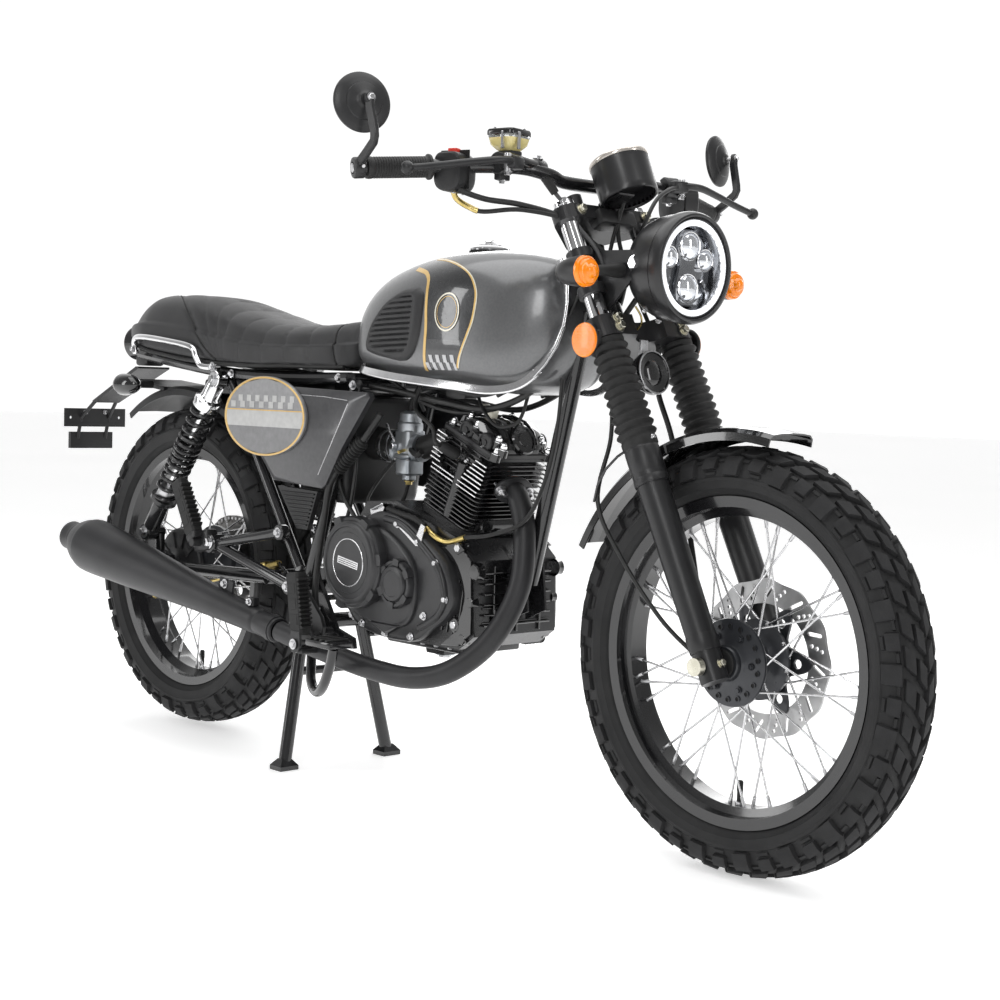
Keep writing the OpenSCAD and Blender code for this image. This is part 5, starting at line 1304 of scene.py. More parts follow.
def chain():
    b = B()
    c0, r0 = Vector((0.0, 328.0)), 92.0
    c1, r1 = Vector((612.0, 372.0)), 34.0
    d = c1 - c0
    D = d.length
    base = math.atan2(d.y, d.x)
    al = math.acos((r0 - r1) / D)
    pts = []
    def arc(c, r, a0, a1, n):
        for i in range(n + 1):
            a = a0 + (a1 - a0) * i / n
            pts.append(Vector((c.x + r * math.cos(a), c.y + r * math.sin(a))))
    arc(c0, r0, base + al, base - al + 2 * math.pi, 60)
    arc(c1, r1, base - al, base + al, 24)
    pts.append(pts[0])
    L = [0.0]
    for i in range(1, len(pts)):
        L.append(L[-1] + (pts[i] - pts[i - 1]).length)
    N = int(round(L[-1] / 12.7 / 2)) * 2
    def at(s):
        s %= L[-1]
        i = max(1, next(j for j in range(1, len(L)) if L[j] >= s - 1e-9))
        return pts[i - 1].lerp(pts[i], (s - L[i - 1]) / max(1e-9, L[i] - L[i - 1]))
    for k in range(N):
        p, q = at(L[-1] * k / N), at(L[-1] * (k + 1) / N)
        t = (q - p).normalized()
        nn = Vector((-t.y, t.x))
        y = 4.6 if k % 2 else 3.2
        loop = []
        for (c, sg) in ((q, 1), (p, -1)):
            for a in (-90, -45, 0, 45, 90):
                loop.append(c + (t * sg) * 5.4 * math.cos(rad(a)) + nn * sg * 5.4 * math.sin(rad(a)))
        mid = (p + q) / 2
        for sgn in (-1, 1):
            R = [[P(v.x, 70 + sgn * yy, v.y) for v in loop] for yy in (y - 0.65, y + 0.65)]
            b.rings(R, "chain", smooth=False)
        b.tube([P(p.x, 70 - 5.6, p.y), P(p.x, 70 + 5.6, p.y)], 0.0031, "steel", 8)
    b.done("roller_chain", "chassis", ("drive_chain",), sharp=35)


chain()


def rear_brake():
    b = B()
    mx = Matrix.Translation(RW) @ Matrix.Rotation(rad(90), 4, "X")
    b.lathe(mx, [(0.0082, 0.050), (0.074, 0.0502), (0.0745, 0.052), (0.0745, 0.0575), (0.072, 0.060), (0.050, 0.0625), (0.046, 0.0618), (0.030, 0.0625), (0.026, 0.064), (0.0185, 0.066), (0.018, 0.085), (0.0085, 0.0855)], "cover", 72)
    for i in range(10):
        a = rad(36 * i)
        c = RW + Vector((0.052 * math.cos(a), -0.0625, 0.052 * math.sin(a)))
        b.box(lookmx(c, (0, -1, 0), (math.cos(a), 0, math.sin(a))), 0.034, 0.0035, 0.004, "cover", 0.001)
    b.rod(P(-30, -60, 284), P(-30, -74, 284), 0.009, "steel", 18, 0.001)
    b.tube([P(-30, -72, 286), P(-42, -72, 274), P(-56, -69, 258)], [0.0075, 0.006, 0.006], "cover", 12)
    b.tube([P(-66, -68, 262), P(310, -68, 353)], 0.0034, "goldzinc", 12)
    b.box(Matrix.Translation(P(300, -68, 352)) @ Matrix.Rotation(rad(-14), 4, "Y"), 0.036, 0.014, 0.018, "goldzinc", 0.003, 2)
    b.rod(P(318, -68, 356), P(352, -68, 364), 0.0065, "goldzinc", 6)
    b.tube([P(352, -68, 364), P(500, -100, 300)], 0.0034, "frame", 10)
    b.rod(P(-74, -68, 260), P(-58, -68, 264), 0.0068, "goldzinc", 6)
    pts = []
    for i in range(90):
        w = 2 * math.pi * i / 9
        x = -48 + 30 * i / 90
        pts.append(P(x, -68 + 6.0 * math.cos(w), 266 + 0.242 * (x + 48) + 6.0 * math.sin(w)))
    b.tube(pts, 0.0009, "steel", 6)
    # return spring and pedal pivot
    pts = []
    for i in range(100):
        w = 2 * math.pi * i / 8
        pts.append(P(551 + 4.6 * math.cos(w), -124 + 4.6 * math.sin(w), 262 + 34 * i / 100))
    b.tube(pts, 0.0009, "steel", 6)
    b.tube([P(551, -124, 296), P(551, -122, 306)], 0.001, "steel", 6)
    b.done("rear_brake_detail", "chassis", ("rear_brake",), sharp=34)


rear_brake()


def rear_end():
    b = B()
    # tail lamp bowl, lens ring and lens
    mx = lookmx(P(-208, 0, 776), (-1, 0, 0), (0, 0, 1))
    b.lathe(mx, [(0.0001, 0.0), (0.012, 0.0004), (0.024, 0.004), (0.032, 0.012), (0.0355, 0.024), (0.0362, 0.050), (0.0368, 0.0515), (0.0368, 0.056), (0.035, 0.0575)], "gloss", 56)
    b.lathe(mx, [(0.035, 0.0572), (0.0335, 0.062), (0.028, 0.0655), (0.016, 0.0675), (0.0001, 0.068)], "red", 56)
    b.box(Matrix.Translation(P(-220, 0, 744)), 0.046, 0.044, 0.032, "plastic", 0.006, 2)
    b.box(Matrix.Translation(P(-206, 0, 756)) @ Matrix.Rotation(rad(10), 4, "Y"), 0.05, 0.03, 0.026, "plastic", 0.004, 2)
    for s in (-1, 1):
        b.tube(S([(-96, s * 71, 690), (-96, s * 90, 689.5), (-97, s * 104, 688.5)], 4), [0.0075, 0.0072, 0.0068, 0.0066, 0.0066, 0.0066, 0.0066, 0.007, 0.008], "rubber", 16)
        mx = lookmx(P(-138, s * 124, 688), (1, 0, 0), (0, 0, 1))
        b.lathe(mx, [(0.0001, -0.001), (0.010, 0.0), (0.0165, 0.005), (0.0205, 0.013), (0.0213, 0.019)], "smoke", 40)
        b.lathe(mx, [(0.0213, 0.019), (0.0222, 0.0195), (0.0222, 0.028), (0.0215, 0.036), (0.0190, 0.052), (0.0145, 0.064), (0.008, 0.0725), (0.0001, 0.0755)], "gloss", 40)
    # next: the plate reflector and two bolts above it, in a piece of their own
    b.done("tail_lamp_and_signals", "chassis", ("tail_lamps",), sharp=36)
    b = B()
    b.lathe(lookmx(P(-463.8, 0, 562), (-1, 0, 0), (0, 1, 0)), [(0.0001, 0)], "red", 8)
    b.box(Matrix.Translation(P(-464.6, 0, 562)), 0.003, 0.092, 0.026, "red", 0.0012, 2)
    for y in (-24, 24):
        b.bolt(P(-440, y, 632 - 8), (1, 0, 0), 0.0036, "steel", 0.004)
    b.done("plate_reflector", "chassis")
    b = B()
    # ribbed boot on the cable beside the right frame tube, and loom under the tank
    p0, p1 = P(640, -104, 606), P(574, -110, 548)
    d = (p1 - p0).normalized()
    pr = []
    n = 11
    for i in range(n):
        z = 0.004 + i * 0.0072
        pr += [(0.0092, z), (0.0128, z + 0.0024), (0.0128, z + 0.0040)]
    pr = [(0.005, 0.0), (0.0088, 0.002)] + pr + [(0.0088, 0.004 + n * 0.0072), (0.006, 0.009 + n * 0.0072)]
    b.lathe(lookmx(p0, d), pr, "rubber", 24)
    b.tube(S([(676, -96, 652), (660, -100, 630), (640, -104, 606)], 5), 0.0062, "cable", 12)
    b.tube(S([(576, -110, 550), (556, -112, 520), (546, -112, 470), (532, -112, 400), (520, -110, 330), (530, -110, 290)], 7), 0.0062, "cable", 12)
    for pts, r in (([(610, -70, 700), (700, -66, 690), (800, -60, 676), (900, -50, 668), (990, -40, 700), (1036, -34, 760)], 0.0058),
                   ([(640, -50, 712), (740, -48, 672), (850, -40, 660), (960, -30, 690), (1020, -26, 740)], 0.004),
                   ([(700, -20, 660), (720, -50, 690), (800, -70, 700), (900, -60, 690), (980, -44, 720)], 0.0034),
                   ([(640, 50, 700), (760, 52, 676), (880, 44, 668), (990, 36, 706), (1036, 30, 760)], 0.0052),
                   ([(860, -40, 690), (900, -60, 662), (930, -56, 640), (960, -40, 650), (970, -30, 690)], 0.003),
                   ([(560, -96, 690), (600, -90, 600), (588, -86, 500), (560, -84, 440)], 0.0036)):
        b.tube(S(pts, 8), r, "cable", 10)
    b.box(Matrix.Translation(P(880, -30, 664)) @ Matrix.Rotation(rad(20), 4, "Y"), 0.03, 0.014, 0.016, "pale", 0.002, 2)
    b.box(Matrix.Translation(P(820, -40, 694)), 0.05, 0.03, 0.022, "plastic", 0.003, 2)
    b.done("cables_under_tank", "chassis", sharp=40)
    b = B()
    for x, z, y in ((602, 700, 100), (502, 442, 100), (236, 715, 104), (560, 712, 100)):
        b.bolt(P(x, -y, z), (0, -1, 0), 0.0055, "steel", 0.005)
        b.bolt(P(x, y, z), (0, 1, 0), 0.0055, "steel", 0.005)
    b.done("pedal_rubbers_and_bolts", "chassis", sharp=30)
    b = B()
    # grab rail, smooth
    for s in (-1, 1):
        b.tube(S([(213, s * 120, 726), (166, s * 124, 728), (146, s * 124, 744), (126, s * 124, 764), (40, s * 123, 776), (-60, s * 118, 784), (-104, s * 108, 778), (-112, s * 101, 752)], 7), 0.0062, "chrome", 20)
        b.bolt(P(205, s * 127, 727), (0, s, 0), 0.006, "steel", 0.006)
        b.bolt(P(-108, s * 109, 760), (0, s, 0), 0.005, "steel", 0.005)
    b.done("grab_rail_smooth", "chassis", ("grab_rail",), sharp=50)


rear_end()


# ------------------------------------------------------------ fork, lamp, instrument
ST = "steering_assembly"


def strap(b, pts, w, t, m):
    """A flat bar along pts (metres) that lies in an XZ plane; w across, t along Y."""
    R = []
    pts = [Vector(p) for p in pts]
    for i, p in enumerate(pts):
        d = (pts[min(i + 1, len(pts) - 1)] - pts[max(i - 1, 0)]).normalized()
        n = d.cross(Vector((0, 1, 0))).normalized()
        y = n.cross(d).normalized()
        c = min(w, t) * 0.18
        R.append([p + n * a + y * e for a, e in ((w / 2, -t / 2 + c), (w / 2, t / 2 - c), (w / 2 - c, t / 2), (-w / 2 + c, t / 2), (-w / 2, t / 2 - c), (-w / 2, -t / 2 + c), (-w / 2 + c, -t / 2), (w / 2 - c, -t / 2))])
    b.rings(R, m, smooth=False)


def fork_parts():
    b = B()
    for s in (-1, 1):
        mx = FORK @ T(0, s * 78, 0)
        pr = [(0.0165, 0.338), (0.0262, 0.338), (0.0275, 0.341), (0.0275, 0.350), (0.0262, 0.353)]
        n = 11
        for i in range(n):
            z = 0.354 + i * 0.01405
            ro = 0.0312 - 0.00022 * i
            rv = ro - 0.0052
            pr += [(rv, z), (rv + 0.0006, z + 0.0022), (ro - 0.0010, z + 0.0052), (ro, z + 0.0070), (ro - 0.0010, z + 0.0088), (rv + 0.0006, z + 0.0118)]
        pr += [(0.0245, 0.508), (0.0255, 0.510), (0.0255, 0.514), (0.0165, 0.5145)]
        b.lathe(mx, pr, "rubber", 48)
        b.box(mx @ T(27.5, 0, 345.5), 0.006, 0.008, 0.007, "steel", 0.001)
    b.done("gaiters_folded", ST, ("fork_gaiters",), sharp=50)
    b = B()
    for s in (-1, 1):
        mx = FORK @ T(0, s * 78, 0)
        # collar rings, axle clamp, drain screw
        b.lathe(mx, [(0.0255, 0.281), (0.0268, 0.282), (0.0268, 0.290), (0.0258, 0.292), (0.0258, 0.298), (0.0266, 0.300), (0.0266, 0.334), (0.0258, 0.337), (0.0240, 0.339)], "satin", 48)
        b.lathe(mx, [(0.0222, 0.020), (0.0232, 0.022), (0.0236, 0.040), (0.0228, 0.046)], "satin", 40)
        b.bolt(FORK @ Vector((0.0195, s * 0.078, -0.004)), FORK.to_3x3() @ Vector((1, 0, 0)), 0.0052, "zinc", 0.006)
        b.bolt(FORK @ Vector((-0.0215, s * 0.078, 0.030)), FORK.to_3x3() @ Vector((-1, 0, 0)), 0.0040, "steel", 0.004)
        # fork cap, nut and the pinch bolts of both yokes
        b.lathe(mx, [(0.0001, 0.7535), (0.009, 0.7532), (0.0100, 0.7515), (0.0145, 0.751), (0.0162, 0.7495), (0.0166, 0.745)], "chrome", 40)
        b.prism(mx @ T(0, 0, 752), [(0.0085 * math.cos(rad(60 * k)), 0.0085 * math.sin(rad(60 * k))) for k in range(6)], 0.006, "chrome", None, 0.0008)
        for z, xo in ((527, 26), (541, 26), (727, 25)):
            c = FORK @ Vector((xo * MM, s * (0.078 - 0.006), z * MM))
            d = FORK.to_3x3() @ Vector((1, 0, 0))
            b.lathe(lookmx(c - d * 0.004, d), [(0.0105, -0.004), (0.0105, 0.004), (0.0085, 0.005), (0.0001, 0.005)], "satin", 18)
            b.bolt(c + d * 0.001, d, 0.0062, "zinc", 0.0075)
    c = FORK @ Vector((0.020, -0.030, 0.533))
    d = FORK.to_3x3() @ Vector((1, 0, 0))
    for y, z in ((-0.030, 0.533), (0.030, 0.533)):
        b.bolt(FORK @ Vector((0.000, y, z)), d, 0.0055, "steel", 0.006)
    b.lathe(FORK @ T(-50, 0, 0), [(0.0205, 0.738), (0.0205, 0.7465), (0.0185, 0.7492), (0.0120, 0.7496), (0.0110, 0.7470), (0.0001, 0.7470)], "chrome", 6)
    # fender bolts
    for s in (-1, 1):
        for z in (325, 333):
            b.bolt(FORK @ Vector((0.004, s * 0.0545, z * MM)), (0, -s, 0), 0.0036, "steel", 0.004)
    # horn between the legs, below the lower yoke
    h = lookmx(P(1206, 0, 731), FORK.to_3x3() @ Vector((1, 0, -0.25)), (0, 1, 0))
    b.lathe(h, [(0.0001, -0.016), (0.020, -0.016), (0.030, -0.010), (0.034, 0.0), (0.0352, 0.006), (0.0345, 0.010), (0.031, 0.0115), (0.030, 0.010), (0.020, 0.008), (0.018, 0.0095), (0.008, 0.0110), (0.0001, 0.0112)], "gloss", 48)
    b.lathe(h, [(0.0345, 0.0102), (0.0340, 0.0117), (0.0318, 0.0120)], "steel", 48)
    b.box(Matrix.Translation(P(1192, 0, 758)), 0.006, 0.016, 0.05, "steel", 0.001)
    b.done("fork_fittings", ST, sharp=32)


def headlamp():
    b = B()
    HL = Matrix.Translation(P(1190, 0, 893)) @ Matrix.Rotation(rad(92), 4, "Y")
    b.lathe(HL, [(0.0001, 0.0135), (0.018, 0.0136), (0.036, 0.0142), (0.050, 0.0158), (0.060, 0.0195), (0.0675, 0.0255), (0.0725, 0.0330), (0.0765, 0.0425), (0.0795, 0.0550), (0.0812, 0.0680), (0.0815, 0.0795)], "bowl", 96)
    b.lathe(HL, [(0.0815, 0.0795), (0.0806, 0.0800), (0.0806, 0.0812), (0.0828, 0.0817), (0.0842, 0.0835), (0.0845, 0.0880), (0.0842, 0.0950), (0.0830, 0.0995), (0.0810, 0.1030), (0.0785, 0.1042), (0.0765, 0.1035), (0.0756, 0.1010), (0.0750, 0.0990), (0.0742, 0.0985),
                 (0.0735, 0.1000), (0.0726, 0.1004), (0.0718, 0.0990)], "bowl", 96)
    b.lathe(HL, [(0.0718, 0.0990), (0.0712, 0.1003), (0.0690, 0.1012), (0.0655, 0.1010), (0.0632, 0.0998), (0.0625, 0.0970)], "white", 96)
    b.lathe(HL, [(0.0625, 0.0970), (0.0610, 0.0930), (0.0590, 0.0850), (0.0570, 0.0790), (0.0001, 0.0770)], "reflector", 64)
    # faceted bridge between the projectors
    b.prism(HL @ T(0, 0, 78), [(-0.057, -0.014), (-0.05, -0.020), (-0.028, -0.023), (0.0, -0.016), (0.028, -0.023), (0.050, -0.020), (0.057, -0.014), (0.057, 0.014), (0.050, 0.020), (0.028, 0.023), (0.0, 0.016), (-0.028, 0.023), (-0.05, 0.020), (-0.057, 0.014)], 0.009, "reflector", None, 0.002)
    for cx, cy, r, z in ((-33, 0, 20.5, 86), (30, 0, 20.5, 86), (-14, -40, 16.0, 82), (-14, 40, 16.0, 82)):
        m2 = HL @ T(cx, cy, z)
        r = r * MM
        b.lathe(m2, [(r + 0.0012, -0.006), (r + 0.0016, 0.003), (r + 0.0006, 0.0045), (r - 0.0006, 0.0042), (r - 0.0010, 0.002)], "chrome", 40)
        b.lathe(m2, [(r - 0.0010, 0.002), (r * 0.92, 0.0045), (r * 0.75, 0.0078), (r * 0.5, 0.0102), (r * 0.25, 0.0113), (0.0001, 0.0116)], "lens", 40)
    for k in (-1, 1):
        for j in (-1, 1):
            b.box(HL @ T(j * 26, k * 44, 82) @ Matrix.Rotation(rad(40 * j * k), 4, "Z"), 0.026, 0.008, 0.006, "reflector", 0.0015)
    # seam screw, cable gland below
    b.bolt(HL @ Vector((0.080, -0.020, 0.052)), HL.to_3x3() @ Vector((1, -0.25, 0)), 0.0034, "steel", 0.003)
    b.bolt(HL @ Vector((0.066, -0.040, 0.040)), HL.to_3x3() @ Vector((0.9, -0.6, -0.2)), 0.0034, "steel", 0.003)
    # bracket plates with their bolts and the rings that hold the fork tubes
    for s in (-1, 1):
        pl = [(1112, 917), (1196, 915), (1226, 914), (1240, 910), (1250, 902), (1253, 892), (1250, 882), (1241, 875), (1228, 868), (1178, 826), (1164, 818), (1156, 826), (1140, 872), (1110, 896)]
        hole = None
        def yo(x):
            return 58.5 + max(0.0, (x - 1150)) * 0.15
        L = []
        n = len(pl)
        cx = sum(p[0] for p in pl) / n
        cz = sum(p[1] for p in pl) / n
        for dy, k in ((-2.2, 1.0), (-1.6, 1.004), (1.6, 1.004), (2.2, 1.0)):
            L.append([P(cx + (x - cx) * k, s * (yo(x) + dy), cz + (z - cz) * k) for x, z in pl])
        b.rings(L, "satin", smooth=False)
        c = P(1238, s * (yo(1238) + 2.2), 893)
        b.lathe(lookmx(c, (0, s, 0)), [(0.0132, -0.0003), (0.0132, 0.0012), (0.0001, 0.0014)], "steel", 28)
        b.bolt(c + Vector((0, s * 0.0012, 0)), (0, s, 0), 0.0085, "chrome", 0.0065)
        b.rod(c, P(1238, s * 60, 893), 0.007, "steel", 14)
        for z in (590, 650):
            mx = FORK @ T(0, s * 78, z)
            b.lathe(mx, [(0.0160, 0.0), (0.0205, 0.0), (0.0212, 0.0012), (0.0212, 0.0148), (0.0205, 0.016), (0.0160, 0.016)], "satin", 40)
            b.box(mx @ T(2, -s * 22.5, 8), 0.030, 0.012, 0.0155, "satin", 0.0015)
        # stalk boss
        b.rod(P(1206, s * 60, 884), P(1206, s * 72, 884), 0.0105, "satin", 20, 0.001)
    b.done("headlamp", ST, ("headlight",), sharp=30)


def signals():
    b = B()
    for s in (-1, 1):
        # pointed body, ringed lens; the amber lens carries a painted glow
        mx = lookmx(P(1198, s * 165, 876), (1, -s * 0.0, 0.0), (0, 0, 1))
        b.lathe(mx, [(0.0001, -0.030), (0.006, -0.0290), (0.0115, -0.0255), (0.0160, -0.0185), (0.0195, -0.0090), (0.0218, 0.004), (0.0230, 0.016), (0.0232, 0.0240)], "satin", 48)
        b.lathe(mx, [(0.0232, 0.0242), (0.0226, 0.0250), (0.0226, 0.0290), (0.0222, 0.0310), (0.0208, 0.0322), (0.0196, 0.0320), (0.0188, 0.0335), (0.0186, 0.0355), (0.0172, 0.0372), (0.0160, 0.0374), (0.0135, 0.0385), (0.0110, 0.0392), (0.0098, 0.0412), (0.0085, 0.0440), (0.0055, 0.0460), (0.0001, 0.0466)], "amber", 48)
        b.tube([P(1206, s * 74, 884), P(1206, s * 84, 883.6), P(1205, s * 104, 882), P(1203, s * 130, 880), P(1201, s * 148, 878)], [0.0125, 0.0115, 0.0088, 0.0072, 0.0085], "rubber", 20)
        # round side reflectors with cross ribs, black cup inside; their amber face and ribs carry a painted glow
        m2 = lookmx(P(1180, s * 112, 778), (0, s, 0), (0, 0, 1))
        b.lathe(m2, [(0.0001, -0.0005), (0.0245, -0.0005), (0.0262, 0.001), (0.0268, 0.0035), (0.0262, 0.0052)], "plastic", 48)
        b.lathe(m2, [(0.0262, 0.0052), (0.0255, 0.0066), (0.0240, 0.0070), (0.0001, 0.0071)], "amber", 48)
        for k in range(-10, 11):
            x = k * 2.3
            h = math.sqrt(max(0.0, 24.0 ** 2 - x * x))
            if h > 3:
                b.box(m2 @ T(x, 0, 7.1), 0.0013, 2 * h * MM, 0.0007, "amber", 0.0002)
        b.rod(P(1186, s * 100, 782), P(1186, s * 113, 782), 0.008, "satin", 16)
        b.box(Matrix.Translation(P(1190, s * 101, 782)), 0.018, 0.008, 0.024, "satin", 0.002)
    b.done("front_signal_lamps", ST, ("front_signals",), sharp=34)


def clock():
    b = B()
    I = Matrix.Translation(P(1150, 0, 1006)) @ Matrix.Rotation(rad(-24), 4, "Y")
    b.lathe(I, [(0.0001, 0.016), (0.030, 0.0155), (0.0385, 0.012), (0.0405, 0.004), (0.0412, -0.0035)], "dial", 64)
    b.lathe(I, [(0.0412, -0.0035), (0.0420, -0.0062), (0.0440, -0.0072), (0.0455, -0.0060), (0.0465, -0.0020), (0.0462, 0.0040), (0.0466, 0.0450), (0.0470, 0.0515), (0.0472, 0.0528)], "bowl", 96)
    b.lathe(I, [(0.0472, 0.0528), (0.0478, 0.0540), (0.0480, 0.0560), (0.0480, 0.0585), (0.0472, 0.0600), (0.0445, 0.0604), (0.0425, 0.0598), (0.0418, 0.0575)], "bezel", 96)
    b.lathe(I, [(0.0418, 0.0572), (0.0001, 0.0570)], "dial", 64)
    for k in range(25):
        a = rad(-30 + 240 * k / 24)
        L = 0.0065 if k % 2 == 0 else 0.0038
        b.box(I @ Matrix.Rotation(a, 4, "Z") @ T(0, 36.5 - L * 500, 57.4), 0.0009, L, 0.0004, "pale", 0.0)
    b.box(I @ Matrix.Rotation(rad(70), 4, "Z") @ T(0, 13, 58.2), 0.0014, 0.034, 0.0007, "redsw", 0.0002)
    b.lathe(I @ T(0, 0, 57.4), [(0.0052, 0), (0.0050, 0.0018), (0.0038, 0.0024), (0.0001, 0.0025)], "gloss", 24)
    b.box(I @ T(-18, 0, 57.3), 0.011, 0.026, 0.0005, "plate_hi", 0.0001)
    b.rod(P(1100, 0, 986), P(1144, 0, 1003), 0.008, "satin", 16)
    b.box(Matrix.Translation(P(1124, 0, 1000)) @ Matrix.Rotation(rad(-22), 4, "Y"), 0.05, 0.036, 0.006, "satin", 0.002)
    b.bolt(I @ Vector((-0.008, -0.018, 0.014)), I.to_3x3() @ Vector((0, 0, -1)), 0.0036, "steel", 0.004)
    # warning lamp block between the clock and the lamp
    b.box(Matrix.Translation(P(1118, 0, 968)) @ Matrix.Rotation(rad(-26), 4, "Y"), 0.03, 0.08, 0.026, "plastic", 0.005, 2)
    b.done("instrument_clock", ST, ("instrument",), sharp=34)


# ------------------------------------------------------------ bars and controls
def bars():
    b = B()
    half = [(1068, 0, 1024), (1068, 60, 1025), (1072, 96, 1032), (1066, 150, 1038), (1044, 220, 1035), (1006, 320, 1026), (979, 390, 1019)]
    full = [(x, -y, z) for x, y, z in half[::-1]] + half[1:]
    b.tube(S(full, 8), 0.0110, "frame", 24, up=(0, 0, 1))
    b.done("handlebar_tube", ST, ("handlebar",), sharp=60)
    b = B()
    d0 = (P(981, 384, 1019.4) - P(1016, 290, 1028))
    for s in (-1, 1):
        p, q = P(1016, s * 290, 1028), P(981, s * 384, 1019.4)
        mx = lookmx(p, q - p, (0, 0, 1))
        L = (q - p).length
        pr = [(0.0112, -0.0005), (0.0185, 0.0), (0.0192, 0.0015), (0.0192, 0.0040), (0.0162, 0.0058)]
        for k in range(20):
            z = 0.008 + k * (L - 0.018) / 20
            pr += [(0.0152, z), (0.0160, z + 0.0007), (0.0160, z + 0.0026), (0.0152, z + 0.0033)]
        pr += [(0.0163, L - 0.008), (0.0166, L - 0.004), (0.0160, L), (0.0112, L)]
        b.lathe(mx, pr, "grip", 40)
    b.done("grips_ribbed", ST, ("hand_grips",), sharp=40)


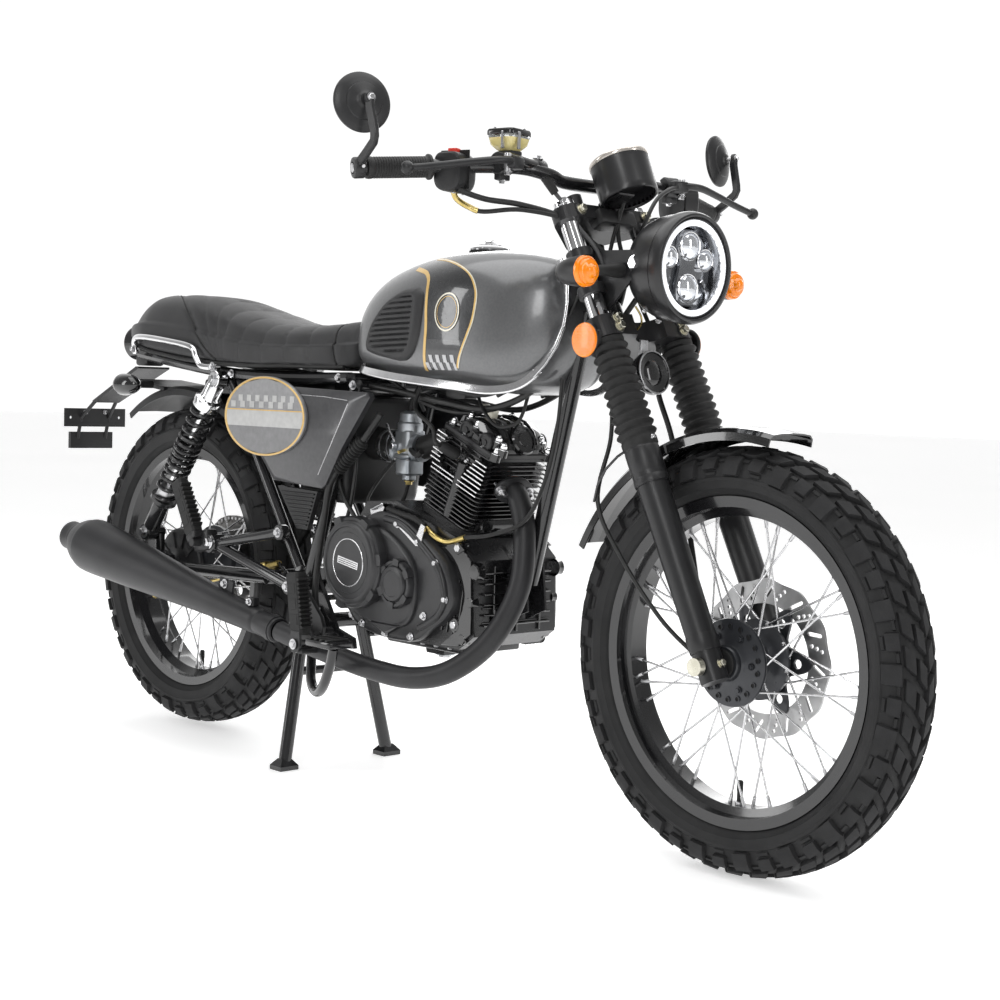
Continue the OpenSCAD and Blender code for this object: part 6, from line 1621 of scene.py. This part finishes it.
def controls():
    b = B()
    for s in (-1, 1):
        # switch housing
        mx = Matrix.Translation(P(1029, s * 252, 1027)) @ Matrix.Rotation(rad(-s * 20), 4, "Z")
        L = []
        for y, k in ((-28, 0.86), (-26, 0.97), (-20, 1.0), (18, 1.0), (25, 0.95), (28, 0.8)):
            sec = []
            for i in range(28):
                a = 2 * math.pi * i / 28
                cx, cz = math.cos(a), math.sin(a)
                e = 0.62
                x = 23 * k * (abs(cx) ** e) * (1 if cx > 0 else -1)
                z = (25 if cz > 0 else 34) * k * (abs(cz) ** e) * (1 if cz > 0 else -1)
                sec.append(mx @ Vector((x * MM, y * MM, z * MM)))
            L.append(sec)
        b.rings(L, "plastic")
        b.box(mx @ T(0, 0, 0), 0.0485, 0.0012, 0.058, "seamline", 0.0)
        b.bolt(mx @ Vector((0.006, 0.012 * s, -0.0335)), (0, 0, -1), 0.0028, "steel", 0.002, False)
        b.bolt(mx @ Vector((0.006, -0.014 * s, -0.0335)), (0, 0, -1), 0.0028, "steel", 0.002, False)
        if s < 0:
            b.box(mx @ T(0, -4, 27), 0.015, 0.014, 0.008, "redsw", 0.0012, 2)
            b.box(mx @ T(-2, 30, 14) @ Matrix.Rotation(rad(8), 4, "X"), 0.014, 0.011, 0.034, "plastic", 0.002, 2)
            b.box(mx @ T(-23.5, 6, 4), 0.005, 0.012, 0.010, "redsw", 0.001, 1)
        else:
            b.box(mx @ T(-23.5, 8, 10), 0.006, 0.016, 0.008, "plastic", 0.0015, 2)
            b.box(mx @ T(-23.5, -8, -2), 0.006, 0.018, 0.008, "plate_hi", 0.0015, 2)
            b.box(mx @ T(2, 2, 26), 0.02, 0.02, 0.006, "plastic", 0.0015, 2)
        # perch with clamp, lever and ball
        m2 = Matrix.Translation(P(1064, s * 188, 1040)) @ Matrix.Rotation(rad(-s * 12), 4, "Z")
        b.rod(m2 @ Vector((0, -0.013, 0)), m2 @ Vector((0, 0.013, 0)), 0.0175, "satin", 28, 0.002)
        b.box(m2 @ T(0, 0, -18), 0.014, 0.024, 0.014, "satin", 0.002, 2)
        b.bolt(m2 @ Vector((0.0, 0, -0.0245)), (0, 0, -1), 0.0045, "steel", 0.004)
        b.box(m2 @ T(18, 2 * s, 0), 0.030, 0.030, 0.019, "satin", 0.004, 2)
        b.rod(P(1084, s * 196, 1027), P(1084, s * 196, 1054), 0.0058, "steel", 16, 0.0008)
        b.bolt(P(1084, s * 196, 1027), (0, 0, -1), 0.005, "steel", 0.005)
        tip = [(1078, 184, 1042), (1092, 200, 1042), (1092, 224, 1040), (1080, 262, 1034), (1066, 306, 1026), (1054, 340, 1020), (1048, 356, 1018)] if s < 0 else \
              [(1078, 184, 1042), (1096, 200, 1042), (1104, 224, 1040), (1104, 262, 1032), (1102, 306, 1022), (1101, 340, 1015), (1101, 356, 1012)]
        pts = S([(x, s * y, z) for x, y, z in tip], 6)
        nn = len(pts)
        R = []
        for i, p in enumerate(pts):
            t = i / (nn - 1)
            d = (pts[min(i + 1, nn - 1)] - pts[max(i - 1, 0)]).normalized()
            n1 = d.cross(Vector((0, 0, 1))).normalized()
            n2 = n1.cross(d).normalized()
            w = 0.0085 - 0.0032 * min(1, t * 1.6)
            h = 0.0062 - 0.0008 * t
            R.append([p + n1 * w * math.cos(a) + n2 * h * math.sin(a) for a in [2 * math.pi * j / 14 for j in range(14)]])
        b.rings(R, "satin")
        b.ball(pts[-1] + (pts[-1] - pts[-3]).normalized() * 0.004, 0.0098, "satin", 24, 16)
    # master cylinder, its end cap, banjo boot and the reservoir
    b.tube([P(1078, -196, 1046), P(1076, -190, 1046), P(1070, -146, 1043), P(1066, -122, 1042)], [0.0085, 0.0110, 0.0112, 0.0112], "gloss", 28)
    b.tube([P(1066, -128, 1042), P(1065, -124, 1042), P(1062, -106, 1041), P(1061, -102, 1041)], [0.0112, 0.0142, 0.0142, 0.0120], "satin", 28)
    b.bolt(P(1066, -116, 1054), (0, 0, 1), 0.0055, "steel", 0.005)
    b.box(Matrix.Translation(P(1066, -172, 1053)), 0.022, 0.026, 0.016, "satin", 0.003, 2)
    m3 = Matrix.Translation(P(1062, -174, 0)) @ Matrix.Rotation(rad(10), 4, "Z")
    def lv(z, hx, hy, r):
        return [m3 @ Vector((x, y, z * MM)) for x, y in rrect(hx, hy, r, 4)]
    b.rings([lv(1057, 10, 11, 4), lv(1060, 12, 13, 5)], "satin")
    # the fluid band of the reservoir glows from its material's emission: painted glow
    b.rings([lv(1060, 12, 13, 5), lv(1062, 15, 16, 6), lv(1069, 21, 23, 7), lv(1079, 23, 25.5, 7)], "fluid", cap0=True)
    b.rings([lv(1079.2, 23, 25.5, 7), lv(1083, 23.6, 26.2, 7)], "clear", cap0=False, cap1=False)
    b.rings([lv(1083, 24.6, 27.2, 8), lv(1084, 25.2, 27.8, 8), lv(1089, 25.2, 27.8, 8), lv(1092, 23.6, 26.2, 7), lv(1092.8, 19, 21, 6)], "gloss")
    for x, y in ((26, -10), (10, -29)):
        b.box(m3 @ T(x, y, 1074), 0.004, 0.006, 0.026, "steel", 0.001)
    for x, y in ((-15, -17), (15, 17)):
        b.bolt(m3 @ Vector((x * MM, y * MM, 1.0926)), (0, 0, 1), 0.003, "steel", 0.002, False)
    # banjo boot and hose down to the splitter
    b.tube(S([(1064, -112, 1040), (1074, -104, 1024), (1082, -92, 1004)], 5), [0.0086, 0.0082, 0.008, 0.0078, 0.0076, 0.0074, 0.0074, 0.0072, 0.0068, 0.0066, 0.0062], "rubber", 18)
    b.done("hand_controls_detail", ST, ("hand_controls",), sharp=34)


def mirrors():
    b = B()
    for s in (-1, 1):
        d = Vector((0.956, s * 0.274, 0.1045)).normalized()
        mx = lookmx(P(984, s * 398, 1112), d, (0, 0, 1))
        b.lathe(mx, [(0.0001, -0.0004), (0.0405, -0.0004)], "mirror", 64)
        b.lathe(mx, [(0.0405, -0.0004), (0.0412, -0.0018), (0.0435, -0.0016), (0.0448, 0.0008), (0.0446, 0.0034), (0.0425, 0.0052), (0.0350, 0.0082), (0.0282, 0.0106), (0.0272, 0.0126), (0.0262, 0.0130), (0.0235, 0.0140), (0.0150, 0.0168), (0.0118, 0.0182), (0.0102, 0.0200), (0.0090, 0.0205), (0.0001, 0.0206)], "satin", 72)
        e = P(984, s * 398, 1112) + d * 0.0205
        f = e + d * 0.012
        b.rod(e - d * 0.004, f, 0.0046, "steel", 16)
        b.lathe(lookmx(f, d), [(0.0085, -0.002), (0.0085, 0.003), (0.0078, 0.0042), (0.0001, 0.0044)], "satin", 24)
        b.bolt(f + d * 0.0044, d, 0.0044, "chrome", 0.0035)
        top = f
        pts = [top + Vector((0.0, 0, 0.004)), top + Vector((0.0005, 0, -0.012)), P(1025, s * 405, 1068), P(1026, s * 405, 1060), P(1023, s * 404, 1052), P(1002, s * 402, 1036), P(984, s * 400, 1024), P(976, s * 399, 1016)]
        strap(b, pts, 0.0135, 0.0085, "satin")
        # bar end clamp and its screws
        q = P(979, s * 390, 1019)
        dd = (P(979, s * 390, 1019) - P(1006, s * 320, 1026)).normalized()
        b.lathe(lookmx(q, dd), [(0.0112, -0.003), (0.0150, -0.0025), (0.0158, -0.0010), (0.0158, 0.0115), (0.0148, 0.0135), (0.0120, 0.0142), (0.0090, 0.0144), (0.0088, 0.0128), (0.0001, 0.0128)], "satin", 40)
        b.lathe(lookmx(q + dd * 0.0128, dd), [(0.0072, 0.0), (0.0070, 0.0022), (0.0060, 0.0030), (0.0001, 0.0031)], "steel", 24)
        b.bolt(P(990, s * 400, 1030) + Vector((0.004, -s * 0.0, -0.010)), (0.9, s * 0.3, -0.3), 0.0030, "steel", 0.003, False)
    b.done("bar_end_mirrors", ST, ("mirrors",), sharp=34)


def caliper():
    b = B()
    C = FORK @ Matrix.Rotation(rad(-58), 4, "Y")
    for y0, y1 in ((32, 41), (51, 66)):
        L = []
        for y, k in ((y0, 0.95), (y0 + 1.5, 1.0), (y1 - 1.5, 1.0), (y1, 0.94)):
            L.append([C @ Vector((x * k * MM, y * MM, (107 + (z - 107) * k) * MM)) for x, z in ((-38, 92), (-30, 82), (30, 82), (38, 92), (38, 118), (26, 130), (8, 134), (-8, 134), (-26, 130), (-38, 118))])
        b.rings(L, "cover", smooth=False)
    b.box(C @ T(0, 49, 131.5), 0.052, 0.026, 0.008, "cover", 0.002, 2)
    for x in (-17, 17):
        b.lathe(C @ T(x, 66, 106) @ Matrix.Rotation(rad(-90), 4, "X"), [(0.0150, -0.002), (0.0150, 0.006), (0.0138, 0.008), (0.0115, 0.0085), (0.0110, 0.007), (0.0001, 0.0072)], "cover", 32)
    for x in (-31, 31):
        b.rod(C @ Vector((x * MM, 0.051, 0.108)), C @ Vector((x * MM, 0.072, 0.108)), 0.0055, "steel", 16, 0.001)
        b.bolt(C @ Vector((x * MM, 0.0665, 0.108)), C.to_3x3() @ Vector((0, 1, 0)), 0.0058, "zinc", 0.006)
    b.rod(C @ Vector((0.024, 0.06, 0.128)), C @ Vector((0.026, 0.062, 0.144)), 0.0028, "steel", 12)
    b.rod(C @ Vector((-0.006, 0.053, 0.134)), C @ Vector((-0.006, 0.053, 0.143)), 0.006, "steel", 6)
    b.box(C @ T(30, 57, 86), 0.030, 0.008, 0.030, "cover", 0.002)
    for x in (-24, 0, 24):
        b.box(C @ T(x, 66.6, 90), 0.012, 0.003, 0.004, "cover", 0.001)
    b.done("brake_caliper_detail", ST, ("brake_caliper",), sharp=32)


def front_lines():
    b = B()
    b.tube(S([(1266, 62, 400), (1246, 66, 470), (1224, 64, 560), (1204, 56, 640), (1182, 46, 710), (1184, 44, 771)], 8), 0.0044, "cable", 12)
    b.tube(S([(1362, -60, 328), (1320, -82, 372), (1256, -98, 452), (1206, -104, 536), (1196, -70, 630), (1176, -48, 706), (1184, -44, 771)], 8), 0.0034, "cable", 12)
    # upper runs on the steering head
    b.tube(S([(1082, -92, 1004), (1100, -80, 978), (1121, -75, 950), (1144, -70, 926), (1160, -62, 896), (1158, -44, 856), (1150, -36, 820), (1168, -40, 790), (1180, -44, 771)], 7), 0.0032, "grey", 10)
    b.tube(S([(1184, 44, 771), (1160, 38, 820), (1140, 20, 880), (1128, 4, 940), (1136, -4, 986)], 7), 0.0034, "cable", 10)
    b.tube(S([(1184, -44, 771), (1150, -30, 800), (1124, -18, 850), (1122, -8, 920), (1140, 0, 996)], 7), 0.0032, "cable", 10)
    b.tube(S([(1046, -262, 996), (1052, -210, 986), (1068, -150, 982), (1100, -90, 965), (1124, -50, 930), (1150, -24, 900)], 7), 0.0045, "cable", 10)
    b.tube(S([(1034, 262, 994), (1050, 210, 988), (1066, 150, 984), (1098, 92, 966), (1124, 50, 930), (1150, 24, 900)], 7), 0.0045, "cable", 10)
    # lamp plug and wires behind the bowl
    b.tube(S([(1196, -18, 850), (1180, -26, 824), (1166, -30, 800), (1160, -20, 770)], 6), 0.0045, "cable", 10)
    b.tube(S([(1204, -34, 832), (1212, -30, 818), (1206, -22, 806), (1190, -16, 796)], 6), 0.0016, "goldzinc", 8)
    # guide loop for the speedometer cable
    g = FORK @ Vector((0.022, -0.078, 0.352))
    b.tube([P(1262, -86, 625), P(1240, -100, 606), P(1222, -106, 586), P(1208, -108, 560), P(1200, -106, 536)], 0.0020, "frame", 8)
    b.done("front_lines", ST, ("front_cables",), sharp=50)


def crossing_cables():
    """Throttle, clutch and wiring runs that cross the steering joint."""
    for name, pts, r, m in (
            ("throttle_cable", [(1017, -245, 1001), (1016, -236, 986), (1028, -220, 974), (1044, -205, 968), (1072, -150, 974), (1106, -80, 960), (1112, -46, 920), (1092, -40, 860), (1058, -44, 800), (1000, -52, 726), (930, -60, 690)], 0.0036, "cable"),
            ("clutch_cable", [(1092, 176, 1038), (1106, 140, 1030), (1124, 90, 1006), (1130, 56, 960), (1112, 44, 900), (1080, 40, 836), (1040, 46, 770), (980, 54, 716), (910, 60, 690)], 0.0034, "cable"),
            ("wiring_loom", [(1140, 6, 868), (1118, 20, 840), (1092, 28, 806), (1056, 34, 762), (1004, 40, 716), (940, 44, 690)], 0.0062, "cable")):
        b = B()
        b.tube(S(pts, 7), r, m, 12)
        if name == "throttle_cable":
            b.tube(S(pts[:5], 7)[:20], 0.0046, "goldzinc", 12)
        o = b.done(name, ST, sharp=60)
        mw = o.matrix_world.copy()
        o.parent = None
        if "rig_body" in o:
            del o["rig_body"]
        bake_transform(o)


fork_parts()
headlamp()
signals()
clock()
bars()
controls()
mirrors()
caliper()
front_lines()
crossing_cables()



# ------------------------------------------------------------ footrests, controls and crankcase
def feet():
    b = B()
    for s in (-1, 1):
        # hanger plate with a softened edge
        pl = [(466, 330), (480, 352), (500, 354), (566, 292), (574, 274), (570, 252), (556, 236), (538, 238), (520, 278)]
        L = []
        cx, cz = 520, 296
        for y, k in ((124, 0.985), (125.2, 1.0), (130.8, 1.0), (132, 0.985)):
            L.append([P(cx + (x - cx) * k, s * y, cz + (z - cz) * k) for x, z in pl])
        b.rings(L, "satin", smooth=False)
        b.rod(P(484, s * 104, 344), P(484, s * 126, 344), 0.011, "frame", 20)
        b.rod(P(560, s * 104, 262), P(560, s * 126, 262), 0.011, "frame", 20)
        # V bracket to the passenger peg: tubes with round bosses at their ends
        ax = P(236, s * 134, 394)
        for q in (P(440, s * 128, 431), P(470, s * 128, 336)):
            b.tube([ax, ax.lerp(q, 0.04), ax.lerp(q, 0.95), q], [0.0085, 0.0098, 0.0098, 0.0075], "frame", 20)
            b.lathe(lookmx(q + Vector((0, s * 0.004, 0)), (0, s, 0)), [(0.0001, -0.012), (0.0135, -0.012), (0.0145, -0.010), (0.0145, 0.003), (0.0130, 0.0045), (0.0001, 0.0045)], "frame", 28)
            b.bolt(q + Vector((0, s * 0.0085, 0)), (0, s, 0), 0.0062, "steel", 0.0055)
        b.lathe(lookmx(ax, (0, s, 0)), [(0.0001, -0.016), (0.0165, -0.016), (0.018, -0.014), (0.018, 0.012), (0.0165, 0.014), (0.0001, 0.014)], "frame", 32)
        b.box(lookmx(P(214, s * 140, 398), (0, s, 0), (1, 0, 0.2)), 0.052, 0.040, 0.026, "satin", 0.006, 2)
        b.bolt(P(238, s * 149, 398), (0, s, 0), 0.0088, "chrome", 0.007)
        # passenger peg, folded up, teeth on its front edge
        a, e = P(204, s * 159, 410), P(148, s * 159, 508)
        d = (e - a).normalized()
        n = Vector((d.z, 0, -d.x))
        ln = (e - a).length
        y = Vector((0, 1, 0))
        def peg(a, d, n, y, ln, hw, hy, teeth, m):
            R = []
            for t, k in ((0.0, 0.8), (0.003, 0.95), (0.008, 1.0), (ln - 0.008, 1.0), (ln - 0.003, 0.95), (ln, 0.8)):
                c = a + d * t
                R.append([c + n * (hw * k * u) + y * (hy * k * v) for u, v in ((1, 0.62), (0.80, 1), (-0.72, 1), (-1, 0.66), (-1, -0.66), (-0.72, -1), (0.80, -1), (1, -0.62))])
            b.rings(R, m, smooth=False)
            for i in range(teeth):
                t = 0.010 + (ln - 0.020) * (i + 0.5) / teeth
                w = (ln - 0.020) / teeth * 0.42
                c = a + d * t
                R = []
                for v in (-0.94, 0.94):
                    q = c + y * hy * v
                    R.append([q + n * (hw - 0.003) - d * w, q + n * (hw - 0.0002) - d * w, q + n * (hw + 0.0042) - d * w * 0.25, q + n * (hw + 0.0042) + d * w * 0.25, q + n * (hw - 0.0002) + d * w, q + n * (hw - 0.003) + d * w])
                b.rings(R, m, smooth=False)
            for i in range(3):
                t = ln * (0.25 + 0.25 * i)
                b.box(lookmx(a + d * t + y * hy * (1 if y.dot(Vector((0, s, 0))) > 0 else -1), y * (1 if y.dot(Vector((0, s, 0))) > 0 else -1), d), ln * 0.17, hw * 1.1, 0.0014, m, 0.0006)
        peg(a, d, n, y, ln, 0.0165, 0.0115, 10, "rubber")
        b.rod(a - d * 0.016 - y * 0.012, a - d * 0.016 + y * 0.012, 0.0085, "satin", 18, 0.001)
        b.box(lookmx(a - d * 0.004, d, n), 0.030, 0.022, 0.014, "satin", 0.003, 2)
        # rider peg, folded up
        a, e = P(588, s * 190, 266), P(570, s * 190, 374)
        d = (e - a).normalized()
        n = Vector((d.z, 0, -d.x))
        peg(a, d, n, y, (e - a).length, 0.0175, 0.0125, 12, "rubber")
        b.rod(P(588, s * 172, 252), P(588, s * 206, 252), 0.0060, "steel", 16, 0.0008)
        b.bolt(P(588, s * 206, 252), (0, s, 0), 0.0062, "steel", 0.004)
        for yy in (177, 201):
            R = []
            for dy in (-2.4, 2.4):
                R.append([P(588 + 15 * math.cos(rad(t)), s * (yy + dy), 252 + 15 * math.sin(rad(t))) for t in range(180, 361, 20)] + [P(601, s * (yy + dy), 274), P(577, s * (yy + dy), 274)])
            b.rings(R, "satin", smooth=False)
        b.tube([P(560, s * 130, 256), P(568, s * 150, 248), P(580, s * 176, 244)], [0.011, 0.0105, 0.0095], "frame", 20)
        b.box(Matrix.Translation(P(588, s * 182, 240)), 0.034, 0.034, 0.009, "satin", 0.003, 2)
    b.done("footrest_set", "chassis", ("footrests",), sharp=30)


def pedals():
    b = B()
    b.tube(S([(514, -112, 270), (522, -116, 244), (538, -128, 214), (562, -146, 182), (592, -160, 168), (622, -172, 172), (652, -184, 194), (680, -194, 232), (694, -200, 258)], 7), 0.0088, "frame", 20)
    b.rod(P(520, -130, 262), P(520, -100, 262), 0.014, "frame", 24, 0.0015)
    b.rod(P(520, -132, 262), P(520, -129, 262), 0.009, "steel", 6)
    b.tube([P(520, -108, 262), P(508, -104, 280), P(500, -100, 300)], [0.009, 0.0075, 0.007], "frame", 14)
    b.box(Matrix.Translation(P(688, -206, 266)), 0.066, 0.050, 0.012, "frame", 0.003, 2)
    for k in range(4):
        b.box(Matrix.Translation(P(666 + 15 * k, -206, 273.5)), 0.007, 0.048, 0.004, "rubber", 0.001)
    # gear lever, rocking link and its rubber
    b.tube(S([(712, 122, 258), (736, 134, 256), (760, 150, 258), (786, 160, 262)], 6), 0.0065, "frame", 16)
    b.tube(S([(712, 122, 258), (690, 118, 262), (664, 116, 270)], 5), 0.0060, "frame", 16)
    b.rod(P(712, 112, 258), P(712, 132, 258), 0.012, "frame", 20, 0.001)
    b.rod(P(788, 148, 262), P(788, 196, 262), 0.0115, "rubber", 22, 0.0015)
    for k in range(5):
        b.lathe(lookmx(P(788, 154 + 9 * k, 262), (0, 1, 0)), [(0.0113, 0.0), (0.0126, 0.0012), (0.0126, 0.0034), (0.0113, 0.0046)], "rubber", 22)
    b.tube([P(664, 116, 270), P(660, 118, 300), P(652, 118, 330)], 0.004, "steel", 12)
    b.rod(P(652, 106, 332), P(652, 124, 332), 0.009, "frame", 18, 0.001)
    b.done("pedals_and_levers", "chassis", ("foot_controls",), sharp=44)


def crankcase():
    """Extra castings on the case: front boss rows, breather, sump ribs."""
    b = B()
    for s in (-1, 1):
        # stepped flank that steps in towards the front of the case
        for poly, y0, y1 in (([(840, 436), (884, 448), (918, 420), (922, 330), (922, 300), (890, 278), (850, 275), (884, 300), (902, 340), (900, 380), (880, 414)], 92, 97),
                             ([(852, 452), (884, 452), (904, 438), (890, 430), (866, 436)], 92, 100)):
            c = Vector((sum(p[0] for p in poly) / len(poly), sum(p[1] for p in poly) / len(poly)))
            b.rings([[P(x, s * y0, z) for x, z in poly], [P(x, s * (y1 - 1.2), z) for x, z in poly], [P(c.x + (x - c.x) * 0.985, s * y1, c.y + (z - c.y) * 0.985) for x, z in poly]], "gloss", smooth=False)
        for x, z, r in ((926, 403, 13), (881, 312, 13), (886, 439, 11), (900, 290, 9), (916, 352, 9)):
            b.lathe(lookmx(P(x, s * 84, z), (0, s, 0)), [(r * 1.15 * MM, 0.0), (r * MM, 0.006), (r * MM, 0.0085 + 0.004), (r * 0.85 * MM, 0.0140), (0.0001, 0.0141)], "gloss", 24)
        for k in range(5):
            b.tube([P(846 + 13 * k, s * 93, 300 - 2 * k), P(866 + 11 * k, s * 93, 402 - 8 * k)], 0.0022, "gloss", 8)
    # front face: fins and three upright ribs
    for k in range(6):
        b.box(Matrix.Translation(P(925, 0, 314 + 17 * k)), 0.012, 0.150, 0.0032, "gloss", 0.001)
    for y in (-52, 0, 52):
        b.box(Matrix.Translation(P(925, y, 356)), 0.010, 0.004, 0.11, "gloss", 0.001)
    # sump
    b.box(Matrix.Translation(P(770, 0, 268)), 0.20, 0.13, 0.020, "block", 0.004, 2)
    for x in (700, 735, 770, 805, 840):
        for s in (-1, 1):
            b.rod(P(x, s * 68, 270), P(x, s * 68, 281), 0.0075, "block", 14)
            b.bolt(P(x, s * 68, 269.5), (0, 0, -1), 0.0044, "steel", 0.004)
    b.rod(P(768, -16, 256), P(768, -16, 246), 0.015, "steel", 6)
    b.prism(Matrix.Translation(P(768, -16, 243)), [(0.010 * math.cos(rad(60 * k)), 0.010 * math.sin(rad(60 * k))) for k in range(6)], 0.004, "steel", None, 0.0005)
    # top deck behind the barrel: breather, studs and starter cable
    b.box(Matrix.Translation(P(716, 0, 488)), 0.07, 0.10, 0.016, "block", 0.003, 2)
    b.rod(P(690, 20, 494), P(690, 20, 512), 0.007, "block", 16)
    b.tube(S([(690, 20, 510), (688, 22, 540), (676, 30, 580), (650, 40, 620)], 5), 0.0055, "cable", 12)
    for x, y in ((700, -40), (736, -40), (700, 40), (736, 40)):
        b.bolt(P(x, y, 496), (0, 0, 1), 0.005, "steel", 0.005)
    # flange under the barrel
    b.prism(BORE @ T(0, 0, 2), rrect(66, 70, 16), 0.016, "block", None, 0.002)
    b.done("crankcase_castings", "chassis", sharp=30)


feet()
pedals()
crankcase()

# default looks for carried-over CAD nodes
for n_, m_ in {"main_frame": "frame", "subframe": "frame", "swingarm": "frame", "engine_block": "block", "cylinder_barrel": "fin", "cylinder_head": "fin",
               "engine_covers": "cover", "carburettor": "cast", "exhaust_pipe": "exhaust", "silencer": "exhaust", "fuel_cap": "chrome",
               "side_panels": "panel", "rear_fender": "plastic", "tail_lamps": "plastic", "plate_bracket": "plastic", "grab_rail": "chrome", "rear_shocks": "chrome",
               "drive_chain": "chain", "chain_guard": "plastic", "footrests": "frame", "foot_controls": "frame", "rear_brake": "cover", "steering_yokes": "satin",
               "fork_tubes": "chrome", "fork_sliders": "satin", "fork_gaiters": "rubber", "front_fender": "gloss", "handlebar": "frame", "hand_grips": "grip",
               "hand_controls": "plastic", "mirrors": "satin", "headlight": "bowl", "instrument": "bowl", "front_signals": "amber", "brake_caliper": "cover",
               "front_cables": "cable", "centre_stand": "frame", "side_stand": "frame", "fuel_tank": "graphite", "knee_pads": "pad", "seat": "vinyl"}.items():
    if not NODES[n_].hide_render:
        dress(n_, m_)


# ------------------------------------------------------------ floor, light, camera
def studio():
    me = bpy.data.meshes.new("floor")
    s = 30.0
    pts, fc = [], []
    me.from_pydata([(-s, -s, 0), (s, -s, 0), (s, s, 0), (-s, s, 0)], [], [(0, 1, 2, 3)])
    fl = bpy.data.objects.new("floor", me)
    bpy.context.scene.collection.objects.link(fl)
    m = mat("floor_m", (0.86, 0.86, 0.86), (0.875, 0.875, 0.875), (0.5, 0.6), scale=2.0, bump=0.0, spec=0.15)
    sh = m.node_tree.nodes["Principled BSDF"]
    sh.inputs["Emission Color"].default_value = (1, 1, 1, 1)
    sh.inputs["Emission Strength"].default_value = 0.5
    me.materials.append(m)
    w = bpy.data.worlds.new("studio")
    bpy.context.scene.world = w
    w.use_nodes = True
    # brighter behind the machine than in front of it, so that black parts stay black
    nt = w.node_tree
    bg = nt.nodes["Background"]
    tc = nt.nodes.new("ShaderNodeTexCoord")
    dp = nt.nodes.new("ShaderNodeVectorMath")
    dp.operation = "DOT_PRODUCT"
    dp.inputs[1].default_value = (math.cos(2.393), math.sin(2.393), 0.0)
    nt.links.new(tc.outputs["Generated"], dp.inputs[0])
    mr = nt.nodes.new("ShaderNodeMapRange")
    mr.interpolation_type = "SMOOTHSTEP"
    mr.inputs["From Min"].default_value = 0.15
    mr.inputs["From Max"].default_value = 0.86
    mr.inputs["To Min"].default_value = 0.30
    mr.inputs["To Max"].default_value = 1.05
    nt.links.new(dp.outputs["Value"], mr.inputs["Value"])
    nt.links.new(mr.outputs["Result"], bg.inputs["Strength"])
    bg.inputs["Color"].default_value = (1, 1, 1, 1)

    def area(name, loc, target, sx, sy, power):
        d = bpy.data.lights.new(name, "AREA")
        d.shape = "RECTANGLE"
        d.size, d.size_y = sx, sy
        d.energy = power
        o = bpy.data.objects.new(name, d)
        o.location = loc
        o.rotation_euler = (Vector(target) - Vector(loc)).to_track_quat("-Z", "Y").to_euler()
        bpy.context.scene.collection.objects.link(o)

    area("top", (0.2, -0.2, 3.4), (0, 0, 0.4), 4.2, 3.2, 85)
    area("key", (2.6, -3.4, 2.6), (0.1, 0, 0.5), 0.9, 2.4, 42)
    area("side", (-2.4, -3.2, 1.6), (0, 0, 0.6), 0.7, 2.4, 26)
    area("front", (3.9, 1.2, 1.6), (0.5, 0, 0.6), 0.6, 2.4, 22)
    area("rim", (-1.8, 3.0, 2.2), (0, 0, 0.7), 2.6, 1.4, 30)


studio()
cam = bpy.data.cameras.new("camera")
cam.sensor_width = 36
cam.lens = 1799.68 / 1000 * 36
cam.clip_end = 200
cam.shift_y = -0.002
co = bpy.data.objects.new("camera", cam)
yaw, pitch, roll = 2.393, -0.0597, 0.0302
fw_ = Vector((math.cos(yaw) * math.cos(pitch), math.sin(yaw) * math.cos(pitch), math.sin(pitch)))
rt_ = fw_.cross(Vector((0, 0, 1))).normalized()
up_ = rt_.cross(fw_)
rt2 = rt_ * math.cos(roll) + up_ * math.sin(roll)
up2 = -rt_ * math.sin(roll) + up_ * math.cos(roll)
co.matrix_world = Matrix(((rt2.x, up2.x, -fw_.x, 2.4524), (rt2.y, up2.y, -fw_.y, -2.0455), (rt2.z, up2.z, -fw_.z, 0.6987), (0, 0, 0, 1)))
bpy.context.scene.collection.objects.link(co)
bpy.context.scene.camera = co
bpy.context.scene.view_settings.view_transform = "Standard"
bpy.context.scene.view_settings.look = "None"
